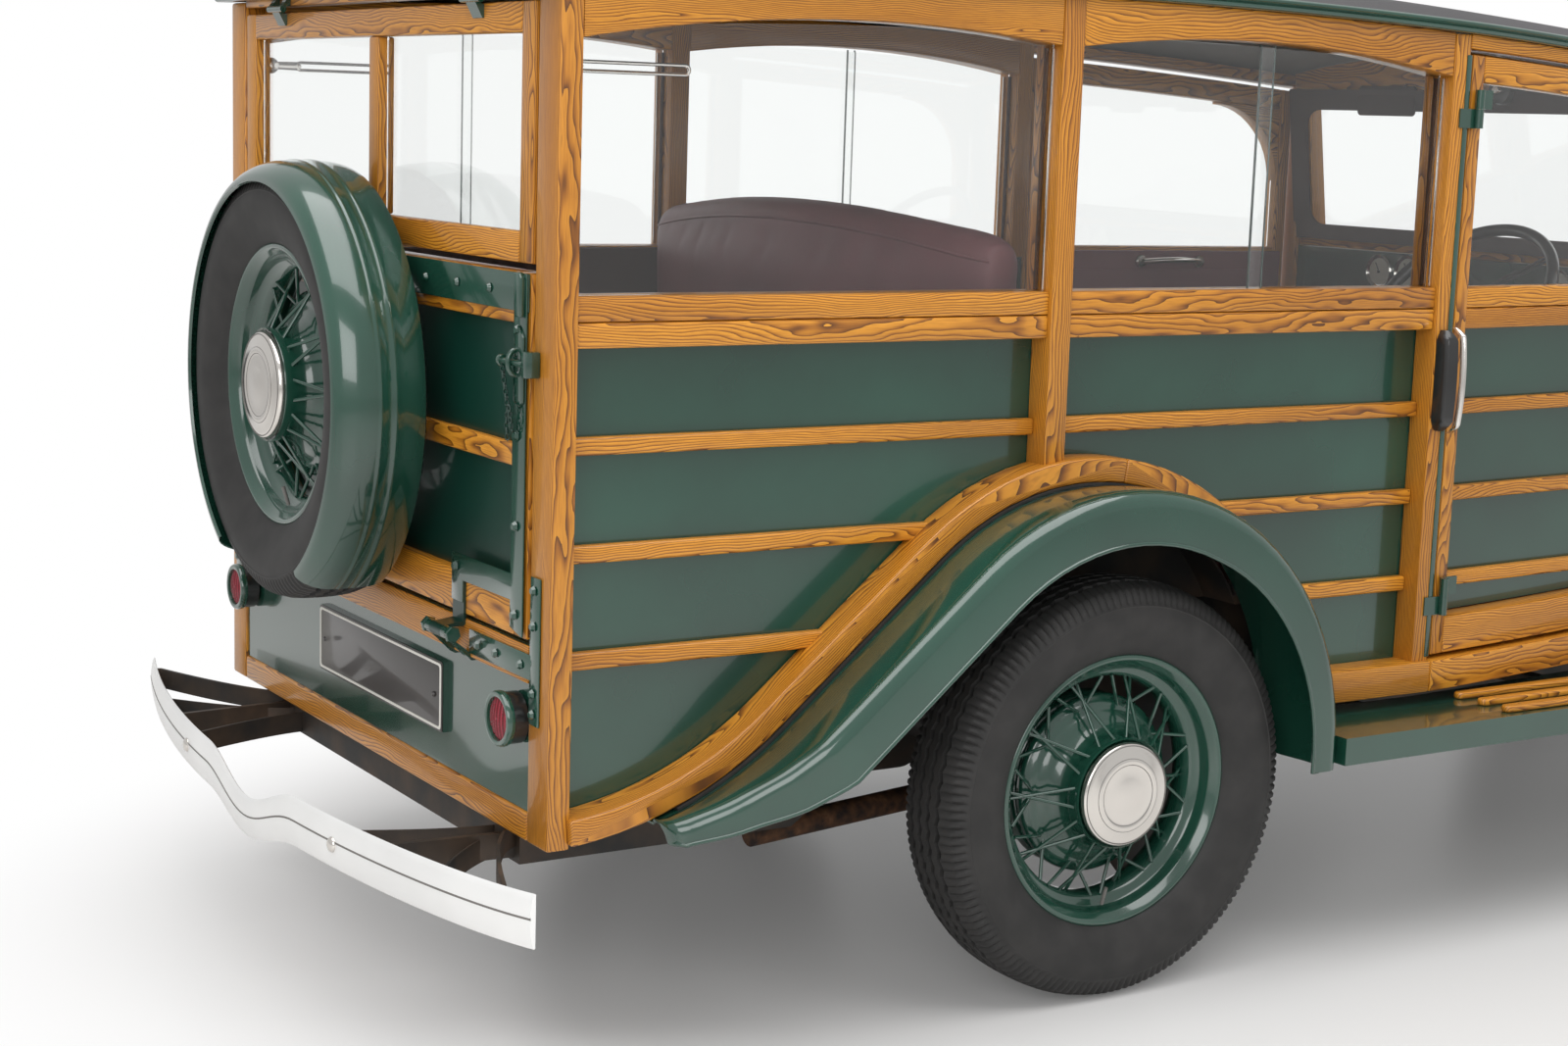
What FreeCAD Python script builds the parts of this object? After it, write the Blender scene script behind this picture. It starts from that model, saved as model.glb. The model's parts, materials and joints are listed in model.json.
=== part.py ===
"""Timber-bodied station wagon of the 1930s: steel chassis, wire wheels, ash-framed body with
green panels, drop tailgate carrying the spare wheel, and a lifting rear window."""
import FreeCAD, Part
import math
import os

Vec = FreeCAD.Vector

# Driving dimensions in millimetres. Stations run forward from the rear axle, +Y is the car's
# left and heights are above the ground. The finished solids are shifted so that the origin is
# under the middle of the overall length.

# Whole car
wheelbase = 2845.0
rear_overhang = 1280.0
front_overhang = 650.0
rear_track = 1440.0
front_track = 1402.0
clearance = 0.3
running_gap = 6.0
overrun = 5.0

# Wheels and tyres
tyre_radius = 366.0
tyre_width = 165.0
tyre_tread_width = 120.0
tyre_shoulder_drop = 14.0
tyre_bead_width = 96.0
rim_radius = 234.0
rim_width = 110.0
rim_bead_drop = 16.0
rim_well_drop = 44.0
rim_well_width = 56.0
rim_wall = 7.0
hub_radius = 62.0
hub_flange_radius = 104.0
hub_shell_depth = 70.0
hub_cap_radius = 90.0
hub_cap_proud = 35.0
hub_cap_crown = 10.0
spoke_radius = 3.2
spoke_pairs = 10
spoke_lean = 20.0
spoke_root_share = 0.3
bearing_radius = 24.0
bearing_gap = 0.05
drum_radius = 150.0
drum_width = 46.0

# Body in plan and height
body_half_width = 697.0
body_rear = 1050.0
post_depth = 52.0
post_inner_depth = 25.0
panel_thickness = 12.0
front_taper = 4.0
corner_post_width = 40.0
corner_post_depth = 71.0
quarter_post_station = -109.0
quarter_post_width = 44.0
lock_post_station = 789.0
lock_post_width = 40.0
belt_bottom = 1139.0
belt_height = 78.0
belt_groove = 4.0
belt_depth = 45.0
batten_shares = (0.2358, 0.4984, 0.7611)
batten_width = 28.0
batten_depth = 20.0
body_bottom = 370.0
rear_sill_height = 46.0
sill_bottom = 447.0
sill_height = 60.0
sill_rise = 34.0
sill_depth = 62.0
cant_height = 52.0
window_arch_rise = 34.0
window_corner_drop = 80.0

# Wheel arch line, shared by the timber arch and the rear fender
arch_station = -34.0
arch_centre_height = 418.0
arch_radius = 476.0
arch_slope = 40.0
arch_straight = 390.0
tail_radius = 673.0
tail_slope = 5.0
arch_timber_width = 42.0
arch_timber_depth = 64.0
arch_front_angle = 86.0

# Roof
window_rise = 483.0
drip_crown_station = -50.0
drip_arc_radius = 18500.0
drip_height = 22.0
drip_proud = 16.0
roof_crown = 62.0
roof_thickness = 34.0
roof_front = 1672.0
roof_steps = 4
roof_rear_lap = 18.0
header_gap = 1.0

# Doors
door_front_station = 1582.0
door_thickness = 52.0
door_sill_gap = 8.0
door_top_gap = 10.0
door_stile = 34.0
door_bottom_rail = 70.0
door_top_rail = 48.0
door_open_angle = 70.0
hinge_pin_out = 8.0
hinge_barrel_radius = 8.0
hinge_barrel_length = 70.0
hinge_pin_inset = 12.0
hinge_leaf_thickness = 3.0
hinge_leaf_length = 44.0
door_hinge_rise = 186.0
door_hinge_drop = 155.0
door_handle_drop = 62.0
door_handle_reach = 46.0
door_handle_length = 120.0
door_handle_radius = 8.0
door_handle_neck_share = 0.7

# Tailgate and rear window
gate_half_width = 615.0
gate_lift = 25.0
gate_rise = 29.0
gate_thickness = 44.0
gate_rail = 56.0
gate_stile = 44.0
gate_panel_thickness = 9.0
gate_panel_inset = 16.0
gate_hinge_height = 661.0
gate_hinge_out = 35.0
gate_hinge_offset = 376.0
gate_hinge_radius = 11.0
gate_hinge_length = 84.0
gate_hinge_leaf = 4.0
gate_hinge_leaf_width = 46.0
gate_batten_share = 0.5036
gate_batten_width = 24.0
gate_open_angle = 85.0
flap_gap = 14.0
flap_drop = 52.0
flap_thickness = 34.0
flap_rail = 46.0
flap_hinge_rise = 6.0
flap_hinge_out = 14.0
flap_hinge_radius = 6.0
flap_hinge_length = 70.0
flap_hinge_offset = 420.0
flap_mullion = 40.0
stay_drop = 92.0
stay_length = 250.0
stay_width = 20.0
stay_thickness = 4.0
stay_slot = 9.0
stay_inset = 34.0
stay_ratio = 0.875
flap_open_angle = 85.0

# Spare wheel
spare_offset = 43.0
spare_height = 1015.0
spare_gap = 20.0
spare_post_radius = 34.0
cover_gap = 9.0
cover_side_gap = 6.0
cover_wall = 4.0
cover_open_angle = 64.0
cover_side_drop = 62.0
cover_bead = 4.5
cover_bead_width = 9.0
cover_bead_offset = 36.0

# Glass
glass_thickness = 5.0
glass_let_in = 6.0
slide_overlap = 44.0
slide_gap = 4.0

# Fenders and running boards
fender_reach = 154.0
fender_sheet = 4.0
fender_crown = 9.0
fender_edge_radius = 26.0
fender_lip = 87.0
fender_front_lip = 65.0
fender_bead = 5.0
fender_swell_share = 0.8
fender_roll_shares = (0, 0.35, 0.65, 1)
fender_steps = 9
tail_reach_share = 0.487
tail_station = -830.0
tail_shares = ((1.0, 1.0, 1.0), (0.86, 0.8, 0.86), (0.66, 0.4, 0.62), (0.46, 0.0, 0.42))
front_fender_radius = 474.0
front_fender_height = 402.0
front_fender_inner = 434.0
front_fender_sweep = 27.0
board_top = 428.0
board_thickness = 50.0
board_wall = 6.0
board_rear_gap = 8.0
strip_width = 24.0
strip_height = 13.0
strip_pitch = 46.0
strip_stagger = 68.0
strip_count = 3
strip_rear_gap = 12.0
strip_front_gap = 60.0
apron_thickness = 4.0
apron_angle = 75.0
front_fender_shares = ((-100, 0.97), (-75, 0.99), (-45, 1.0), (-15, 1.0))
sweep_shares = ((0.35, 0.2), (0.7, 0.6), (1.0, 1.0))

# Chassis
rail_height = 105.0
rail_width = 46.0
rail_wall = 7.0
rail_bottom = 352.0
rail_middle_offset = 440.0
rail_front_offset = 322.0
rail_rear_offset = 500.0
rail_rear_bottom = 300.0
rail_rear_height = 69.0
engine_mount_station = 2300.0
gearbox_station = 1440.0
engine_half_width = 230.0
silencer_front = 1380.0
silencer_length = 420.0
manifold_station = 1960.0
shell_member_depth = 34.0
board_bracket_stations = (700.0, 1230.0, 1760.0)
board_bracket_width = 40.0
board_bracket_depth = 22.0
joist_width = 46.0
joist_stations = (600.0, 1400.0)
tank_front = -420.0
tank_rear = -940.0
tank_half_width = 420.0
tank_bottom = 400.0
tank_corner = 40.0
perch_width = 30.0
front_spring_reach = 480.0
front_member_rise = 18.0
front_member_height = 52.0
kick_up = 122.0
axle_tube_radius = 38.0
axle_centre_casing = 145.0
spring_leaf_width = 52.0
spring_leaf_thickness = 10.0
spring_leaves = 6
front_beam_height = 56.0
front_beam_width = 40.0
front_beam_drop = 60.0
kingpin_inset = 130.0
kingpin_radius = 12.0
tie_rod_radius = 11.0
steering_arm_length = 150.0
steer_angle = 30.0
steering_ratio = 12.0
muffler_radius = 75.0
exhaust_radius = 22.0

# Bumpers
bumper_height = 75.0
bumper_bottom = 290.0
bumper_half_width = 872.0
bumper_thickness = 9.0
bumper_end_sweep = 118.0
bumper_dip = 34.0
bumper_dip_half_width = 190.0
iron_width = 42.0
iron_thickness = 11.0
rear_iron_share = 0.55
front_iron_share = 0.45

# Front end
cowl_front_station = 1768.0
cowl_half_width = 520.0
hood_front_half_width = 228.0
hood_front_station = 2792.0
hood_rake = 12.0
hood_step = 28.0
hood_fall = 78.0
hood_bulge_share = 0.55
hood_bulge_drop_share = 0.22
hood_shoulder_drop = 132.0
hood_bottom = 668.0
hood_sheet = 4.0
hood_open_angle = 55.0
louvre_count = 20
louvre_head = 62.0
louvre_foot = 84.0
louvre_rise = 7.0
louvre_first_share = 0.08
louvre_last_share = 0.9
louvre_width_share = 0.6
hood_gap = 8.0
shell_depth = 120.0
shell_waist_share = 0.93
grille_bottom = 452.0
grille_foot_half_width = 150.0
grille_bar_width = 5.0
grille_bar_depth = 16.0
grille_bar_pitch = 17.0
lamp_radius = 105.0
lamp_depth = 190.0
lamp_rise = 49.0
lamp_out = 112.0
lamp_ahead = 195.0
lamp_bowl_share = 0.72
lamp_rim_share = 0.93

# Cabin
floor_thickness = 16.0
front_floor_top = 504.0
load_floor_top = 655.0
floor_step_station = 470.0
screen_rise = 51.0
screen_drop = 140.0
screen_bottom_station = 1644.0
screen_top_station = 1606.0
screen_frame = 44.0
steering_wheel_radius = 212.0
steering_wheel_rim = 13.0
driver_offset = -345.0
column_angle = 42.0
steering_wheel_station = 1190.0
steering_wheel_height = 1150.0
column_radius = 18.0
steering_hub_radius = 32.0
steering_spoke_width = 22.0
steering_spokes = 4
toe_board_height = 590.0
dash_station = 1612.0
dash_thickness = 14.0
dash_drop = 162.0
front_seat_front = 1290.0
front_seat_rear = 850.0
front_seat_half_width = 540.0
front_seat_height = 780.0
front_cushion_depth = 145.0
front_back_thickness = 95.0
front_back_drop = 9.0
rear_seat_front = 400.0
rear_seat_rear = -130.0
rear_seat_half_width = 480.0
rear_seat_height = 840.0
rear_back_thickness = 130.0
rear_back_half_width = 604.0
rear_back_rise = 38.0
rear_back_crown_rise = 128.0
signal_drop = 94.0
signal_length = 190.0
signal_width = 34.0
signal_depth = 22.0
plate_offset = -48.0
plate_width = 540.0
plate_height = 118.0
plate_bottom = 474.0
plate_thickness = 8.0
panel_recess = 5.0
plate_hole_radius = 3.5
plate_hole_pitch = 480.0
tail_lamp_offset = 590.0
tail_lamp_height = 561.0
tail_lamp_radius = 44.0
tail_lamp_depth = 36.0

# Places that follow from the driving dimensions
shift = (rear_overhang - wheelbase - front_overhang) / 2
wheel_height = tyre_radius
panel_face = body_half_width - post_depth
panel_back = panel_face - panel_thickness
belt_top = belt_bottom + belt_height
sill_top = sill_bottom + sill_height
batten_heights = [sill_top + (belt_bottom - sill_top) * share for share in batten_shares]
drip_crown_height = belt_top + window_rise
door_hinge_heights = (sill_bottom + door_hinge_rise, drip_crown_height - door_hinge_drop)
gate_bottom = gate_hinge_height + gate_lift
gate_top = belt_top + gate_rise
gate_batten_height = gate_bottom + (gate_top - gate_bottom) * gate_batten_share
flap_bottom = gate_top + flap_gap
flap_top = drip_crown_height - flap_drop
flap_hinge_height = flap_top + flap_hinge_rise
stay_height = flap_top - stay_drop
screen_bottom_height = belt_top + screen_rise
screen_top_height = drip_crown_height - screen_drop
dash_bottom = screen_bottom_height - screen_frame - dash_drop
hood_rear_top = screen_bottom_height - screen_frame - hood_step
hood_front_top = hood_rear_top - hood_fall
front_back_top = belt_bottom - front_back_drop
rear_back_shoulder = belt_top + rear_back_rise
rear_back_crown = belt_top + rear_back_crown_rise
signal_height = belt_bottom - signal_drop
fender_half_width = body_half_width + fender_reach
tail_half_width = body_half_width + fender_reach * tail_reach_share
front_fender_station = wheelbase
lamp_height = front_fender_height + front_fender_radius + lamp_rise
lamp_offset = hood_front_half_width + lamp_out
lamp_station = front_fender_station + lamp_ahead
post_inner_face = panel_face - post_inner_depth
front_axle_station = wheelbase
gate_face = -body_rear
gate_hinge_station = gate_face - gate_hinge_out
flap_hinge_station = gate_face - flap_hinge_out
hinge_pin_y = body_half_width + hinge_pin_out
lock_post_front = lock_post_station + lock_post_width / 2
hinge_pin_station = lock_post_front + running_gap + hinge_pin_inset + overrun
hinge_pin = Vec(hinge_pin_station, hinge_pin_y, 0)


def box(x0, x1, y0, y1, z0, z1):
    """Block between two corners."""
    return Part.makeBox(x1 - x0, y1 - y0, z1 - z0, Vec(x0, y0, z0))


def mirrored(shape):
    """The same shape on the other side of the car."""
    return shape.mirror(Vec(0, 0, 0), Vec(0, 1, 0))


def joined(shapes):
    """One solid out of pieces that overlap or share a face."""
    return shapes[0].fuse(shapes[1:]).removeSplitter()


def outline(place, stops):
    """Closed wire; a stop is a point, or a pair of middle and end points for an arc."""
    edges = []
    here = stops[0]
    for stop in stops[1:] + [stops[0]]:
        if isinstance(stop[0], tuple):
            middle, end = stop
            edges.append(Part.Arc(place(*here), place(*middle), place(*end)).toShape())
            here = end
        elif place(*here).distanceToPoint(place(*stop)) > clearance / 100:
            edges.append(Part.makeLine(place(*here), place(*stop)))
            here = stop
    return Part.Wire(edges)


def side_slab(stops, y0, y1):
    """Side-view outline carried across the car."""
    wire = outline(lambda x, z: Vec(x, y0, z), stops)
    return Part.Face(wire).extrude(Vec(0, y1 - y0, 0))


def plan_slab(stops, z0, z1):
    """Plan-view outline carried up."""
    wire = outline(lambda x, y: Vec(x, y, z0), stops)
    return Part.Face(wire).extrude(Vec(0, 0, z1 - z0))


def cross_slab(stops, x0, x1):
    """Front-view outline carried forward."""
    wire = outline(lambda y, z: Vec(x0, y, z), stops)
    return Part.Face(wire).extrude(Vec(x1 - x0, 0, 0))


def rod(start, end, radius):
    """Round bar between two points."""
    return Part.makeCylinder(radius, start.distanceToPoint(end), start, end - start)


def turned_on_y(stops, x, y, z):
    """Body of revolution on a lateral axis, its outline given as radius and offset."""
    wire = outline(lambda r, offset: Vec(x, y + offset, z + r), stops)
    return Part.Face(wire).revolve(Vec(x, y, z), Vec(0, 1, 0), 360)


def tapered(shape):
    """Swing a left side piece inwards by the body's front taper, about the door's hinge line."""
    turned = shape.copy()
    turned.rotate(hinge_pin, Vec(0, 0, 1), -front_taper)
    return turned


def tapered_width(half_width, station):
    """Half width of a side face once it has been swung inwards."""
    reach = max(station - hinge_pin_station, 0)
    return half_width - reach * math.tan(math.radians(front_taper))


def drip_line(station):
    """Height of the top of the side frame, a long shallow arc."""
    return drip_crown_height - (station - drip_crown_station) ** 2 / (2 * drip_arc_radius)


def on_arch(angle, offset):
    """Point on the round of the wheel arch; the angle runs from the top towards the rear."""
    turn = math.radians(angle)
    radius = arch_radius + offset
    return (arch_station - radius * math.sin(turn), arch_centre_height + radius * math.cos(turn))


def on_tail(angle, offset):
    """Point on the reversed curve that ends the arch line at the rear corner."""
    slope = math.radians(arch_slope)
    foot_x, foot_z = on_arch(arch_slope, 0)
    foot_x -= arch_straight * math.cos(slope)
    foot_z -= arch_straight * math.sin(slope)
    centre_x = foot_x - tail_radius * math.sin(slope)
    centre_z = foot_z + tail_radius * math.cos(slope)
    turn = math.radians(angle)
    radius = tail_radius - offset
    return (centre_x + radius * math.sin(turn), centre_z - radius * math.cos(turn))


def arch_stops(offset, front_angle):
    """Arch line from its front foot over the wheel to the rear corner of the body."""
    middle = (arch_slope - front_angle) / 2
    return [
        on_arch(-front_angle, offset),
        (on_arch(middle, offset), on_arch(arch_slope, offset)),
        on_tail(arch_slope, offset),
        (on_tail((arch_slope + tail_slope) / 2, offset), on_tail(tail_slope, offset)),
    ]


def reversed_stops(stops):
    """The same outline run the other way."""
    points = [stop[1] if isinstance(stop[0], tuple) else stop for stop in stops]
    middles = [stop[0] if isinstance(stop[0], tuple) else None for stop in stops]
    back = [points[-1]]
    for index in range(len(stops) - 1, 0, -1):
        point = points[index - 1]
        back.append((middles[index], point) if middles[index] else point)
    return back


def spoke(start, end, turn):
    """Straight spoke between two places given as radius, offset and angle, with few flat sides."""
    ends = []
    for radius, offset, angle in (start, end):
        spin = math.radians(angle + turn)
        ends.append(Vec(radius * math.sin(spin), offset, radius * math.cos(spin)))
    along = ends[1] - ends[0]
    side = along.cross(Vec(0, 1, 0)).normalize() * spoke_radius
    across = along.cross(side).normalize() * spoke_radius
    corners = [ends[0] + side, ends[0] + across, ends[0] - side, ends[0] - across]
    return Part.Face(Part.makePolygon(corners + corners[:1])).extrude(along)


def wheel(x, y, z, drum=True):
    """Wire wheel: rolled rim, hub shell with its cap and drum, and crossed spokes; outwards is +Y."""
    rim_half = rim_width / 2
    well_half = rim_well_width / 2
    well = rim_radius - rim_well_drop
    rim = turned_on_y([
        (rim_radius, rim_half), (rim_radius, rim_half - rim_wall), (well, well_half),
        (well, -well_half), (rim_radius, rim_wall - rim_half), (rim_radius, -rim_half),
        (well - rim_wall, -well_half), (well - rim_wall, well_half),
    ], 0, 0, 0)
    cap_face = rim_half + hub_cap_proud
    cap_seat = cap_face - hub_cap_crown
    bore = bearing_radius + bearing_gap
    neck = cap_seat - hub_shell_depth / 5
    back = -rim_half + drum_width / 2
    tail = [(bore, -rim_half), (hub_radius, -rim_half)]
    if drum:
        tail = [(bore, -rim_half), (drum_radius, -rim_half - drum_width / 2), (drum_radius, back)]
    hub = turned_on_y(tail + [
        (hub_flange_radius, back), (hub_radius, hub_shell_depth / 5), (hub_cap_radius, neck),
        (hub_cap_radius, cap_seat), (0, cap_face), (0, neck), (bore, neck),
    ], 0, 0, 0)
    seat = well - rim_wall / 2
    spokes = []
    for index in range(spoke_pairs):
        turn = 360 / spoke_pairs * index
        for lean in (-spoke_lean, spoke_lean):
            spokes.append(spoke((hub_cap_radius - rim_wall, neck + rim_wall / 2, lean * spoke_root_share),
                                (seat, -spoke_radius, lean), turn))
            spokes.append(spoke((hub_flange_radius - rim_wall, back - spoke_radius, lean * spoke_root_share),
                                (seat, well_half / 2, lean), turn + 180 / spoke_pairs))
    whole = rim.fuse([hub] + spokes).removeSplitter()
    whole.translate(Vec(x, y, z))
    return whole


def tyre(x, y, z):
    """Tyre with flat tread and two straight-sided walls."""
    bead = rim_radius + clearance
    widest = (tyre_radius + bead) / 2
    return turned_on_y([
        (bead, -tyre_bead_width / 2), (widest, -tyre_width / 2), (tyre_radius, -tyre_tread_width / 2),
        (tyre_radius, tyre_tread_width / 2), (widest, tyre_width / 2), (bead, tyre_bead_width / 2),
    ], x, y, z)


def sill_line(station):
    """Height of the sill's lower edge, which lifts towards the front."""
    start = on_arch(-arch_front_angle, 0)[0]
    share = max(station - start, 0) / (screen_bottom_station - start)
    return sill_bottom + sill_rise * share ** 2


def arch_timber():
    """Curved ash member over the wheel, from the sill to the rear corner."""
    outer = arch_stops(arch_timber_width, arch_front_angle)
    inner = arch_stops(0, arch_front_angle)
    band = side_slab(outer + reversed_stops(inner), panel_face, panel_face + arch_timber_depth)
    return band.common(box(-body_rear, wheelbase, 0, 2 * body_half_width, 0, drip_crown_height))


def window_head(x0, x1, depth):
    """Cant rail over one window, its lower edge arched."""
    middle = (x0 + x1) / 2
    head = [(x0, drip_line(x0)), ((middle, drip_line(middle)), (x1, drip_line(x1)))]
    low0 = drip_line(x0) - window_corner_drop
    low1 = drip_line(x1) - window_corner_drop
    high = drip_line(middle) - cant_height
    return side_slab(head + [(x1, low1), ((middle, high), (x0, low0))],
                     post_inner_face, post_inner_face + depth)


def post(x0, x1, foot):
    """Upright from its foot to the cant rail, thicker above the belt where no panel backs it."""
    head = drip_line((x0 + x1) / 2) - cant_height / 2
    outer = box(x0, x1, panel_face, body_half_width, foot, head)
    inner = box(x0, x1, post_inner_face, body_half_width, belt_top - belt_height / 3, head)
    return joined([outer, inner])


def belt(x0, x1):
    """Two stacked rails with a groove between them."""
    middle = belt_bottom + belt_height / 2
    face = panel_face + belt_depth
    return cross_slab([
        (panel_face, belt_bottom), (face, belt_bottom), (face, middle - belt_groove / 2),
        (face - belt_groove, middle), (face, middle + belt_groove / 2), (face, belt_top),
        (post_inner_face, belt_top), (post_inner_face, belt_top - belt_height / 3),
        (panel_face, belt_top - belt_height / 3),
    ], x0, x1)


def batten(x0, x1, height):
    """Thin rail along a panel."""
    return box(x0, x1, panel_face, panel_face + batten_depth,
               height - batten_width / 2, height + batten_width / 2)


def rear_side_timber():
    """Fixed side frame behind the door, left side."""
    corner0 = -body_rear
    corner1 = corner0 + corner_post_width
    quarter0 = quarter_post_station - quarter_post_width / 2
    quarter1 = quarter0 + quarter_post_width
    lock0 = lock_post_station - lock_post_width / 2
    arch = arch_timber()
    corner = joined([
        post(corner0, corner1, body_bottom),
        box(corner0, corner1, body_half_width - corner_post_depth, body_half_width, body_bottom,
            drip_line(corner0) - cant_height / 2),
    ])
    sill_start = on_arch(-arch_front_angle, 0)[0]
    sill = side_slab([
        (sill_start, sill_line(sill_start)), (lock_post_front, sill_line(lock_post_front)),
        (lock_post_front, sill_line(lock_post_front) + sill_height),
        (sill_start, sill_line(sill_start) + sill_height),
    ], panel_face, panel_face + sill_depth)
    quarter_foot = on_arch(0, arch_timber_width / 2)[1]
    pieces = [
        arch, corner, sill,
        post(quarter0, quarter1, quarter_foot),
        post(lock0, lock_post_front, sill_line(lock_post_front) + sill_height / 2),
        window_head(corner0, (quarter0 + quarter1) / 2, body_half_width - post_inner_face),
        window_head((quarter0 + quarter1) / 2, lock_post_front, body_half_width - post_inner_face),
        belt(corner0, quarter1), belt(quarter0, lock0 + overrun),
    ]
    over_arch = side_slab(arch_stops(arch_timber_width / 2, arch_front_angle)
                          + [(-2 * body_rear, 0), (wheelbase, 0)], 0, 2 * body_half_width)
    for height in batten_heights:
        pieces.append(batten(corner1 - overrun, lock0 + overrun, height).cut(over_arch))
    return pieces


def front_side_timber():
    """Sill, cant rail and windscreen pillar beside the door, left side, swung to the taper."""
    start = lock_post_front - overrun
    end = screen_bottom_station
    pillar = door_front_station + hinge_pin_inset
    sill = side_slab([
        (start, sill_line(start)), ((start + end) / 2, sill_line((start + end) / 2)),
        (end, sill_line(end)), (end, sill_line(end) + sill_height),
        ((start + end) / 2, sill_line((start + end) / 2) + sill_height),
        (start, sill_line(start) + sill_height),
    ], panel_face, panel_face + sill_depth)
    cant = side_slab([
        (start, drip_line(start) - cant_height / 2), (start, drip_line(start)),
        (((start + end) / 2, drip_line((start + end) / 2)), (end, drip_line(end))),
        (end, drip_line(end) - cant_height / 2),
        (((start + end) / 2, drip_line((start + end) / 2) - cant_height / 2),
         (start, drip_line(start) - cant_height / 2)),
    ], post_inner_face, body_half_width)
    upright = side_slab([
        (pillar, sill_line(pillar)), (end, sill_line(end)), (end, screen_bottom_height),
        (screen_top_station + screen_frame / 2, drip_line(end) - cant_height / 3),
        (pillar, drip_line(end) - cant_height / 3),
    ], post_inner_face, panel_face + sill_depth / 3)
    return [tapered(sill), tapered(cant), tapered(upright)]


def side_timber():
    """Whole left side frame in one solid."""
    return joined(rear_side_timber() + front_side_timber())


def side_panel():
    """Steel panel behind the timber, left side, cut to the wheel arch."""
    lock1 = lock_post_front
    foot = sill_line(lock1) + sill_height / 4
    inset = arch_timber_width / 4
    stops = arch_stops(inset, arch_front_angle)
    rear = -body_rear + corner_post_width + clearance
    top = belt_top - belt_height / 3 - clearance
    low = on_tail(tail_slope, inset)[1]
    panel = side_slab(
        [(lock1, foot)] + [(on_arch(-arch_front_angle, inset)[0], foot)] + stops
        + [(-2 * body_rear, low), (-2 * body_rear, top), (lock1, top)],
        panel_back, panel_face - clearance)
    return panel.common(box(rear, lock1, 0, body_half_width, 0, drip_crown_height))


def arch_bead():
    """Welting between the wheel arch timber and the fender, left side."""
    stops = arch_stops(-clearance, arch_front_angle)
    inner = arch_stops(3 * clearance - fender_bead, arch_front_angle)
    band = side_slab(stops + reversed_stops(inner), panel_face, panel_face + arch_timber_depth + fender_bead)
    return band.common(box(tail_station, wheelbase, 0, 2 * body_half_width, 0, drip_crown_height))


def cross_timber():
    """Rear sill and rear header between the corner posts, and the windscreen's frame."""
    half = body_half_width - corner_post_depth - clearance
    sill = box(-body_rear, -body_rear + corner_post_depth, -half, half, body_bottom,
               body_bottom + rear_sill_height)
    half = post_inner_face - clearance
    low = flap_hinge_height + running_gap
    high, crown = header_top(-body_rear, half)
    header = cross_slab([(-half, low), (half, low), (half, high), ((0, crown), (-half, high))],
                        -body_rear, -body_rear + corner_post_width)
    return [sill, header]


def header_top(station, half):
    """Heights of a header at its ends and middle, just under the roof's crowned underside."""
    base = drip_line(station)
    share = half / tapered_width(body_half_width, station)
    return base + roof_crown * (1 - share ** 2) - header_gap, base + roof_crown - header_gap


def screen_timber():
    """Windscreen frame: bottom rail, header and two inner pillars, leaning back."""
    half_low = tapered_width(post_inner_face, screen_bottom_station) - clearance
    half_high = tapered_width(post_inner_face, screen_top_station) - clearance
    top, crown = header_top(screen_bottom_station, half_high)
    lean = (screen_bottom_station - screen_top_station) / (screen_top_height - screen_bottom_height)

    def leaning(y, z):
        return Vec(screen_bottom_station - (z - screen_bottom_height) * lean, y, z)

    low = screen_bottom_height - screen_frame
    outer = outline(leaning, [
        (-half_low, low), (half_low, low), (half_high, top), ((0, crown), (-half_high, top)),
    ])
    inset = screen_frame
    inner = outline(leaning, [
        (inset - half_low, screen_bottom_height), (half_low - inset, screen_bottom_height),
        (half_high - inset, screen_top_height), (inset - half_high, screen_top_height),
    ])
    back = Vec(-screen_frame, 0, 0)
    return Part.Face(outer).extrude(back).cut(Part.Face(inner).extrude(back))


def screen_glass():
    """Windscreen pane let into its frame."""
    lean = (screen_bottom_station - screen_top_station) / (screen_top_height - screen_bottom_height)
    depth = screen_frame / 2

    def leaning(y, z):
        return Vec(screen_bottom_station - depth - (z - screen_bottom_height) * lean, y, z)

    half_low = tapered_width(post_inner_face, screen_bottom_station) - screen_frame - clearance
    half_high = tapered_width(post_inner_face, screen_top_station) - screen_frame - clearance
    wire = outline(leaning, [
        (-half_low, screen_bottom_height), (half_low, screen_bottom_height),
        (half_high, screen_top_height), (-half_high, screen_top_height),
    ])
    return Part.Face(wire).extrude(Vec(-glass_thickness, 0, 0))


def roof_section(station):
    """Closed cross-section of the roof: crowned top, flat edges and hollow underside."""
    half = tapered_width(body_half_width, station)
    base = drip_line(station) + clearance
    top = base + roof_thickness
    return outline(lambda y, z: Vec(station, y, z), [
        (-half, base), (-half, top), ((0, top + roof_crown), (half, top)), (half, base),
        ((0, base + roof_crown), (-half, base)),
    ])


def roof():
    """Fabric-covered roof, crowned both ways."""
    knee = hinge_pin_station
    spans = []
    for start, end in ((-body_rear - roof_rear_lap, knee), (knee, roof_front)):
        stations = [start + (end - start) * index / roof_steps for index in range(roof_steps + 1)]
        spans.append(Part.makeLoft([roof_section(station) for station in stations], True, False))
    return joined(spans)


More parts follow.
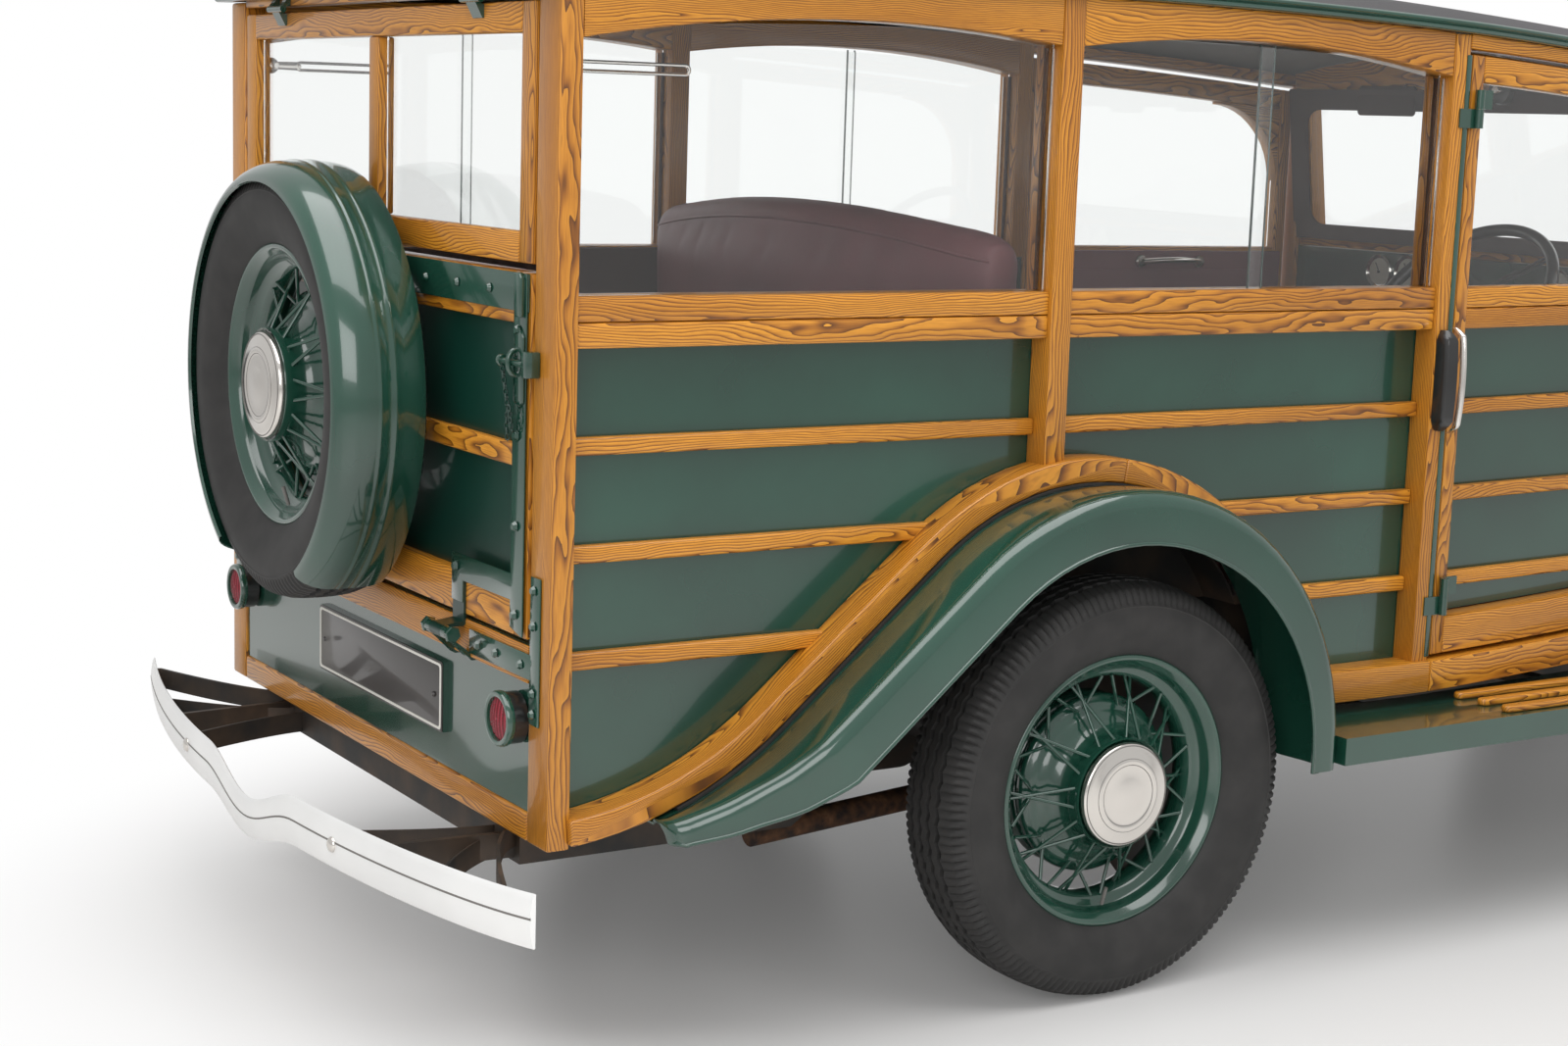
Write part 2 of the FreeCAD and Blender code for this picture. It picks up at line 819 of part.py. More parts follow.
def drip_moulding():
    """Half-round gutter along both sides of the roof's edge and across the back."""
    strips = []
    rear = -body_rear - roof_rear_lap
    middle = (rear + hinge_pin_station) / 2
    face = body_half_width + clearance

    def strip(x0, x1, y0):
        mid = (x0 + x1) / 2
        return side_slab([
            (x0, drip_line(x0)), (x0, drip_line(x0) + drip_height),
            ((mid, drip_line(mid) + drip_height), (x1, drip_line(x1) + drip_height)),
            (x1, drip_line(x1)), ((mid, drip_line(mid)), (x0, drip_line(x0))),
        ], y0, y0 + drip_proud)

    back = strip(rear, hinge_pin_station, face)
    front = tapered(strip(hinge_pin_station - overrun, roof_front, face))
    left = joined([back, front])
    low = drip_line(rear)
    tail = box(rear - drip_proud, rear - clearance, -face, face, low, low + drip_height)
    return [left, mirrored(left), tail]


def side_glass():
    """Sliding panes of the two fixed side windows, left side."""
    panes = []
    corner1 = -body_rear + corner_post_width
    quarter0 = quarter_post_station - quarter_post_width / 2
    quarter1 = quarter0 + quarter_post_width
    lock0 = lock_post_station - lock_post_width / 2
    outer = body_half_width - post_inner_depth
    for x0, x1 in ((corner1, quarter0), (quarter1, lock0)):
        middle = (x0 + x1) / 2
        ends = (drip_line(x0) - window_corner_drop, drip_line(x1) - window_corner_drop)
        crown = drip_line(middle) - cant_height
        low = belt_top + clearance
        whole = side_slab([
            (x0 + clearance, low), (x1 - clearance, low), (x1 - clearance, ends[1] - glass_let_in),
            ((middle, crown - glass_let_in), (x0 + clearance, ends[0] - glass_let_in)),
        ], outer - glass_thickness, outer)
        lap = slide_overlap / 2
        fixed = whole.common(box(x0, middle + lap, 0, body_half_width, 0, drip_crown_height))
        sliding = whole.common(box(middle - lap, x1, 0, body_half_width, 0, drip_crown_height))
        sliding.translate(Vec(0, -glass_thickness - slide_gap, 0))
        panes += [fixed, sliding]
    return panes


def door_outline(inset_sides, inset_top, inset_bottom):
    """Side-view outline of the door, its top following the cant rail."""
    x0 = hinge_pin_station - hinge_pin_inset + inset_sides
    x1 = door_front_station - inset_sides
    top = cant_height / 2 + door_top_gap + inset_top
    middle = (x0 + x1) / 2
    low = sill_height + door_sill_gap + inset_bottom
    return [
        (x0, sill_line(x0) + low), (middle, sill_line(middle) + low), (x1, sill_line(x1) + low),
        (x1, drip_line(x1) - top),
        ((middle, drip_line(middle) - top), (x0, drip_line(x0) - top)),
    ]


def door_timber():
    """Door frame with its waist rail, bottom rail, stiles and battens, left side."""
    y0 = body_half_width - door_thickness
    whole = side_slab(door_outline(0, 0, 0), y0, body_half_width - belt_groove)
    opening = side_slab(door_outline(door_stile, door_top_rail, door_bottom_rail), y0, body_half_width)
    x0 = hinge_pin_station - hinge_pin_inset
    x1 = door_front_station
    frame = whole.cut(opening)
    waist = belt(x0 + door_stile / 2, x1 - door_stile / 2).common(
        box(x0, x1, panel_face, body_half_width, 0, drip_crown_height))
    rails = [batten(x0 + door_stile / 2, x1 - door_stile / 2, height) for height in batten_heights]
    timber = joined([frame, waist] + rails)
    reach = door_front_station - hinge_pin_station
    sweep = Part.makeCylinder(reach, drip_crown_height, hinge_pin)
    return tapered(timber.common(sweep))


def door_panel():
    """Door skin and card below the waist, with the door's halves of the hinges, left side."""
    y1 = panel_face - clearance
    y0 = y1 - panel_thickness
    skin = side_slab(door_outline(door_stile + clearance, 0, door_bottom_rail + clearance), y0, y1)
    low = belt_top - belt_height / 3 - clearance
    skin = skin.common(box(0, wheelbase, 0, body_half_width, 0, low))
    return tapered(skin)


def hinge_knuckle(height, side):
    """Hinge barrel at a door's rear edge: the middle half turns with the door."""
    half = hinge_barrel_length / 2
    reach = hinge_leaf_length
    if side == "door":
        span = (height + clearance, height + half)
        face = body_half_width - belt_groove + clearance
        leaf = box(hinge_pin_station, hinge_pin_station + reach, face, face + belt_groove + clearance, *span)
        leaf = tapered(leaf)
    else:
        span = (height - half, height)
        face = body_half_width + clearance
        leaf = box(hinge_pin_station - reach, hinge_pin_station, face, face + hinge_leaf_thickness, *span)
    barrel = Part.makeCylinder(hinge_barrel_radius, span[1] - span[0],
                               Vec(hinge_pin_station, hinge_pin_y, span[0]))
    return joined([leaf, barrel])


def door_handle():
    """Lever handle near the door's front edge, left side."""
    face = body_half_width - belt_groove + clearance
    reach = belt_bottom - door_handle_drop
    x = door_front_station - door_stile / 2
    out = face + door_handle_reach
    neck = rod(Vec(x, face, reach), Vec(x, out, reach), door_handle_radius * door_handle_neck_share)
    end = x - door_handle_length
    lever = rod(Vec(x + door_handle_radius, out, reach), Vec(end, out, reach), door_handle_radius)
    return tapered(joined([neck, lever]))


def door_glass():
    """Door window pane, left side."""
    y1 = body_half_width - post_inner_depth
    inset = door_stile + clearance
    pane = side_slab(door_outline(inset, door_top_rail + clearance, 0), y1 - glass_thickness, y1)
    low = belt_top + clearance
    return tapered(pane.common(box(0, wheelbase, 0, body_half_width, low, drip_crown_height)))


def tailgate_timber():
    """Drop tailgate's frame with its middle rail."""
    x1 = gate_face + gate_thickness
    half = gate_half_width
    whole = box(gate_face, x1, -half, half, gate_bottom, gate_top)
    opening = box(gate_face, x1, gate_stile - half, half - gate_stile, gate_bottom + gate_rail,
                  gate_top - gate_rail)
    middle = box(gate_face, gate_face + gate_panel_inset - clearance, gate_stile - half, half - gate_stile,
                 gate_batten_height - gate_batten_width / 2, gate_batten_height + gate_batten_width / 2)
    return joined([whole.cut(opening), middle])


def tailgate_panel():
    """Steel panel let into the tailgate's frame, and the flat irons of its hinges."""
    half = gate_half_width - gate_stile - clearance
    x0 = gate_face + gate_panel_inset
    panel = box(x0, x0 + gate_panel_thickness, -half, half, gate_bottom + gate_rail + clearance,
                gate_top - gate_rail - clearance)
    return panel


def gate_hinge(offset, part_name):
    """Strap hinge of the tailgate; its barrel stands out behind the body."""
    quarter = gate_hinge_length / 4
    leaf = gate_hinge_leaf
    pin = Vec(gate_hinge_station, offset, gate_hinge_height)
    if part_name == "gate":
        start = offset - quarter
        top = gate_bottom + gate_rail
        strap = side_slab([
            (gate_face - clearance, top), (gate_face - clearance - leaf, top),
            (gate_face - clearance - leaf, gate_hinge_height + gate_hinge_radius + leaf),
            (gate_hinge_station, gate_hinge_height + gate_hinge_radius),
            (gate_hinge_station, gate_hinge_height + gate_hinge_radius - leaf),
            (gate_face - clearance - leaf, gate_hinge_height + gate_hinge_radius - leaf),
            (gate_face - clearance, gate_hinge_height + gate_hinge_radius),
        ], start, start + 2 * quarter)
        barrel = rod(Vec(pin.x, start, pin.z), Vec(pin.x, start + 2 * quarter, pin.z), gate_hinge_radius)
        return [joined([strap, barrel])]
    pieces = []
    for start in (offset - 2 * quarter, offset + quarter):
        y0 = start + clearance
        y1 = start + quarter - clearance
        foot = gate_hinge_height - gate_hinge_leaf_width
        seat = gate_face + panel_recess - clearance
        strap = side_slab([
            (seat, foot), (seat - leaf, foot),
            (gate_hinge_station, gate_hinge_height - gate_hinge_radius),
            (gate_hinge_station, gate_hinge_height - gate_hinge_radius + leaf),
            (seat, foot + 2 * leaf),
        ], y0, y1)
        barrel = rod(Vec(pin.x, y0, pin.z), Vec(pin.x, y1, pin.z), gate_hinge_radius)
        pieces.append(joined([strap, barrel]))
    return pieces


def spare_place():
    """Centre of the spare wheel on the tailgate."""
    station = gate_face - spare_gap - tyre_width / 2
    return Vec(station, spare_offset, spare_height)


def stood_on_tail(shape):
    """Turn a wheel made at the origin with its cap to the left so that its cap faces rearwards."""
    turned = shape.copy()
    turned.rotate(Vec(0, 0, 0), Vec(0, 0, 1), 90)
    turned.translate(spare_place())
    return turned


def spare_carrier():
    """Round plate and post that hold the spare wheel off the tailgate."""
    place = spare_place()
    hub = Vec(place.x + rim_width / 2 + clearance, place.y, place.z)
    plate = rod(hub, Vec(gate_face + gate_panel_inset + clearance, place.y, place.z), spare_post_radius)
    return plate


def spare_rim():
    """The spare: the same wheel with no brake drum."""
    return stood_on_tail(wheel(0, 0, 0, False))


def spare_cover():
    """Metal band over the spare's tread, open at the bottom."""
    inner = tyre_radius + cover_gap
    outer = inner + cover_wall
    half = tyre_width / 2 + cover_side_gap
    side = inner - cover_side_drop
    lip = -tyre_tread_width / 2
    beads = []
    for offset in (-cover_bead_offset, cover_bead_offset):
        beads += [(outer, offset - cover_bead_width / 2), (outer + cover_bead, offset),
                  (outer, offset + cover_bead_width / 2)]
    band = turned_on_y([
        (side, half + cover_wall), (side, half), (inner - cover_side_drop / 3, half),
        (inner, tyre_tread_width / 2), (inner, lip + cover_wall), (tyre_radius + clearance, lip + cover_wall),
        (tyre_radius + clearance, lip), (outer, lip)] + beads + [
        (outer, tyre_tread_width / 2), (outer - cover_side_drop / 3, half + cover_wall),
    ], 0, 0, 0)
    reach = 2 * outer
    angle = math.radians(cover_open_angle / 2)
    foot = cross_slab([(0, 0), (-reach * math.sin(angle), -reach), (reach * math.sin(angle), -reach)],
                      -reach, reach)
    foot.rotate(Vec(0, 0, 0), Vec(0, 0, 1), 90)
    band = band.cut(foot)
    return stood_on_tail(band)


def flap_timber():
    """Lifting rear window's frame with its middle bar."""
    x1 = gate_face + flap_thickness
    half = gate_half_width
    whole = box(gate_face, x1, -half, half, flap_bottom, flap_top)
    inset = flap_mullion / 2
    for y0, y1 in ((flap_rail - half, -inset), (inset, half - flap_rail)):
        whole = whole.cut(box(gate_face, x1, y0, y1, flap_bottom + flap_rail, flap_top - flap_rail))
    return whole


def flap_glass():
    """The two panes of the lifting rear window."""
    x0 = gate_face + flap_thickness / 2
    half = gate_half_width
    inset = flap_mullion / 2
    panes = []
    for y0, y1 in ((flap_rail - half, -inset), (inset, half - flap_rail)):
        panes.append(box(x0, x0 + glass_thickness, y0 + clearance, y1 - clearance,
                         flap_bottom + flap_rail + clearance, flap_top - flap_rail - clearance))
    return panes


def flap_hinge(offset, part_name):
    """Small butt hinge above the rear window."""
    half = flap_hinge_length / 2
    quarter = half / 2
    pin = Vec(flap_hinge_station, offset, flap_hinge_height)
    face = gate_face - clearance
    leaf = hinge_leaf_thickness
    if part_name == "flap":
        y0 = offset - quarter
        y1 = offset + quarter
        strap = side_slab([
            (face, flap_top - leaf), (face, flap_top - flap_rail / 2),
            (face - leaf, flap_top - flap_rail / 2), (pin.x - flap_hinge_radius / 2, pin.z - leaf),
            (pin.x + flap_hinge_radius / 2, pin.z - flap_hinge_radius / 2),
        ], y0, y1)
        return [joined([strap, rod(Vec(pin.x, y0, pin.z), Vec(pin.x, y1, pin.z), flap_hinge_radius)])]
    pieces = []
    inner = quarter + clearance
    for y0, y1 in ((offset - half, offset - inner), (offset + inner, offset + half)):
        strap = side_slab([
            (face, pin.z + flap_hinge_radius), (face, pin.z + flap_hinge_length / 3),
            (face - leaf, pin.z + flap_hinge_length / 3), (pin.x - flap_hinge_radius / 2, pin.z + leaf),
            (pin.x + flap_hinge_radius / 2, pin.z + flap_hinge_radius / 2),
        ], y0, y1)
        pieces.append(joined([strap, rod(Vec(pin.x, y0, pin.z), Vec(pin.x, y1, pin.z), flap_hinge_radius)]))
    return pieces


def flap_stay():
    """Slotted arm that holds the rear window up, left side."""
    x0 = gate_face + flap_thickness + clearance
    y1 = gate_half_width - stay_inset
    x1 = x0 + stay_length
    half = stay_width / 2
    arm = side_slab([
        (x0 + half, stay_height - half), (x1 - half, stay_height - half),
        ((x1, stay_height), (x1 - half, stay_height + half)), (x0 + half, stay_height + half),
        ((x0, stay_height), (x0 + half, stay_height - half)),
    ], y1 - stay_thickness, y1)
    slot = box(x0 + 2 * half, x1 - 2 * half, y1 - stay_thickness, y1,
               stay_height - stay_slot / 2, stay_height + stay_slot / 2)
    return arm.cut(slot)


def fender_section(base, normal, y_in, y_out, lip, flat):
    """Closed section of a fender's sheet: flat inner edge, crown, an edge rolled in four bends, and a lip."""
    sheet = fender_sheet
    edge = fender_edge_radius
    crown = fender_crown
    middle = (y_in + flat + y_out - edge) / 2
    swell = crown * fender_swell_share

    def place(y, rise):
        return Vec(base[0] + normal[0] * rise, y, base[1] + normal[1] * rise)

    def rolled(radius):
        turns = [math.radians(90 * share) for share in fender_roll_shares]
        return [(y_out - edge + radius * math.sin(turn), crown - edge + radius * math.cos(turn))
                for turn in turns]

    return outline(place, [
        (y_in, 0), (y_in + flat, 0), (middle, swell)] + rolled(edge) + [
        (y_out, crown - lip), (y_out - sheet, crown - lip)] + rolled(edge - sheet)[::-1] + [
        (middle, swell - sheet), (y_in + flat, -sheet), (y_in, -sheet),
    ])


def rear_fender():
    """Rear fender, lofted along the wheel arch from its front foot to its swept tail, left side."""
    y_in = panel_face + clearance
    flat = arch_timber_depth + fender_bead
    offset = -fender_bead
    sections = []

    def section(base, angle, y_out, lip):
        turn = math.radians(angle)
        normal = (-math.sin(turn), math.cos(turn))
        sections.append(fender_section(base, normal, y_in, y_out, lip, flat))

    foot = on_arch(-90, offset)
    section((foot[0], body_bottom), -90, fender_half_width, fender_front_lip)
    steps = fender_steps
    for index in range(steps + 1):
        share = index / steps
        angle = -90 + (90 + arch_slope) * share
        lip = fender_front_lip + (fender_lip - fender_front_lip) * min(2 * share, 1)
        section(on_arch(angle, offset), angle, fender_half_width, lip)
    start = on_arch(arch_slope, offset)
    end = on_tail(arch_slope, offset)
    for share in (1 / 4, 1 / 2, 3 / 4):
        base = (start[0] + (end[0] - start[0]) * share, start[1] + (end[1] - start[1]) * share)
        section(base, arch_slope, fender_half_width, fender_lip)
    for angle_share, width_share, lip_share in tail_shares:
        angle = arch_slope * angle_share
        y_out = tail_half_width + (fender_half_width - tail_half_width) * width_share
        section(on_tail(angle, offset), angle, y_out, fender_lip * lip_share)
    return Part.makeLoft(sections, True, False)


def on_front_arch(angle, offset):
    """Point on the round of the front fender; the angle runs from the top towards the rear."""
    turn = math.radians(angle)
    radius = front_fender_radius + offset
    return (front_fender_station - radius * math.sin(turn),
            front_fender_height + radius * math.cos(turn))


def sweep_end():
    """Place where the front fender's sweep meets the running board."""
    slope = math.radians(front_fender_sweep)
    start = on_front_arch(front_fender_sweep, 0)
    length = (start[1] - board_top) / math.sin(slope)
    return (start[0] - length * math.cos(slope), board_top)


def front_fender():
    """Front fender, lofted over the wheel and down to the running board, left side."""
    sections = []
    for angle, width_share in front_fender_shares + ((front_fender_sweep, 1),):
        turn = math.radians(angle)
        sections.append(fender_section(on_front_arch(angle, 0), (-math.sin(turn), math.cos(turn)),
                                       front_fender_inner, fender_half_width * width_share, fender_lip, 0))
    start = on_front_arch(front_fender_sweep, 0)
    end = sweep_end()
    slope = math.radians(front_fender_sweep)
    side = tapered_width(panel_face + sill_depth, end[0])
    for share, width_share in sweep_shares:
        base = (start[0] + (end[0] - start[0]) * share, start[1] + (end[1] - start[1]) * share)
        y_in = front_fender_inner + (side - front_fender_inner) * width_share
        lip = fender_lip + (board_thickness - fender_lip) * share
        sections.append(fender_section(base, (-math.sin(slope), math.cos(slope)), y_in,
                                       fender_half_width, lip, 0))
    return Part.makeLoft(sections, True, False)


def front_apron():
    """Inner panel from the front fender's edge down to the frame rail, left side."""
    y1 = front_fender_inner
    y0 = y1 - apron_thickness
    low = rail_bottom + kick_up + rail_height / 2
    knee = wheel_height + tyre_radius / 2
    rail = rail_front_offset + rail_width / 2 + clearance
    plate = cross_slab([
        (y0, drip_crown_height), (y0, knee), (rail, low), (rail, low - apron_thickness),
        (y1, knee - apron_thickness), (y1, drip_crown_height),
    ], front_axle_station - axle_centre_casing - rail_height, front_fender_station + front_fender_radius)
    under = side_slab([
        on_front_arch(-apron_angle, -fender_bead),
        (on_front_arch(0, -fender_bead), on_front_arch(apron_angle, -fender_bead)),
    ], 0, 2 * front_fender_inner)
    return plate.common(under)


def running_board():
    """Running board with its turned-down edge, left side."""
    x0 = on_arch(-90, fender_crown)[0] + board_rear_gap
    x1 = sweep_end()[0] - board_rear_gap
    inner0 = panel_face + clearance
    inner1 = tapered_width(panel_face, x1) + clearance
    top = plan_slab([(x0, inner0), (hinge_pin_station, inner0), (x1, inner1), (x1, fender_half_width),
                     (x0, fender_half_width)], board_top - board_thickness, board_top)
    face = fender_half_width - board_wall
    hollow = plan_slab([(x0 + board_wall, inner0 - overrun), (hinge_pin_station, inner0 - overrun),
                        (x1 - board_wall, inner1 - overrun), (x1 - board_wall, face),
                        (x0 + board_wall, face)],
                       board_top - board_thickness - overrun, board_top - board_wall)
    return top.cut(hollow)


def board_strips():
    """Ash treads on the running board, their rear ends staggered, left side."""
    strips = []
    x0 = on_arch(-90, fender_crown)[0] + board_rear_gap + strip_rear_gap
    x1 = sweep_end()[0] - board_rear_gap - strip_front_gap
    for index in range(strip_count):
        y1 = fender_half_width - strip_pitch * (index + 1) + strip_width / 2
        start = x0 + strip_stagger * (strip_count - 1 - index)
        strips.append(box(start, x1, y1 - strip_width, y1, board_top + clearance,
                          board_top + clearance + strip_height))
    return strips


def frame_rail(spare):
    """Side rail, kicked up over both axles and drawn in at the front; spare widens it, left side."""
    top = rail_height
    rise = rail_bottom + kick_up
    half = rail_width / 2 + spare
    reach = axle_centre_casing + rail_height
    rear = -body_rear + corner_post_width
    front = front_axle_station + front_overhang / 2
    waist = front_axle_station - 4 * reach
    profile = side_slab([
        (rear, rail_rear_bottom), (-2 * reach, rail_rear_bottom), (-reach, rise), (reach, rise),
        (2 * reach, rail_bottom), (front_axle_station - 2 * reach, rail_bottom),
        (front_axle_station - reach, rise), (front, rise - rail_height / 4), (front, rise + rail_height / 4),
        (front_axle_station - reach, rise + top), (front_axle_station - 2 * reach, rail_bottom + top),
        (2 * reach, rail_bottom + top), (reach, rise + top), (-reach, rise + top),
        (-2 * reach, rail_rear_bottom + rail_rear_height), (rear, rail_rear_bottom + rail_rear_height),
    ], 0, body_half_width)
    plan = plan_slab([
        (rear, rail_rear_offset - half), (reach, rail_rear_offset - half),
        (2 * reach, rail_middle_offset - half), (waist, rail_middle_offset - half),
        (front_axle_station - reach, rail_front_offset - half),
        (front, rail_front_offset - half), (front, rail_front_offset + half),
        (front_axle_station - reach, rail_front_offset + half), (waist, rail_middle_offset + half),
        (2 * reach, rail_middle_offset + half), (reach, rail_rear_offset + half),
        (rear, rail_rear_offset + half),
    ], 0, body_half_width)
    return profile.common(plan)


def between_rails(member):
    """Part of a cross member that lies between the two rails, ending just short of them."""
    gap = frame_rail(clearance)
    pieces = member.cut(gap).cut(mirrored(gap)).Solids
    return max(pieces, key=lambda piece: piece.Volume)


def cross_members():
    """Members between the rails: rear, over each spring, under the engine and before the radiator."""
    rise = rail_bottom + kick_up
    inner = rail_rear_offset
    rear = -body_rear + corner_post_width
    middle = gearbox_station - clearance
    low = rail_bottom + rail_height / 2 - clearance
    wide = rail_front_offset + rail_width
    top = grille_bottom - clearance
    narrow = hood_front_half_width
    reach = rail_front_offset
    foot = hood_front(grille_bottom)
    spring_seat = rise + front_member_rise
    members = [
        box(rear, rear + rail_width, -inner, inner, rail_rear_bottom, rail_rear_bottom + rail_rear_height),
        box(-axle_centre_casing - rail_width, rail_width - axle_centre_casing, -inner, inner,
            rise + rail_height / 2, rise + rail_height),
        box(middle - rail_width, middle, -rail_middle_offset, rail_middle_offset, rail_bottom,
            rail_bottom + rail_height / 2),
        box(front_axle_station - rail_width, front_axle_station + rail_width, -rail_front_offset,
            rail_front_offset, spring_seat, spring_seat + front_member_height),
        box(engine_mount_station - rail_width / 2, engine_mount_station + rail_width / 2, -wide,
            wide, low - rail_width / 2, low),
        cross_slab([
            (-narrow, top), (-narrow, rise + rail_width), (-reach, rise + rail_width),
            (-reach, top - shell_member_depth), (reach, top - shell_member_depth),
            (reach, rise + rail_width), (narrow, rise + rail_width), (narrow, top),
        ], foot, foot + shell_depth),
    ]
    return [between_rails(member) for member in members]


def board_bracket(station):
    """Bracket from the frame rail out under the running board, left side."""
    seat = board_top - board_wall - clearance
    half = board_bracket_width / 2
    return box(station - half, station + half, rail_middle_offset + rail_width / 2 + clearance,
               fender_half_width - 2 * board_wall, seat - board_bracket_depth, seat)


def bumper_iron(x_frame, x_bar, y_frame, y_bar, height):
    """Flat iron from a frame end to a bumper bar, left side."""
    half = iron_thickness / 2
    return plan_slab([
        (x_frame, y_frame - half), (x_frame, y_frame + half), (x_bar, y_bar + half), (x_bar, y_bar - half),
    ], height - iron_width / 2, height + iron_width / 2)


def chassis():
    """Ladder frame: rails with their bumper irons, cross members and running board brackets."""
    height = bumper_bottom + bumper_height / 2
    rear = -body_rear + corner_post_width + rail_width
    front = front_axle_station + front_overhang / 2 - rail_width
    seat = clearance + iron_thickness * bumper_end_sweep / bumper_half_width / 2
    back = bumper_iron(rear, bumper_back(rear_iron_share) + seat, rail_rear_offset,
                       bumper_half_width * rear_iron_share, height)
    half = rail_width / 2
    lower = box(rear - rail_width, rear, rail_rear_offset - half, rail_rear_offset + half,
                height - iron_width / 2, rail_rear_bottom + rail_wall)
    ahead = bumper_iron(front, front_bumper_back(front_iron_share) - seat, rail_front_offset,
                        bumper_half_width * front_iron_share, height)
    drop = box(front, front + rail_width, rail_front_offset - half, rail_front_offset + half,
               height - iron_width / 2, rail_bottom + kick_up + rail_height / 4)
    rail = joined([frame_rail(0), back, lower, ahead, drop])
    return both([rail] + [board_bracket(station) for station in board_bracket_stations]) + cross_members()


def bumper_sweep(share):
    """How far a bumper bar has swept back at a share of its half width."""
    return bumper_end_sweep * share ** 2


def bumper_back(share):
    """Station of the rear bar's inner face at a share of its half width."""
    return -rear_overhang + bumper_thickness + bumper_sweep(share)


def front_bumper_back(share):
    """Station of the front bar's inner face at a share of its half width."""
    return front_axle_station + front_overhang - bumper_thickness - bumper_sweep(share)


def bumper_bar(face, direction):
    """Spring-steel bar, bowed in plan and dipped at the middle."""
    ends = bumper_half_width
    sweep = bumper_end_sweep
    inner = face + direction * bumper_thickness
    bow = plan_slab([
        (face + direction * sweep, -ends), ((face, 0), (face + direction * sweep, ends)),
        (inner + direction * sweep, ends), ((inner, 0), (inner + direction * sweep, -ends)),
    ], 0, drip_crown_height)
    low = bumper_bottom
    high = low + bumper_height
    dip = bumper_dip
    far = bumper_dip_half_width
    shape = cross_slab([
        (-ends, low), (-far, low), ((0, low - dip), (far, low)), (ends, low),
        (ends, high), (far, high), ((0, high - dip), (-far, high)), (-ends, high),
    ], face - wheelbase, face + wheelbase)
    return bow.common(shape)


def axle_spring(station, half, crown):
    """Transverse leaf spring, arched up to the cross member that it carries."""
    leaf = spring_leaf_thickness
    stack = leaf * spring_leaves
    low = crown - stack - kick_up / 2
    crown = crown - stack
    return cross_slab([
        (-half, low), ((0, crown), (half, low)), (half, low + leaf),
        ((0, crown + stack), (-half, low + leaf)),
    ], station - spring_leaf_width / 2, station + spring_leaf_width / 2)


def rear_axle():
    """Rear axle tube, differential casing, stub ends and torque tube."""
    middle = rear_track / 2
    stub = middle - rim_width / 2 - drum_width
    tube = rod(Vec(0, -stub, wheel_height), Vec(0, stub, wheel_height), axle_tube_radius)
    spindle_end = middle + rim_width / 2
    spindle = rod(Vec(0, -spindle_end, wheel_height), Vec(0, spindle_end, wheel_height), bearing_radius)
    deep = rail_height / 2
    casing = rod(Vec(-deep, 0, wheel_height), Vec(deep, 0, wheel_height), axle_centre_casing)
    torque = rod(Vec(0, 0, wheel_height), Vec(gearbox_station, 0, rail_bottom + deep), axle_tube_radius)
    end = gearbox_station - rail_width - 2 * clearance
    torque = torque.common(box(0, end, -axle_tube_radius, axle_tube_radius, 0, drip_crown_height))
    station = -axle_centre_casing
    reach = stub - axle_tube_radius
    seat = rail_bottom + kick_up + rail_height / 2 - clearance
    spring = axle_spring(station, reach, seat)
    low = seat - spring_leaf_thickness * spring_leaves - kick_up / 2
    perches = []
    for side in (-1, 1):
        y = side * (reach - perch_width / 2)
        perches.append(box(station - spring_leaf_width / 2, 0, y - perch_width / 2, y + perch_width / 2,
                           wheel_height, low + spring_leaf_thickness))
    return joined([tube, spindle, casing, torque, spring] + perches)


def kingpin_offset():
    """Distance of the kingpin from the middle of the car."""
    return front_track / 2 - kingpin_inset


def front_axle():
    """Dropped front beam with an eye for each kingpin."""
    end = kingpin_offset()
    half = front_beam_height / 2
    eye_radius = kingpin_radius + rail_wall
    seat = end - 2 * eye_radius
    low = wheel_height - half - front_beam_drop / 2
    beam = cross_slab([
        (-end, wheel_height - half), (-seat, wheel_height - half), (-seat + front_beam_drop, low),
        (seat - front_beam_drop, low), (seat, wheel_height - half), (end, wheel_height - half),
        (end, wheel_height + half), (seat, wheel_height + half),
        (seat - front_beam_drop, low + front_beam_height), (front_beam_drop - seat, low + front_beam_height),
        (-seat, wheel_height + half), (-end, wheel_height + half),
    ], front_axle_station - front_beam_width / 2, front_axle_station + front_beam_width / 2)
    whole = beam
    for side in (-1, 1):
        base = Vec(front_axle_station, side * end, wheel_height - half)
        whole = whole.fuse(Part.makeCylinder(eye_radius + kingpin_radius / 2, front_beam_height, base))
    outer = end + kingpin_radius
    whole = whole.common(box(0, wheelbase * 2, -outer - rail_wall, outer + rail_wall, 0, drip_crown_height))
    seat = rail_bottom + kick_up + front_member_rise - clearance
    spring = axle_spring(front_axle_station, front_spring_reach, seat)
    foot = seat - spring_leaf_thickness * spring_leaves - kick_up / 2
    whole = whole.fuse(spring)
    for side in (-1, 1):
        middle = side * (front_spring_reach - perch_width / 2)
        reach = spring_leaf_width / 2
        whole = whole.fuse(box(front_axle_station - reach, front_axle_station + reach,
                               middle - perch_width / 2, middle + perch_width / 2,
                               low + front_beam_height / 2, foot + spring_leaf_thickness))
    whole = whole.removeSplitter()
    for side in (-1, 1):
        base = Vec(front_axle_station, side * end, wheel_height - front_beam_height)
        whole = whole.cut(Part.makeCylinder(kingpin_radius + bearing_gap, 2 * front_beam_height, base))
    return whole


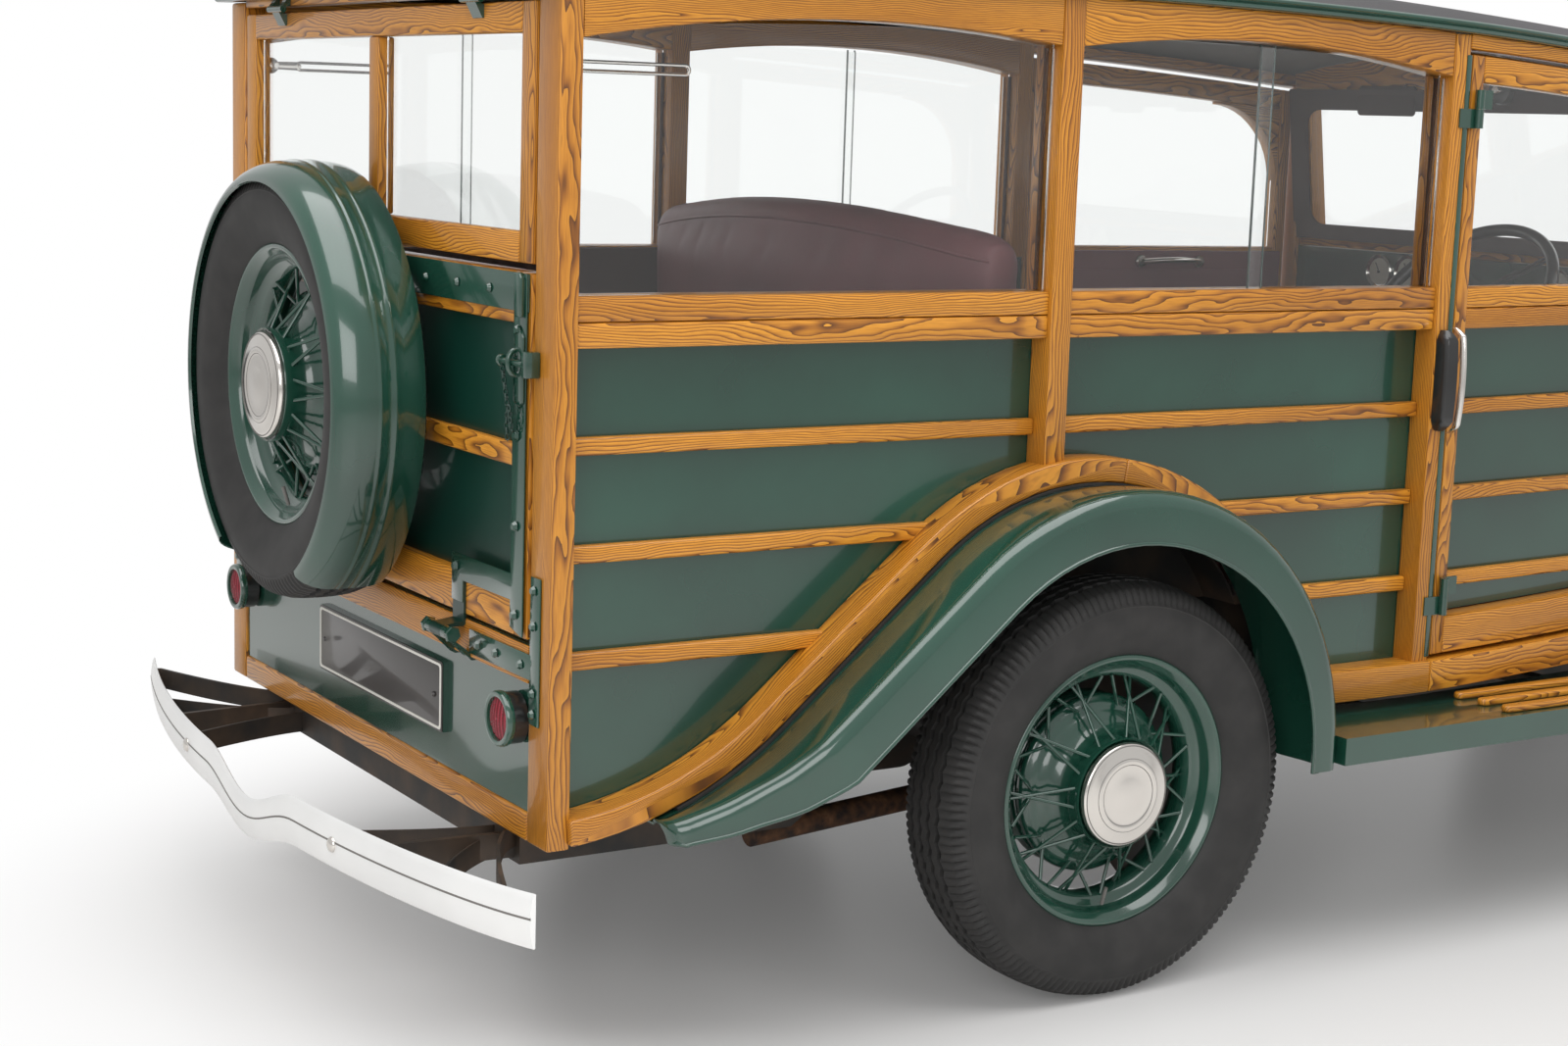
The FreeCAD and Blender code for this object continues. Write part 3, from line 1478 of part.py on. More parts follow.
def knuckle():
    """Steering knuckle: kingpin, fork, stub axle and steering arm, left side."""
    y = kingpin_offset()
    half = front_beam_height / 2 + clearance
    lug = rail_wall * 2
    lug_radius = kingpin_radius + rail_wall
    foot = Vec(front_axle_station, y, wheel_height - half - lug)
    pin = Part.makeCylinder(kingpin_radius, 2 * (half + lug), foot)
    lugs = [
        Part.makeCylinder(lug_radius, lug, Vec(front_axle_station, y, wheel_height + half)),
        Part.makeCylinder(lug_radius, lug, foot),
    ]
    web0 = y + lug_radius + running_gap
    web1 = web0 + lug
    for z in (wheel_height + half, wheel_height - half - lug):
        lugs.append(box(front_axle_station - lug_radius, front_axle_station + lug_radius,
                        y, web1, z, z + lug))
    web = box(front_axle_station - lug_radius, front_axle_station + lug_radius, web0, web1,
              wheel_height - half - lug, wheel_height + half + lug)
    end = front_track / 2 + rim_width / 2
    stub = rod(Vec(front_axle_station, web0, wheel_height), Vec(front_axle_station, end, wheel_height),
               bearing_radius)
    z0 = wheel_height - half - lug
    arm = box(front_axle_station - steering_arm_length, front_axle_station, y - lug_radius / 2,
              y + lug_radius / 2, z0, z0 + lug)
    ball = Part.makeCylinder(lug_radius / 2, lug, Vec(front_axle_station - steering_arm_length, y, z0))
    return joined([pin] + lugs + [web, stub, arm, ball])


def tie_rod():
    """Rod that joins the two steering arms."""
    y = kingpin_offset()
    half = front_beam_height / 2 + clearance
    lug = rail_wall * 2
    z = wheel_height - half - lug - tie_rod_radius - clearance
    x = front_axle_station - steering_arm_length
    return rod(Vec(x, -y, z), Vec(x, y, z), tie_rod_radius)


def engine():
    """Engine and gearbox as one plain mass."""
    rear = cowl_front_station + rail_height
    front = front_axle_station - rail_height
    half = engine_half_width
    low = rail_bottom + rail_height / 2
    block = box(rear, front, -half, half, low, low + 4 * rail_height)
    gearbox = box(gearbox_station, rear, -rail_height, rail_height, rail_bottom - rail_wall,
                  front_floor_top - floor_thickness - 4 * rail_wall)
    return joined([block, gearbox])


def exhaust():
    """Silencer with its pipes, from the engine along the right side to a tip behind the axle."""
    y = -(rail_middle_offset - rail_height)
    z = rail_bottom - 2 * exhaust_radius
    start = silencer_front
    end = start - silencer_length
    bend = Vec(floor_step_station, y, z)
    knee = Vec(cowl_front_station, y, z)
    side = -engine_half_width - clearance
    block = rail_bottom + 2 * rail_height
    pieces = [
        rod(Vec(start, y, z), Vec(end, y, z), muffler_radius),
        rod(Vec(end, y, z), bend, exhaust_radius),
        rod(bend, Vec(-body_rear / 2, y - rail_width * 2, z - 2 * exhaust_radius), exhaust_radius),
        rod(Vec(start, y, z), knee, exhaust_radius),
        rod(knee, Vec(manifold_station, side + exhaust_radius, block), exhaust_radius).common(
            box(0, 2 * wheelbase, -body_half_width, side, 0, drip_crown_height)),
    ]
    for place in (bend, knee):
        pieces.append(Part.makeSphere(exhaust_radius, place))
    return joined(pieces)


def wheelhouse():
    """Box round the rear wheel inside the body, left side."""
    y0 = rail_rear_offset + 2 * rail_width - 3 * floor_thickness
    y1 = panel_back - clearance
    outer_radius = arch_radius - fender_bead - fender_sheet
    low = load_floor_top - floor_thickness
    wall = floor_thickness / 4
    rounds = []
    for radius, inner in ((outer_radius, y0), (outer_radius - wall, y0 + wall)):
        centre = Vec(arch_station, inner, arch_centre_height)
        drum = Part.makeCylinder(radius, y1 - inner, centre, Vec(0, 1, 0))
        rounds.append(drum)
    shell = rounds[0].cut(rounds[1])
    return shell.common(box(-body_rear, wheelbase, 0, body_half_width, low, drip_crown_height))


def floor():
    """Floor boards: load floor with wheelhouses, step and front floor."""
    half = panel_back - clearance
    rear = gate_face + gate_thickness + running_gap
    step = floor_step_station
    load = box(rear, step, -half, half, load_floor_top - floor_thickness, load_floor_top)
    hole_radius = arch_radius - fender_bead - fender_sheet
    y0 = rail_rear_offset + 2 * rail_width - 3 * floor_thickness
    for start in (y0, -y0 - body_half_width):
        centre = Vec(arch_station, start, arch_centre_height)
        load = load.cut(Part.makeCylinder(hole_radius, body_half_width, centre, Vec(0, 1, 0)))
    riser = box(step - floor_thickness, step, -half, half, front_floor_top - floor_thickness, load_floor_top)
    end = screen_top_station - screen_frame
    half_end = tapered_width(panel_back, end) - clearance - panel_thickness
    front = plan_slab([
        (step - floor_thickness, -half), (hinge_pin_station, -half + panel_thickness), (end, -half_end),
        (end, half_end), (hinge_pin_station, half - panel_thickness), (step - floor_thickness, half),
    ], front_floor_top - floor_thickness, front_floor_top)
    left = wheelhouse()
    deck = rail_bottom + kick_up + rail_height + clearance
    half_joist = joist_width / 2
    rear_joist = box(-axle_centre_casing - half_joist, half_joist - axle_centre_casing,
                     -rail_rear_offset, rail_rear_offset, deck, load_floor_top - floor_thickness)
    joists = [box(station - half_joist, station + half_joist, -rail_middle_offset, rail_middle_offset,
                  rail_bottom + rail_height + clearance, front_floor_top - floor_thickness)
              for station in joist_stations]
    toe_end = cowl_front_station - panel_thickness - clearance
    toe_half = cowl_half_width - 2 * panel_thickness
    toe = side_slab([
        (end - overrun, front_floor_top - floor_thickness), (toe_end, toe_board_height - floor_thickness),
        (toe_end, toe_board_height), (end, front_floor_top), (end - overrun, front_floor_top),
    ], -toe_half, toe_half)
    return joined([load, riser, front, left, mirrored(left), rear_joist, toe] + joists)


def hoop(place, half, shoulder, crown, bottom, wall):
    """Closed section of an arched shell open at the bottom."""
    return outline(place, [
        (half, bottom), (half, shoulder), ((0, crown), (-half, shoulder)), (-half, bottom),
        (wall - half, bottom), (wall - half, shoulder), ((0, crown - wall), (half - wall, shoulder)),
        (half - wall, bottom),
    ])


def cowl():
    """Scuttle between the doors and the hood, with its bulkhead."""
    rear = screen_bottom_station + clearance
    half_rear = tapered_width(panel_face, rear)
    shoulder_rear = screen_bottom_height - screen_frame - hood_shoulder_drop
    shoulder_front = hood_rear_top - hood_shoulder_drop
    low = sill_line(rear)
    sections = [
        hoop(lambda y, z: Vec(rear, y, z), half_rear, shoulder_rear, screen_bottom_height - screen_frame,
             low, panel_thickness),
        hoop(lambda y, z: Vec(cowl_front_station, y, z), cowl_half_width, shoulder_front, hood_rear_top,
             low, panel_thickness),
    ]
    shell = Part.makeLoft(sections, True, False)
    return shell


def bulkhead():
    """Flat wall closing the front of the scuttle."""
    inner = cowl_half_width - panel_thickness
    low = front_floor_top
    shoulder = hood_rear_top - hood_shoulder_drop
    return cross_slab([
        (-inner, low), (inner, low), (inner, shoulder),
        ((0, hood_rear_top - panel_thickness), (-inner, shoulder)),
    ], cowl_front_station - panel_thickness, cowl_front_station)


def hood_front(z):
    """Station of the hood's raked front edge at a height."""
    return hood_front_station + (hood_front_top - z) * math.tan(math.radians(hood_rake))


def hood_place(share):
    """Plane of a hood section: upright at the cowl, raked at the radiator."""
    rear = cowl_front_station + hood_gap

    def place(y, z):
        return Vec(rear + (hood_front(z) - hood_gap - rear) * share, y, z)

    return place


def hood_sizes(share):
    """Half width and crown height of the hood at a share of its length."""
    half = cowl_half_width + (hood_front_half_width - cowl_half_width) * share
    return half, hood_rear_top + (hood_front_top - hood_rear_top) * share


def hood_line(share):
    """Centre hinge and shoulder hinge points at a share of the hood's length."""
    half, crown = hood_sizes(share)
    place = hood_place(share)
    return place(0, crown), place(half, crown - hood_shoulder_drop)


def hood_top():
    """Upper hood leaf, hinged on the centre line, left side."""
    sheet = hood_sheet
    sections = []
    for share in (0, 1):
        half, crown = hood_sizes(share)
        shoulder = crown - hood_shoulder_drop
        middle = (half * hood_bulge_share, crown - hood_shoulder_drop * hood_bulge_drop_share)
        sections.append(outline(hood_place(share), [
            (0, crown + sheet / 2), ((middle[0], middle[1] + sheet / 2), (half + sheet / 2, shoulder)),
            (half - sheet / 2, shoulder), ((middle[0], middle[1] - sheet / 2), (0, crown - sheet / 2)),
        ]))
    leaf = Part.makeLoft(sections, True, True)
    rear, rear_edge = hood_line(0)
    front, front_edge = hood_line(1)
    radius = sheet
    beyond = (front - rear).normalize() * hood_gap
    leaf = leaf.cut(rod(rear - beyond, front + beyond, radius + clearance))
    return leaf.fuse(rod(rear_edge, front_edge, radius)).removeSplitter()


def hood_side():
    """Side hood panel hanging from the shoulder hinge, left side."""
    sheet = hood_sheet
    sections = []
    for share in (0, 1):
        half, crown = hood_sizes(share)
        shoulder = crown - hood_shoulder_drop
        sections.append(outline(hood_place(share), [
            (half - sheet / 2, shoulder), (half + sheet / 2, shoulder),
            (half + sheet / 2, hood_bottom), (half - sheet / 2, hood_bottom),
        ]))
    panel = Part.makeLoft(sections, True, True)
    rear_edge = hood_line(0)[1]
    front_edge = hood_line(1)[1]
    beyond = (front_edge - rear_edge).normalize() * hood_gap
    panel = panel.cut(rod(rear_edge - beyond, front_edge + beyond, sheet + clearance))
    return panel.fuse([louvre(index) for index in range(louvre_count)]).removeSplitter()


def louvre(index):
    """Pressed louvre in the hood's side, open to the rear, left side."""
    step = (louvre_last_share - louvre_first_share) / louvre_count
    front = louvre_last_share - step * index
    rear = front - step * louvre_width_share
    ends = []
    head = hood_sizes(front)[1] - hood_shoulder_drop - louvre_head
    for z in (hood_bottom + louvre_foot, head):
        corners = []
        for share, out in ((front, 0), (rear, hood_sheet / 2 + louvre_rise), (rear, 0)):
            half = hood_sizes(share)[0]
            corners.append(hood_place(share)(half + out, z))
        ends.append(Part.makePolygon(corners + corners[:1]))
    return Part.makeLoft(ends, True, True)


def hood_hinge():
    """Fixed rod of the hood's centre hinge."""
    rear, front = hood_line(0)[0], hood_line(1)[0]
    along = (front - rear).normalize()
    return rod(rear - along * (hood_gap - 3 * clearance), front + along * (hood_gap - 6 * clearance),
               hood_sheet)


def shell_outline(inset):
    """Front-view outline of the radiator shell: domed head and narrowing sides."""
    half = hood_front_half_width - inset
    foot = grille_foot_half_width - inset
    shoulder = hood_front_top - hood_shoulder_drop
    waist = (shoulder + grille_bottom) / 2
    return [
        (-foot, grille_bottom + inset), (foot, grille_bottom + inset),
        ((half * shell_waist_share, waist), (half, shoulder)),
        ((0, hood_front_top - inset), (-half, shoulder)),
        ((-half * shell_waist_share, waist), (-foot, grille_bottom + inset)),
    ]


def radiator_shell():
    """Raked shell round the grille."""
    def place(y, z):
        return Vec(hood_front(z), y, z)

    ahead = Vec(shell_depth, 0, 0)
    outer = Part.Face(outline(place, shell_outline(0))).extrude(ahead)
    inner = Part.Face(outline(place, shell_outline(shell_depth / 4))).extrude(ahead * 2)
    inner.translate(Vec(-shell_depth / 2, 0, 0))
    return outer.cut(inner)


def grille():
    """Upright grille bars, set back from a prow, with the core behind them."""
    inset = shell_depth / 4 + clearance

    def place(y, z):
        return Vec(hood_front(z), y, z)

    fill = Part.Face(outline(place, shell_outline(inset))).extrude(Vec(shell_depth, 0, 0))
    core = Part.Face(outline(place, shell_outline(inset))).extrude(Vec(shell_depth / 3, 0, 0))
    bars = []
    count = int((hood_front_half_width - inset) / grille_bar_pitch)
    for index in range(-count, count + 1):
        y = index * grille_bar_pitch
        bars.append(box(0, 2 * wheelbase, y - grille_bar_width / 2, y + grille_bar_width / 2, 0,
                        drip_crown_height))
    ribs = fill.common(Part.makeCompound(bars))
    return joined([core] + ribs.Solids)


def headlamp():
    """Bowl headlamp on its stalk from the fender, left side."""
    wire = outline(lambda x, r: Vec(lamp_station + x, lamp_offset, lamp_height + r), [
        (lamp_depth / 2, 0), (lamp_depth / 2, lamp_radius), (lamp_depth / 3, lamp_radius),
        (0, lamp_radius * lamp_rim_share), (-lamp_depth / 3, lamp_radius * lamp_bowl_share * lamp_bowl_share),
        (-lamp_depth / 2, lamp_radius * (1 - lamp_bowl_share)), (-lamp_depth / 2, 0),
    ])
    bowl = Part.Face(wire).revolve(Vec(lamp_station, lamp_offset, lamp_height), Vec(1, 0, 0), 360)
    foot_y = front_fender_inner + fender_edge_radius / 2
    foot = rod(Vec(lamp_station, lamp_offset, lamp_height),
               Vec(lamp_station - lamp_depth / 4, foot_y, lamp_height - lamp_radius), bearing_radius / 2)
    reach = front_fender_radius + 2 * clearance
    centre = Vec(front_fender_station, 0, front_fender_height)
    foot = foot.cut(Part.makeCylinder(reach, wheelbase, centre, Vec(0, 1, 0)))
    return joined([bowl, foot])


def tail_lamp():
    """Drum tail lamp on the rear panel, left side."""
    centre = Vec(gate_face - clearance, tail_lamp_offset, tail_lamp_height)
    return rod(centre, centre - Vec(tail_lamp_depth, 0, 0), tail_lamp_radius)


def rear_panel():
    """Fixed panel below the tailgate, with the plate's raised backing."""
    half = body_half_width - corner_post_depth - clearance
    x0 = gate_face + panel_recess
    top = gate_bottom - running_gap
    panel = box(x0, x0 + gate_panel_thickness, -half, half, body_bottom + rear_sill_height + clearance, top)
    plate = box(x0 - plate_thickness, x0, plate_offset - plate_width / 2, plate_offset + plate_width / 2,
                plate_bottom, plate_bottom + plate_height)
    whole = joined([panel, plate])
    z = plate_bottom + plate_height / 2
    for side in (-1, 1):
        y = plate_offset + side * plate_hole_pitch / 2
        reach = 2 * plate_thickness
        hole = rod(Vec(x0 - reach, y, z), Vec(x0 + reach, y, z), plate_hole_radius)
        whole = whole.cut(hole)
    return whole


def front_seat():
    """Front bench: cushion on its box, and a low back."""
    half = front_seat_half_width
    low = front_seat_height - front_cushion_depth
    base = box(front_seat_rear, front_seat_front - front_back_thickness, -half, half,
               front_floor_top + clearance, low - clearance)
    cushion = box(front_seat_rear, front_seat_front, -half, half, low, front_seat_height)
    back = box(front_seat_rear - clearance - front_back_thickness, front_seat_rear - clearance, -half, half,
               front_floor_top + clearance + front_cushion_depth, front_back_top)
    return [base, cushion, back]


def rear_seat():
    """Rear bench: cushion, and a back that is rounded at the top and widens over the wheelhouses."""
    half = rear_seat_half_width
    wide = rear_back_half_width
    low = load_floor_top + clearance
    step = on_arch(0, 0)[1] + clearance
    cushion = box(rear_seat_rear, rear_seat_front, -half, half, low, rear_seat_height)
    back = cross_slab([
        (-half, low), (half, low), (half, step), (wide, step), (wide, rear_back_shoulder),
        ((0, rear_back_crown), (-wide, rear_back_shoulder)), (-wide, step), (-half, step),
    ], rear_seat_rear - clearance - rear_back_thickness, rear_seat_rear - clearance)
    return [cushion, back]


def steering_axis():
    """Direction of the steering column, from the scuttle up to the driver."""
    lean = math.radians(column_angle)
    return Vec(-math.cos(lean), 0, math.sin(lean))


def steering_column():
    """Column from the bulkhead up to the steering wheel."""
    centre = Vec(steering_wheel_station, driver_offset, steering_wheel_height)
    axis = steering_axis()
    end = cowl_front_station - panel_thickness - clearance
    column = rod(centre - axis * wheelbase, centre - axis * (steering_wheel_rim + clearance), column_radius)
    return column.common(box(0, end, -body_half_width, 0, 0, drip_crown_height))


def steering_wheel():
    """Spoked steering wheel."""
    centre = Vec(steering_wheel_station, driver_offset, steering_wheel_height)
    axis = steering_axis()
    up = Vec(axis.z, 0, -axis.x)
    rim = steering_wheel_rim

    def place(r, offset):
        return centre + up * r + axis * offset

    wide = steering_wheel_radius
    bend = rim / 2
    ring = Part.Face(outline(place, [
        (wide - rim, -bend), (wide - rim, bend), (wide - bend, rim), (wide + bend - rim / 2, rim),
        (wide + rim / 2, bend), (wide + rim / 2, -bend), (wide + bend - rim / 2, -rim), (wide - bend, -rim),
    ])).revolve(centre, axis, 360)
    hub = Part.makeCylinder(steering_hub_radius, 2 * rim, centre - axis * rim, axis)
    spokes = []
    for index in range(steering_spokes):
        arm = box(0, wide - rim / 2, -steering_spoke_width / 2, steering_spoke_width / 2, -rim / 4, rim / 4)
        arm.rotate(Vec(0, 0, 0), Vec(0, 0, 1), 360 / steering_spokes * (index + 1 / 2))
        arm.rotate(Vec(0, 0, 0), Vec(0, 1, 0), column_angle - 90)
        arm.translate(centre)
        spokes.append(arm)
    return joined([ring, hub] + spokes)


def dash():
    """Instrument board under the windscreen."""
    half = tapered_width(post_inner_face, dash_station) - clearance
    top = screen_bottom_height - screen_frame - clearance
    return box(dash_station - dash_thickness, dash_station, -half, half, dash_bottom, top)


def signal():
    """Housing of the swing-out turn signal on the lock post, left side."""
    x0 = lock_post_station - signal_width / 2
    y0 = body_half_width + clearance
    return box(x0, x0 + signal_width, y0, y0 + signal_depth, signal_height - signal_length / 2,
               signal_height + signal_length / 2)


def fuel_tank():
    """Tank under the load floor."""
    low = tank_bottom
    top = load_floor_top - floor_thickness - clearance
    corner = tank_corner
    return side_slab([
        (tank_rear, top), (tank_rear, low + corner), (tank_rear + corner, low), (tank_front - corner, low),
        (tank_front, low + corner), (tank_front, top),
    ], -tank_half_width, tank_half_width)


PARTS = {}


def hold(name, shapes):
    """Keep a node's solids under its name."""
    PARTS[name] = shapes if isinstance(shapes, list) else [shapes]


def pair(name, shape):
    """Keep a left piece and its mirror image as two nodes."""
    hold(name + "_left", shape)
    shapes = shape if isinstance(shape, list) else [shape]
    hold(name + "_right", [mirrored(piece) for piece in shapes])


def both(shapes):
    """Left pieces with their mirror images."""
    shapes = shapes if isinstance(shapes, list) else [shapes]
    return shapes + [mirrored(piece) for piece in shapes]


hold("chassis_frame", chassis())
hold("axles", [rear_axle(), front_axle()])
hold("engine", engine())
hold("exhaust", exhaust())
hold("floor", floor())
pair("side_timber", side_timber())
hold("cross_timber", cross_timber() + [screen_timber()])
fixed_hinges = [hinge_knuckle(height, "post") for height in door_hinge_heights]
gate_feet = gate_hinge(gate_hinge_offset, "body")
flap_feet = flap_hinge(flap_hinge_offset, "body")
hold("body_panels", both([side_panel()] + fixed_hinges + gate_feet + flap_feet) + [rear_panel()])
hold("roof", roof())
hold("drip_moulding", drip_moulding())
hold("fixed_glass", both(side_glass()) + [screen_glass()])
hold("cowl", [cowl(), bulkhead(), hood_hinge()])
hold("dash", [dash(), steering_column()])
hold("signals", both(signal()))
hold("fuel_tank", fuel_tank())
hold("steering_wheel", steering_wheel())
hold("radiator_shell", radiator_shell())
hold("grille", grille())
hold("front_fenders", both(joined([front_fender(), front_apron()])))
hold("rear_fenders", both(rear_fender()))
hold("arch_beads", both(arch_bead()))
hold("running_boards", both(running_board()))
hold("board_strips", both(board_strips()))
hold("lamps", both([headlamp(), tail_lamp()]))
hold("bumpers", [bumper_bar(-rear_overhang, 1), bumper_bar(wheelbase + front_overhang, -1)])
hold("front_seat", front_seat())
hold("rear_seat", rear_seat())
pair("door_timber", door_timber())
moving_hinges = [hinge_knuckle(height, "door") for height in door_hinge_heights]
pair("door_panel", [door_panel(), door_handle()] + moving_hinges)
pair("door_glass", door_glass())
hold("tailgate_timber", tailgate_timber())
hold("tailgate_panel", [joined([tailgate_panel(), spare_carrier()])]
     + both(gate_hinge(gate_hinge_offset, "gate")))
hold("spare_wheel", spare_rim())
hold("spare_tyre", stood_on_tail(tyre(0, 0, 0)))
hold("spare_cover", spare_cover())
hold("rear_window_timber", flap_timber())
hold("rear_window_glass", flap_glass())
hold("rear_window_hinges", both(flap_hinge(flap_hinge_offset, "flap")))
hold("flap_stays", both(flap_stay()))
pair("hood_top", hood_top())
pair("hood_side", hood_side())
pair("knuckle", knuckle())
hold("tie_rod", tie_rod())
pair("rear_wheel", wheel(0, rear_track / 2, wheel_height))
pair("rear_tyre", tyre(0, rear_track / 2, wheel_height))
pair("front_wheel", wheel(wheelbase, front_track / 2, wheel_height))
pair("front_tyre", tyre(wheelbase, front_track / 2, wheel_height))

os.makedirs("parts", exist_ok=True)
for name, shapes in PARTS.items():
    whole = shapes[0] if len(shapes) == 1 else Part.makeCompound(shapes)
    whole = whole.copy()
    whole.translate(Vec(shift, 0, 0))
    if not whole.isValid():
        print("not valid:", name)
    whole.exportStep(os.path.join("parts", name + ".step"))
    print(name, len(whole.Solids), round(whole.Volume / 1e6, 2))
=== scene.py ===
# %% [markdown]
# A timber-bodied station wagon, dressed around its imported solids. Every size below is in
# millimetres, measured from the rear axle, as a body builder would lay the car out. The
# helper `row` turns such a point into the metres of the shared frame.

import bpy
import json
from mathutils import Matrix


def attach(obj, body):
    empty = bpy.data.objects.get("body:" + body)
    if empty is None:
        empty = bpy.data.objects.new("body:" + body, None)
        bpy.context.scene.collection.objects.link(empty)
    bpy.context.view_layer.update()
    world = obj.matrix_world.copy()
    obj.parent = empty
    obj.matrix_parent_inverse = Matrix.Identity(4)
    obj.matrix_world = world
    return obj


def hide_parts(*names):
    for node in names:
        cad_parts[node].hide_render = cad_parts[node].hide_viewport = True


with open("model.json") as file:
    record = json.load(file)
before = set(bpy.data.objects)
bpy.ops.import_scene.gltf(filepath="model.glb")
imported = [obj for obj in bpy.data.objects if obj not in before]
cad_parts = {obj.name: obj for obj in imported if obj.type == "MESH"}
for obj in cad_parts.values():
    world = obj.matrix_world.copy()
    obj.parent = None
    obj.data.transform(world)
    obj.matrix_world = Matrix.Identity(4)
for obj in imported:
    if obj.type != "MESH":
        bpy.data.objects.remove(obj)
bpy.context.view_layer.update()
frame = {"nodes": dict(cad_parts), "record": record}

# %% [markdown]
# The skins have to lie on the solids, so they are drawn from the same driving sizes: the
# wheelbase, the tyre, the half widths of the timber and the heights of the belt. Lines that
# several pieces share, such as the roof's and the sill's, are functions of the station `x`.
# A piece that calls them can't drift away from its neighbour.

# %% Sizes that the solids were built from
import json
import math
import random
import bmesh
import bpy
import numpy as np
from mathutils import Matrix, Vector

SHIFT = -1107.5
WHEELBASE, TYRE_RADIUS, TRACK_REAR, TRACK_FRONT = 2845.0, 366.0, 1440.0, 1402.0
HALF, PANEL, INNER = 697.0, 645.0, 620.0
REAR = -1050.0
BELT_LOW, BELT_TOP = 1139.0, 1217.0
PIN_X, PIN_Y, TAPER = 832.0, 705.0, 4.0
POST, MIDDLE_POST, FRONT_POST = 40, (-131, -87), (769, 809)
BATTENS, BELT_DEPTH, CANT_RISE, ROOF_RISE = (656, 822, 988), 45, 62, 34
SCREEN_BACK, SCREEN_FACE, SCREEN_FOOT, SCREEN_HEAD = 1600, 1644, 1268, 1560
BUMPER_HALF, BUMPER_BOW, BUMPER_REAR, BUMPER_FRONT = 872, 118, -1280, WHEELBASE + 650
ARCH_X, ARCH_Z, ARCH_RADIUS, ARCH_END, STRAIGHT, TAIL_RADIUS = -34, 418, 476, 40, 390, 673
FRONT_ARCH_Z, FRONT_ARCH_RADIUS, FRONT_ARCH_END, BOARD_TOP = 402, 474, 27, 428
chance = random.Random(11)


def row(point):
    """Millimetres from the rear axle to metres in the shared frame."""
    return ((point[0] + SHIFT) / 1000, point[1] / 1000, point[2] / 1000)


def drip(x):
    """Height of the top of the side frame at a station."""
    return 1700 - (x + 50) ** 2 / 37000


def sill(x):
    """Height of the lower edge of the sill, which lifts towards the front."""
    start = 440.8
    return 447 + 34 * (max(x - start, 0) / (1644 - start)) ** 2


def narrowed(half, x):
    """Half width where the body draws in ahead of the door hinge."""
    return half - max(x - PIN_X, 0) * math.tan(math.radians(TAPER))


def on_arch(angle, offset=0.0):
    """Point on the round of the wheel arch, the angle running from the top to the rear."""
    turn, radius = math.radians(angle), ARCH_RADIUS + offset
    return (ARCH_X - radius * math.sin(turn), ARCH_Z + radius * math.cos(turn))


def on_tail(angle, offset=0.0):
    """Point on the reversed curve that ends the arch line, past a straight stretch."""
    slope, turn, radius = math.radians(ARCH_END), math.radians(angle), TAIL_RADIUS - offset
    x, z = on_arch(ARCH_END)
    cx = x - STRAIGHT * math.cos(slope) - TAIL_RADIUS * math.sin(slope)
    cz = z - STRAIGHT * math.sin(slope) + TAIL_RADIUS * math.cos(slope)
    return (cx + radius * math.sin(turn), cz - radius * math.cos(turn))


def arch_line(offset=0.0, start=-86.0, end=5.0, steps=26):
    """Arch line as points, from its front foot over the wheel to the rear corner."""
    line = [on_arch(start + (ARCH_END - start) * i / steps, offset) for i in range(steps + 1)]
    return line + [on_tail(ARCH_END + (end - ARCH_END) * i / 10, offset) for i in range(11)]


print("arch crown at", [round(v) for v in on_arch(0)], "and its tail at", [round(v) for v in on_tail(5)])

# %% [markdown]
# The camera stands low beside the car's right rear corner. Its place, turn and focal length
# were solved from the wheels, the posts and the plate in the photograph. A matrix built from
# three axes is used instead of angles, because the camera also rolls a little.

# %% Camera at the photograph's angle
yaw, pitch, roll = (math.radians(a) for a in (58.0256, 9.1046, 1.8372))
ahead = Vector((math.cos(yaw) * math.cos(pitch), math.sin(yaw) * math.cos(pitch), -math.sin(pitch)))
right = Vector((math.sin(yaw), -math.cos(yaw), 0))
up = right.cross(ahead)
side_axis = right * math.cos(roll) + up * math.sin(roll)
up_axis = up * math.cos(roll) - right * math.sin(roll)
turn = Matrix((side_axis, up_axis, -ahead)).transposed().to_4x4()
camera_data = bpy.data.cameras.new("photo_view")
camera_data.sensor_width = 36
camera_data.lens = 36 * 2566.36 / 1600
camera = bpy.data.objects.new("photo_view", camera_data)
bpy.context.scene.collection.objects.link(camera)
camera.matrix_world = Matrix.Translation(Vector((-3.82508, -4.02201, 1.48568))) @ turn
bpy.context.scene.camera = camera
print("lens", round(camera_data.lens, 1), "mm")

# %% [markdown]
# Shaders are built from nodes alone. `shader` starts one from a colour and a roughness, and
# `add` puts a node in its tree with its settings, so each material reads as a short list.


# %% Shader helpers
def shader(name, colour, roughness=0.5, metallic=0.0, coat=0.0):
    """New material with a principled shader; returns the material, its tree and the shader."""
    material = bpy.data.materials.new(name)
    material.use_nodes = True
    tree = material.node_tree
    surface = tree.nodes["Principled BSDF"]
    surface.inputs["Base Color"].default_value = (*colour, 1)
    surface.inputs["Roughness"].default_value = roughness
    surface.inputs["Metallic"].default_value = metallic
    surface.inputs["Coat Weight"].default_value = coat
    surface.inputs["Coat Roughness"].default_value = 0.06
    material.diffuse_color = (*colour, 1)
    return material, tree, surface


def add(tree, kind, settings=None, links=None, **attributes):
    """New node; settings fill its sockets, links join other nodes' outputs to them."""
    node = tree.nodes.new("ShaderNode" + kind)
    for key, value in attributes.items():
        setattr(node, key, value)
    for key, value in (settings or {}).items():
        node.inputs[key].default_value = value
    for key, value in (links or {}).items():
        tree.links.new(value, node.inputs[key])
    return node


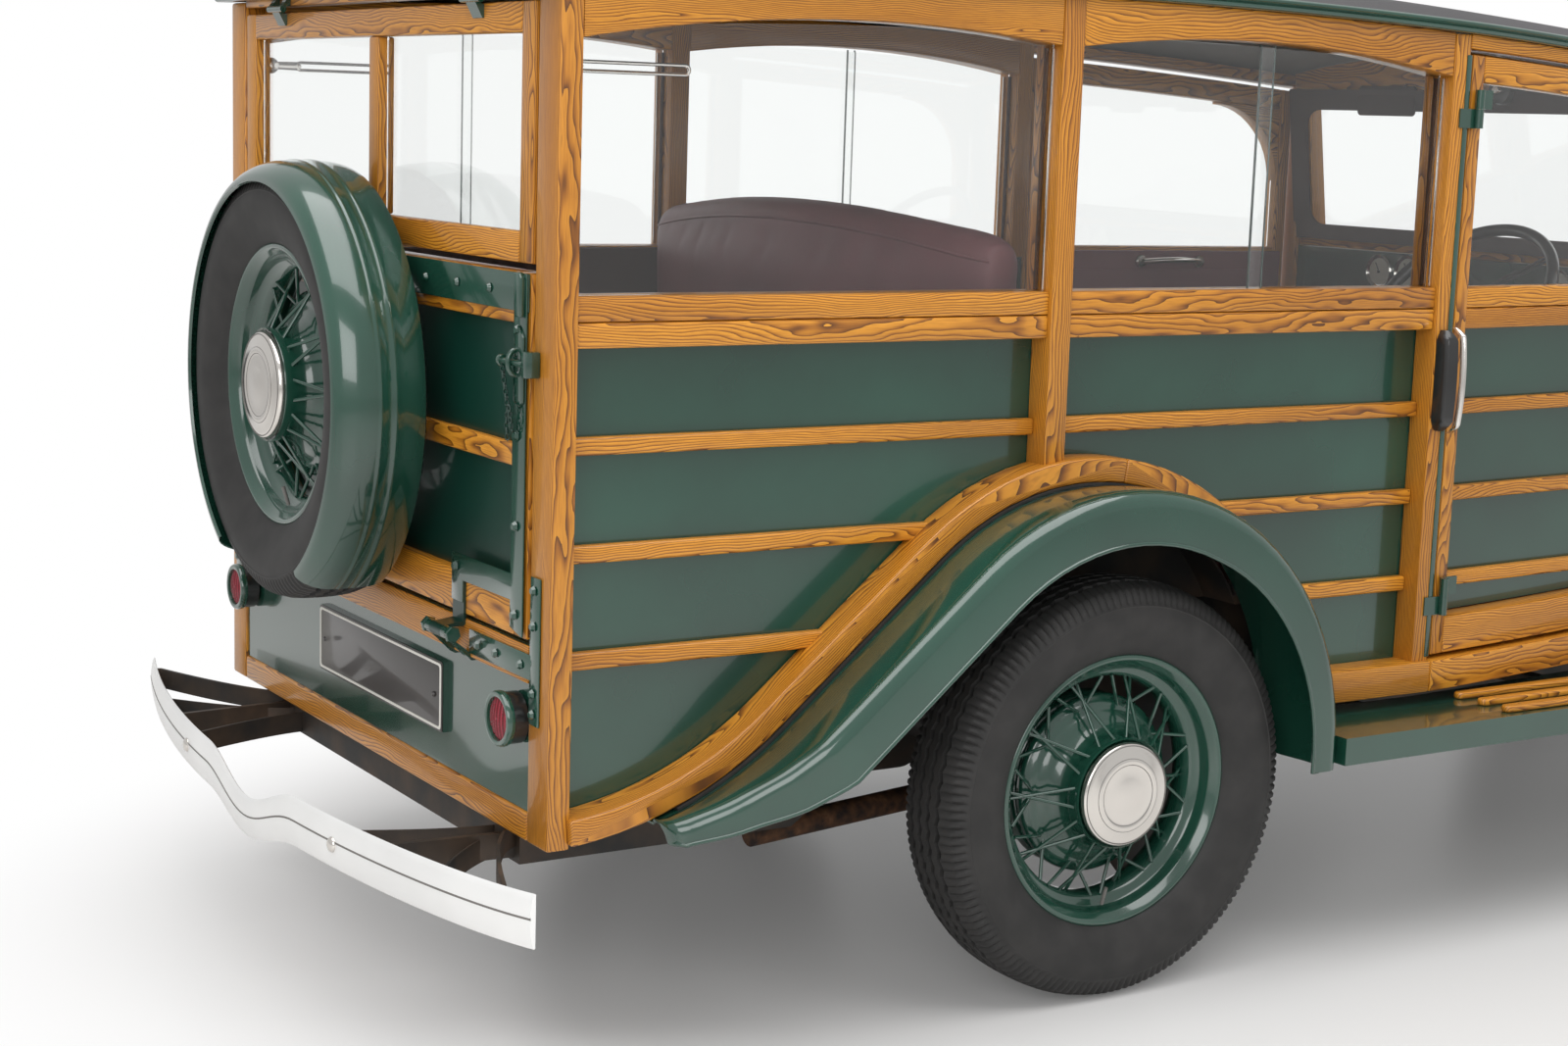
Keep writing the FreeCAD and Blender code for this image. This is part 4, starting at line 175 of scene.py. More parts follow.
def ramp(tree, factor, stops):
    """Colour ramp through stops of a position and a colour."""
    node = add(tree, "ValToRGB", links={"Fac": factor})
    bands = node.color_ramp.elements
    while len(bands) < len(stops):
        bands.new(0.5)
    for band, (place, colour) in zip(bands, stops):
        band.position = place
        band.color = (*colour, 1)
    return node.outputs["Color"]


def mapped(tree, source, scale):
    """Coordinates stretched by a scale for each axis."""
    return add(tree, "Mapping", {"Scale": scale}, {"Vector": source}).outputs["Vector"]


def object_place(tree):
    """Coordinates of the object's own space."""
    return add(tree, "TexCoord").outputs["Object"]


def bump(tree, surface, height, strength, distance=0.001):
    """Shade the surface as if a grey value raised it."""
    node = add(tree, "Bump", {"Strength": strength, "Distance": distance}, {"Height": height})
    tree.links.new(node.outputs["Normal"], surface.inputs["Normal"])


def noise(tree, scale, detail):
    """Cloudy grey value over the object."""
    return add(tree, "TexNoise", {"Scale": scale, "Detail": detail}, {"Vector": object_place(tree)}).outputs["Fac"]


def mottled(tree, surface, scale, detail, stops):
    """Let noise carry the base colour through some stops; returns the noise."""
    cloud = noise(tree, scale, detail)
    tree.links.new(ramp(tree, cloud, stops), surface.inputs["Base Color"])
    return cloud


def wavy_paint(name, colour, roughness, coat):
    """Brushed and rubbed coach paint: faint cloudiness, fine orange peel, a clear top coat."""
    material, tree, surface = shader(name, colour, roughness, coat=coat)
    mottled(tree, surface, 3.0, 4.0, [(0.3, tuple(c * 0.75 for c in colour)), (0.7, tuple(c * 1.25 for c in colour))])
    bump(tree, surface, noise(tree, 260.0, 2.0), 0.05, 0.0004)
    return material


# %% [markdown]
# Every finish of the car is mixed once and used by name: a coach green and a darker copy of it, enamel,
# rubber, plated and painted metal, glass, hide and roof cloth. The darker copy is painted shade on the gate panel
# and the paint of the pin's chain. One flat colour would look like plastic. Noise in Object coordinates clouds each
# of them as wear and dust do, and needs no unwrapping. The colours were matched against the photograph.

# %% Paint, rubber, metal and glass
green = wavy_paint("coach_green", (0.010, 0.056, 0.036), 0.2, 1.0)
# A darker copy of the coach green: painted shade on the gate panel, and the paint of the pin's chain.
gate_shade_and_chain_green = wavy_paint("gate_shade_and_chain_paint", (0.003, 0.034, 0.023), 0.38, 0.35)
black = wavy_paint("black_enamel", (0.012, 0.012, 0.012), 0.3, 0.5)
lining, tree, surface = shader("grey_lining", (0.33, 0.33, 0.31), 0.95)
bump(tree, surface, noise(tree, 900.0, 1.0), 0.25)

chassis_black, tree, surface = shader("underside_black", (0.02, 0.018, 0.016), 0.6)
dirt = mottled(tree, surface, 9.0, 8.0, [(0.4, (0.014, 0.013, 0.012)), (0.62, (0.05, 0.032, 0.02)),
                                         (0.8, (0.11, 0.06, 0.035))])
bump(tree, surface, dirt, 0.4, 0.002)

rubber, tree, surface = shader("tyre_black", (0.02, 0.0195, 0.019), 0.62)
dust = mottled(tree, surface, 22.0, 6.0, [(0.35, (0.015, 0.0145, 0.014)), (0.75, (0.027, 0.0255, 0.0245))])
bump(tree, surface, dust, 0.15)

chrome, tree, surface = shader("bright_plate", (0.70, 0.67, 0.63), 0.12, 1.0)
haze = ramp(tree, noise(tree, 40.0, 5.0), [(0.3, (0.1, 0.1, 0.1)), (0.8, (0.24, 0.24, 0.24))])
tree.links.new(haze, surface.inputs["Roughness"])

# Dark grey for small parts; on the hub caps' rings and along the bumpers it is painted groove shade.
dark_grey_and_groove_shade, tree, surface = shader("dark_grey_and_groove_shade", (0.16, 0.15, 0.14), 0.5)
satin_silver, tree, surface = shader("satin_silver", (0.90, 0.90, 0.88), 0.3, 0.25)
mottled(tree, surface, 4.0, 3.0, [(0.3, (0.80, 0.80, 0.79)), (0.7, (0.90, 0.90, 0.89))])

rust, tree, surface = shader("rusty_steel", (0.09, 0.05, 0.03), 0.8, 0.2)
flake = mottled(tree, surface, 45.0, 8.0, [(0.35, (0.03, 0.02, 0.016)), (0.6, (0.12, 0.055, 0.025)),
                                           (0.8, (0.25, 0.13, 0.07))])
bump(tree, surface, flake, 0.5)

glass, tree, surface = shader("window_glass", (0.975, 0.985, 0.98), 0.0)
surface.inputs["Transmission Weight"].default_value = 1.0
surface.inputs["IOR"].default_value = 1.45

leather, tree, surface = shader("maroon_hide", (0.19, 0.075, 0.085), 0.5)
grain = add(tree, "TexVoronoi", {"Scale": 700.0}, {"Vector": object_place(tree)}).outputs["Distance"]
mottled(tree, surface, 5.0, 6.0, [(0.3, (0.17, 0.062, 0.070)), (0.55, (0.23, 0.086, 0.096)),
                                  (0.8, (0.27, 0.12, 0.13))])
bump(tree, surface, grain, 0.05, 0.0004)

cloth_top, tree, surface = shader("roof_fabric", (0.03, 0.027, 0.029), 0.5)
pebble = add(tree, "TexVoronoi", {"Scale": 500.0}, {"Vector": object_place(tree)}).outputs["Distance"]
mottled(tree, surface, 2.5, 5.0, [(0.3, (0.022, 0.02, 0.022)), (0.8, (0.05, 0.045, 0.05))])
bump(tree, surface, pebble, 0.35, 0.0008)
print("paints and metals ready")

# %% [markdown]
# Ash has strong growth rings, so its grain is built the way the tree makes it: rings round an
# axis that runs along each member. Every member carries its own coordinates, an attribute
# named `grain` (along, across, through), with its own distance from the heart of the tree.
# Faces that cut the rings flat then show arches, and the others show straight lines.

# %% Varnished ash
ash, tree, surface = shader("varnished_ash", (0.6, 0.3, 0.07), 0.45, coat=0.35)
own = add(tree, "Attribute", attribute_name="grain").outputs["Vector"]
slow = mapped(tree, own, (2.6, 9.0, 9.0))
drift = add(tree, "TexNoise", {"Scale": 1.0, "Detail": 3.0, "Roughness": 0.45}, {"Vector": slow}).outputs["Color"]
centred = add(tree, "VectorMath", {1: (-0.5, -0.5, -0.5)}, {0: drift}, operation="ADD").outputs["Vector"]
push = add(tree, "VectorMath", {1: (0.0, 0.06, 0.06)}, {0: centred}, operation="MULTIPLY").outputs["Vector"]
bent = add(tree, "VectorMath", links={0: own, 1: push}, operation="ADD").outputs["Vector"]
rings = add(tree, "TexWave", {"Scale": 92.0, "Distortion": 0.9, "Detail": 2.0, "Detail Scale": 1.5},
            {"Vector": mapped(tree, bent, (0.02, 1.0, 1.0))}, wave_type="RINGS", rings_direction="X",
            wave_profile="SAW").outputs["Color"]
pores = add(tree, "TexNoise", {"Scale": 1.0, "Detail": 2.0}, {"Vector": mapped(tree, own, (28, 1500, 1500))})
tint = add(tree, "TexNoise", {"Scale": 1.0, "Detail": 2.0}, {"Vector": mapped(tree, own, (0.9, 6, 6))})
lines = ramp(tree, rings, [(0.0, (0.11, 0.034, 0.002)), (0.2, (0.38, 0.14, 0.009)),
                           (0.5, (0.66, 0.28, 0.022)), (1.0, (0.76, 0.34, 0.030))])
streaks = ramp(tree, pores.outputs["Fac"], [(0.36, (0.66, 0.6, 0.55)), (0.56, (1, 1, 1))])
shades = ramp(tree, tint.outputs["Fac"], [(0.32, (0.74, 0.66, 0.58)), (0.6, (1.05, 1.02, 0.98))])
grained = add(tree, "Mix", {"Factor": 0.75}, {"A": lines, "B": streaks}, data_type="RGBA", blend_type="MULTIPLY")
mixed = add(tree, "Mix", {"Factor": 1.0}, data_type="RGBA", blend_type="MULTIPLY")
tree.links.new(grained.outputs[2], mixed.inputs[6])
tree.links.new(shades, mixed.inputs[7])
tree.links.new(mixed.outputs[2], surface.inputs["Base Color"])
bump(tree, surface, pores.outputs["Fac"], 0.12, 0.0005)
print("ash ready")

# %% [markdown]
# `Form` gathers the faces of one piece. Its methods stand for the ways such parts are made:
# `slab` saws a profile out of a board and rounds its edges, `turned` spins a section on a
# lathe, `tube` bends a bar, and `loft` draws a skin over ribs. Modifiers could do the same
# one object at a time, but a form can be mirrored, moved and joined before it is a mesh.


# %% Form: the workshop's operations
def raw_mesh(points, faces):
    """Bmesh of points and faces."""
    mesh = bmesh.new()
    verts = [mesh.verts.new(p) for p in points]
    for face in faces:
        mesh.faces.new([verts[i] for i in face])
    return mesh


class Form:
    def __init__(self):
        self.points, self.faces, self.grain, self.slots = [], [], [], []

    def add(self, points, faces, grain=None, slot=0):
        """Points and faces, with grain coordinates for timber."""
        base = len(self.points)
        points = [tuple(p) for p in points]
        self.points += points
        self.faces += [tuple(base + i for i in face) for face in faces]
        self.grain += grain if grain is not None else [(0.0, 0.0, 0.0)] * len(points)
        self.slots += [slot] * len(faces)
        return self

    def take(self, mesh, along=None, slot=0):
        """Faces of a bmesh; along is the axis or function that the wood's grain follows."""
        bmesh.ops.recalc_face_normals(mesh, faces=mesh.faces)
        mesh.verts.index_update()
        points = [tuple(v.co) for v in mesh.verts]
        faces = [[v.index for v in face.verts] for face in mesh.faces]
        grain = None
        if along is not None:
            start = chance.uniform(0, 6)
            side, deep = chance.uniform(0.015, 0.06), chance.uniform(-0.09, 0.09)
            order = {"x": (0, 2, 1), "y": (1, 2, 0), "z": (2, 0, 1)}
            middle = [sum(c) / len(points) for c in zip(*points)]
            grain = []
            for p in points:
                if callable(along):
                    a, b, c = along(p)
                else:
                    a, b, c = (p[i] - middle[i] for i in order[along])
                grain.append((a / 1000 + start, b / 1000 + side, c / 1000 + deep))
        mesh.free()
        return self.add(points, faces, grain, slot)

    def slab(self, outline, axis, low, high, bevel=3.0, along=None, slot=0, segments=2):
        """Outline carried along an axis, its edges rounded."""
        mesh = bmesh.new()
        place = {"y": lambda a, b, c: (a, c, b), "x": lambda a, b, c: (c, a, b), "z": lambda a, b, c: (a, b, c)}
        ends = [[mesh.verts.new(place[axis](a, b, c)) for a, b in outline] for c in (low, high)]
        mesh.faces.new(ends[0])
        mesh.faces.new(ends[1])
        for i in range(len(outline)):
            j = (i + 1) % len(outline)
            mesh.faces.new((ends[0][i], ends[0][j], ends[1][j], ends[1][i]))
        bmesh.ops.recalc_face_normals(mesh, faces=mesh.faces)
        if bevel:
            mesh.edges.ensure_lookup_table()
            sharp = [e for e in mesh.edges if e.calc_face_angle(0) > math.radians(28)]
            bmesh.ops.bevel(mesh, geom=sharp, offset=bevel, segments=segments, profile=0.5, affect="EDGES",
                            clamp_overlap=True)
        return self.take(mesh, along, slot)

    def block(self, x0, x1, y0, y1, z0, z1, bevel=3.0, along=None, slot=0, segments=2):
        """Box with rounded edges."""
        return self.slab([(x0, z0), (x1, z0), (x1, z1), (x0, z1)], "y", y0, y1, bevel, along, slot, segments)

    def turned(self, profile, centre, axis=(0, 1, 0), steps=96, slot=0):
        """Profile of radius and offset spun about an axis through the centre."""
        axis = Vector(axis).normalized()
        first = axis.orthogonal().normalized()
        second = axis.cross(first)
        centre = Vector(centre)
        points, faces = [], []
        count = len(profile)
        for i in range(steps):
            angle = 2 * math.pi * i / steps
            spoke = first * math.cos(angle) + second * math.sin(angle)
            points += [tuple(centre + spoke * r + axis * a) for r, a in profile]
        for i in range(steps):
            j = (i + 1) % steps
            for k in range(count):
                n = (k + 1) % count
                faces.append((i * count + k, j * count + k, j * count + n, i * count + n))
        mesh = raw_mesh(points, faces)
        bmesh.ops.remove_doubles(mesh, verts=mesh.verts, dist=0.01)
        bmesh.ops.dissolve_degenerate(mesh, edges=mesh.edges, dist=0.01)
        return self.take(mesh, None, slot)

    def tube(self, path, radius, sides=12, slot=0, close=False):
        """Round bar along a line of points."""
        path = [Vector(p) for p in path]
        count = len(path)
        rings, up = [], None
        for i, here in enumerate(path):
            before = path[(i - 1) % count] if close or i else here
            after = path[(i + 1) % count] if close or i < count - 1 else here
            ahead = (after - before).normalized()
            if up is None:
                up = ahead.orthogonal().normalized()
            up = (up - ahead * up.dot(ahead)).normalized()
            side = ahead.cross(up)
            rings.append([here + (up * math.cos(t) + side * math.sin(t)) * radius
                          for t in (2 * math.pi * k / sides for k in range(sides))])
        return self.loft(rings, slot, round_trip=close)

    def loft(self, rings, slot=0, round_trip=False):
        """Skin over rings of equally many points, capped unless it runs round to its start."""
        count = len(rings[0])
        points = [tuple(p) for ring in rings for p in ring]
        faces = []
        spans = len(rings) if round_trip else len(rings) - 1
        for i in range(spans):
            j = (i + 1) % len(rings)
            for k in range(count):
                n = (k + 1) % count
                faces.append((i * count + k, i * count + n, j * count + n, j * count + k))
        if not round_trip:
            faces.append(tuple(range(count))[::-1])
            faces.append(tuple((len(rings) - 1) * count + k for k in range(count)))
        return self.take(raw_mesh(points, faces), None, slot)

    def moved(self, change):
        """A copy with every point passed through a function."""
        copy = Form()
        copy.points = [tuple(change(Vector(p))) for p in self.points]
        copy.faces, copy.slots = list(self.faces), list(self.slots)
        copy.grain = list(self.grain)
        return copy

    def mirrored(self):
        """The same piece for the other side of the car, cut from other boards."""
        copy = self.moved(lambda p: (p.x, -p.y, p.z))
        copy.faces = [face[::-1] for face in copy.faces]
        copy.grain = [(a + 3.7, b, c) for a, b, c in copy.grain]
        return copy

    def join(self, *others):
        """Other forms taken into this one."""
        for other in others:
            base = len(self.points)
            self.points += other.points
            self.grain += other.grain
            self.slots += other.slots
            self.faces += [tuple(base + i for i in face) for face in other.faces]
        return self

    def piece(self, name, body, materials, slot=None, replaces=(), sharp=38):
        """Finished object on its body, with the solids that it stands for; the slot argument is not used."""
        mesh = bpy.data.meshes.new(name)
        mesh.from_pydata([row(p) for p in self.points], [], self.faces)
        materials = materials if isinstance(materials, (list, tuple)) else [materials]
        for material in materials:
            mesh.materials.append(material)
        mesh.polygons.foreach_set("material_index", self.slots)
        mesh.polygons.foreach_set("use_smooth", [True] * len(mesh.polygons))
        if any(g != (0.0, 0.0, 0.0) for g in self.grain):
            layer = mesh.attributes.new("grain", "FLOAT_VECTOR", "POINT")
            layer.data.foreach_set("vector", np.array(self.grain, np.float32).ravel())
        mesh.validate()
        mesh.set_sharp_from_angle(angle=math.radians(sharp))
        item = bpy.data.objects.new(name, mesh)
        bpy.context.scene.collection.objects.link(item)
        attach(item, body)
        if replaces:
            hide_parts(*replaces)
        return item


# %% [markdown]
# Two more helpers serve the body. `swing` turns a side piece about the door's hinge, because
# the body narrows ahead of it. `fan` finds the arc through three points, which is how a
# pattern maker strikes a rail's curve from its two ends and its rise.


# %% Taper of the body and arcs of the rails
def swing(form):
    """Draw a left side piece in with the body's front taper, about the door's hinge."""
    turned = Matrix.Rotation(math.radians(-TAPER), 3, "Z")
    pin = Vector((PIN_X, PIN_Y, 0))
    return form.moved(lambda p: turned @ (p - pin) + pin)


def fan(start, middle, end, steps=10):
    """Points of the arc through three points of a plane."""
    (ax, ay), (bx, by), (cx, cy) = start, middle, end
    d = 2 * (ax * (by - cy) + bx * (cy - ay) + cx * (ay - by))
    ux = ((ax * ax + ay * ay) * (by - cy) + (bx * bx + by * by) * (cy - ay) + (cx * cx + cy * cy) * (ay - by)) / d
    uy = ((ax * ax + ay * ay) * (cx - bx) + (bx * bx + by * by) * (ax - cx) + (cx * cx + cy * cy) * (bx - ax)) / d
    a0, a1, a2 = (math.atan2(y - uy, x - ux) for x, y in (start, middle, end))
    sweep = (a2 - a0) % (2 * math.pi)
    if (a1 - a0) % (2 * math.pi) > sweep:
        sweep -= 2 * math.pi
    radius = math.hypot(ax - ux, ay - uy)
    return [(ux + radius * math.cos(a0 + sweep * i / steps), uy + radius * math.sin(a0 + sweep * i / steps))
            for i in range(steps + 1)]


print("workshop ready")

# %% [markdown]
# The side frame is joined like furniture: posts run from arch or sill to the roof, cant rails
# with arched lower edges sit between them, and the belt is two rails laid one on the other.
# Each member is sawn on its own with softly rounded edges, so that the joints show as lines.
# One carved mesh would be simpler, but its grain would run through the joints.


# %% Side frame of ash
def post(form, x0, x1, foot):
    """Upright, thicker above the belt where no panel backs it."""
    top = drip((x0 + x1) / 2) - 1.5
    step = BELT_TOP - 26
    form.slab([(PANEL, foot), (HALF, foot), (HALF, top), (INNER, top), (INNER, step), (PANEL, step)],
              "x", x0, x1, 4, "z")


def cant_rail(form, x0, x1):
    """Rail over one window, its lower edge arched."""
    middle = (x0 + x1) / 2
    low = fan((x1, drip(x1) - 80), (middle, drip(middle) - 52), (x0, drip(x0) - 80), 14)
    high = [(x, drip(x)) for x in (x0 + (x1 - x0) * i / 10 for i in range(11))]
    form.slab(high + low, "y", INNER, HALF - 2, 3, "x")


def belt_rails(form, x0, x1):
    """Two rails laid one on the other below the windows."""
    for low, high in ((BELT_LOW, BELT_LOW + 38.5), (BELT_LOW + 39.5, BELT_TOP)):
        form.block(x0, x1, PANEL, PANEL + BELT_DEPTH, low, high, 4, "x")


def batten(form, x0, x1, z):
    """Thin strip over the panel's joint."""
    form.block(x0, x1, PANEL, PANEL + 20, z - 14, z + 14, 5, "x", segments=3)


def arch_member(form, start, end):
    """Stretch of the arch timber between two places along its line."""
    outer, inner = arch_line(42)[start:end], arch_line(0)[start:end]
    lengths = [0.0]
    for a, b in zip(outer, outer[1:]):
        lengths.append(lengths[-1] + math.dist(a, b))

    def along(p):
        best = min(range(len(outer)), key=lambda i: math.dist((p[0], p[2]), outer[i]))
        return lengths[best], math.dist((p[0], p[2]), outer[best]), p[1] - PANEL

    form.slab(outer + inner[::-1], "y", PANEL + 0.5, PANEL + 64, 5, along, segments=3)


left = Form()
left.slab([(626, 370), (HALF, 370), (HALF, drip(REAR) - 1.5), (626, drip(REAR) - 1.5)],
          "x", REAR, REAR + POST, 5, "z")
post(left, *MIDDLE_POST, 918)
post(left, *FRONT_POST, sill(FRONT_POST[1]) + 20)
bays = ((REAR + POST, MIDDLE_POST[0]), (MIDDLE_POST[1], FRONT_POST[0]))
for x0, x1 in bays:
    cant_rail(left, x0, x1)
for x0, x1 in bays:
    belt_rails(left, x0, x1)
    left.block(x0, x1, INNER, PANEL - 0.5, BELT_TOP - 26, BELT_TOP, 2, "x")
for z in BATTENS:
    hits = [x for x, height in arch_line(24, steps=60) if height > z - 8]
    batten(left, REAR + POST, min(hits + [MIDDLE_POST[0]]), z)
    batten(left, max(hits + [MIDDLE_POST[1]]), FRONT_POST[0], z)
arch_member(left, 16, 38)
arch_member(left, 0, 17)
front_sill = sill(FRONT_POST[1])
left.block(441, FRONT_POST[1], PANEL, PANEL + 62, front_sill, front_sill + 60, 5, "x")
front = Form()
stations = [FRONT_POST[1] + (SCREEN_FACE - FRONT_POST[1]) * i / 8 for i in range(9)]
front.slab([(x, sill(x)) for x in stations] + [(x, sill(x) + 60) for x in stations[::-1]],
           "y", PANEL, PANEL + 62, 5, "x")
front.slab([(x, drip(x)) for x in stations] + [(x, drip(x) - 26) for x in stations[::-1]],
           "y", INNER, HALF, 3, "x")
header = drip(SCREEN_FACE) - 17
front.slab([(1594, sill(1594)), (SCREEN_FACE, sill(SCREEN_FACE)), (SCREEN_FACE, SCREEN_FOOT), (1628, header),
            (1594, header)], "y", INNER, PANEL + 20, 4, "z")
left.join(swing(front))
left.piece("side_frame_left", "body", ash, "ash", ["side_timber_left"])
left.mirrored().piece("side_frame_right", "body", ash, "ash", ["side_timber_right"])
print("side frames:", len(left.faces), "faces each")

# %% [markdown]
# The cross members tie the two sides: the rear sill, the header under the roof's edge, and
# the windscreen's frame. That frame is drawn upright, where its corners are easy to place,
# and then every point is pushed back by its height, so that it leans.

# %% Cross members
cross = Form()
cross.block(REAR, REAR + 71, -625.5, 625.5, 370, 416, 5, "y", segments=3)
head = [(y, drip(REAR) + CANT_RISE * (1 - (y / HALF) ** 2) - 1.5) for y in np.linspace(-619.5, 619.5, 21)]
cross.slab([(-619.5, 1660.5), (619.5, 1660.5)] + head[::-1], "x", REAR, REAR + POST, 3, "y")
rake = (SCREEN_FACE - 1606) / (SCREEN_HEAD - SCREEN_FOOT)


def leaning(form):
    """Set an upright frame back to the windscreen's rake."""
    return form.moved(lambda p: (p.x - (p.z - SCREEN_FOOT) * rake, p.y, p.z))


low_half, high_half = narrowed(INNER, SCREEN_FACE) - 0.5, narrowed(INNER, 1606) - 0.5
screen = Form()
crown = [(y, drip(SCREEN_FACE) + CANT_RISE * (1 - (y / narrowed(HALF, SCREEN_FACE)) ** 2) - 2)
         for y in np.linspace(-high_half, high_half, 17)]
screen.slab([(-low_half, 1224), (low_half, 1224), (low_half, SCREEN_FOOT), (-low_half, SCREEN_FOOT)],
            "x", SCREEN_BACK, SCREEN_FACE, 3, "y")
screen.slab([(-high_half, SCREEN_HEAD), (high_half, SCREEN_HEAD)] + crown[::-1],
            "x", SCREEN_BACK, SCREEN_FACE, 3, "y")
for side in (-1, 1):
    screen.slab([(side * low_half, SCREEN_FOOT), (side * (low_half - 44), SCREEN_FOOT),
                 (side * (high_half - 44), SCREEN_HEAD), (side * high_half, SCREEN_HEAD)],
                "x", SCREEN_BACK, SCREEN_FACE, 3, "z")
cross.join(leaning(screen))
cross.piece("cross_members_ash", "body", ash, "ash", ["cross_timber"])
print("cross members:", len(cross.faces), "faces")

# %% [markdown]
# Each door is a frame of two stiles and two rails with the belt carried across it, hung from
# its rear edge. The top rail follows the roof's line and the bottom rail the sill's. The
# round upper corner of the window is a board of its own, set back a little from the rail.
# One door is drawn, and its mirror image is the other.


# %% Doors
def door_side():
    """Ash frame of the left door, before it is swung to the body's taper."""
    form = Form()
    x0, x1, stile = 820.0, 1582.0, 34
    y0, y1 = HALF - 52, HALF - 4
    top, foot = (lambda x: drip(x) - 36), (lambda x: sill(x) + 68)
    for a, b in ((x0, x0 + stile), (x1 - stile, x1)):
        form.slab([(a, foot(a)), (b, foot(b)), (b, top(b)), (a, top(a))], "y", y0, y1, 4, "z")
    a, b = x0 + stile, x1 - stile
    inside = [a + (x1 - x0 - 2 * stile) * i / 10 for i in range(11)]
    form.slab([(x, top(x)) for x in inside] + [(x, top(x) - 48) for x in inside[::-1]], "y", y0, y1, 4, "x")
    form.slab([(x, foot(x)) for x in inside] + [(x, foot(x) + 70) for x in inside[::-1]], "y", y0, y1, 4, "x")
    belt_rails(form, a, b)
    corner_x, corner_z, reach = b, top(b) - 48, 175
    bow = [(corner_x - reach * (1 - math.sin(t)), corner_z - reach * (1 - math.cos(t)) + 8 * (1 - math.sin(t)))
           for t in (math.radians(90 * i / 12) for i in range(13))]
    form.slab([(corner_x + 0.5, corner_z + 8), (corner_x - reach, corner_z + 14)] + bow,
              "y", y0 + 4, y1 - 4, 3, "x")
    for z in BATTENS:
        batten(form, a, b, z)
    return swing(form)


door = door_side()
door.piece("door_frame_left", "door_left", ash, "ash", ["door_timber_left"])
door.mirrored().piece("door_frame_right", "door_right", ash, "ash", ["door_timber_right"])
print("door frames:", len(door.faces), "faces each")

# %% [markdown]
# The tail is split: the lower gate drops with the spare wheel on it, and the window above
# lifts. Both are plain frames of ash, halved at the corners, and each board is a block of
# its own for the grain's sake: uprights carry it up and down, rails from side to side.


# %% Tailgate and rear window
def tail_frame(z0, z1, foot, head, stile, thick):
    """Two uprights with a rail between them at the foot and one at the head."""
    form, inner = Form(), TAIL_HALF - stile - 0.5
    for side in (-1, 1):
        y0, y1 = sorted((side * (TAIL_HALF - stile), side * TAIL_HALF))
        form.block(REAR, REAR + thick, y0, y1, z0, z1, 4, "z")
    for low, high in ((z0, z0 + foot), (z1 - head, z1)):
        form.block(REAR, REAR + thick, -inner, inner, low, high, 4, "y")
    return form


TAIL_HALF = 615
gate = tail_frame(686, 1246, foot=68, head=78, stile=44, thick=44)
gate.block(REAR, REAR + 15, 44.5 - TAIL_HALF, TAIL_HALF - 44.5, 948, 984, 5, "y", segments=3)
gate.piece("gate_frame", "tailgate", ash, "ash", ["tailgate_timber"])
window = tail_frame(1260, 1648, foot=46, head=46, stile=46, thick=34)
window.block(REAR, REAR + 34, -20, 20, 1306.5, 1601.5, 4, "z")
window.piece("window_frame", "rear_window", ash, "ash", ["rear_window_timber"])
print("gate and window frames done")

# %% [markdown]
# Spokes, bolt heads and chain links repeat by a rule, so Geometry Nodes make them. The helpers
# here open a tree with named inputs, wire its nodes and close it with real copies and their
# material. `grown` runs a tree over a mesh and hands back plain faces.


# %% Helpers for node trees
def socket(tree, name):
    """Identifier of a tree's input, by which a modifier sets it."""
    return next(item.identifier for item in tree.interface.items_tree if item.name == name and item.in_out == "INPUT")


def open_tree(name, inputs, kinds):
    """New tree with named inputs; returns it, its first node and one node for each kind."""
    tree = bpy.data.node_groups.new(name, "GeometryNodeTree")
    for label, kind in (("Geometry", "Geometry"), *inputs, ("Material", "Material")):
        tree.interface.new_socket(label, in_out="INPUT", socket_type="NodeSocket" + kind)
    tree.interface.new_socket("Geometry", in_out="OUTPUT", socket_type="NodeSocketGeometry")
    return tree, tree.nodes.new("NodeGroupInput"), [tree.nodes.new(kind) for kind in kinds]


def wired(tree, pairs):
    """Join an output of one node to an input of another, pair by pair."""
    for node, output, target, name in pairs:
        tree.links.new(node.outputs[output], target.inputs[name])


def close_tree(tree, start, copies):
    """End of every tree here: copies made real, then their material."""
    whole, paint, end = (tree.nodes.new(kind) for kind in (
        "GeometryNodeRealizeInstances", "GeometryNodeSetMaterial", "NodeGroupOutput"))
    wired(tree, ((copies, "Instances", whole, "Geometry"), (whole, "Geometry", paint, "Geometry"),
                 (start, "Material", paint, "Material"), (paint, "Geometry", end, "Geometry")))
    return tree


def grown(mesh, tree, values, material):
    """Run a tree over a mesh and give back the result as a form, in millimetres."""
    carrier = bpy.data.objects.new(mesh.name, mesh)
    bpy.context.scene.collection.objects.link(carrier)
    step = carrier.modifiers.new("copies", "NODES")
    step.node_group = tree
    for name, value in (*values.items(), ("Material", material)):
        step[socket(tree, name)] = value
    bpy.context.view_layer.update()
    done = bpy.data.meshes.new_from_object(carrier.evaluated_get(bpy.context.evaluated_depsgraph_get()))
    result = Form().add([tuple(v.co) for v in done.vertices], [tuple(p.vertices) for p in done.polygons])
    bpy.data.objects.remove(carrier)
    bpy.data.meshes.remove(done)
    return result


def repeated(form, tree, values, material):
    """Run a tree over a form."""
    mesh = bpy.data.meshes.new("seed")
    mesh.from_pydata(form.points, [], form.faces)
    return grown(mesh, tree, values, material)


# %% [markdown]
# A wire wheel is a rolled rim, a hub shell with the brake drum behind it, and spokes that
# cross between them. One crossing pair is drawn at two depths, and a tree spins copies of it
# round the axle. The count is an input, so a wheel with more spokes needs one new number.


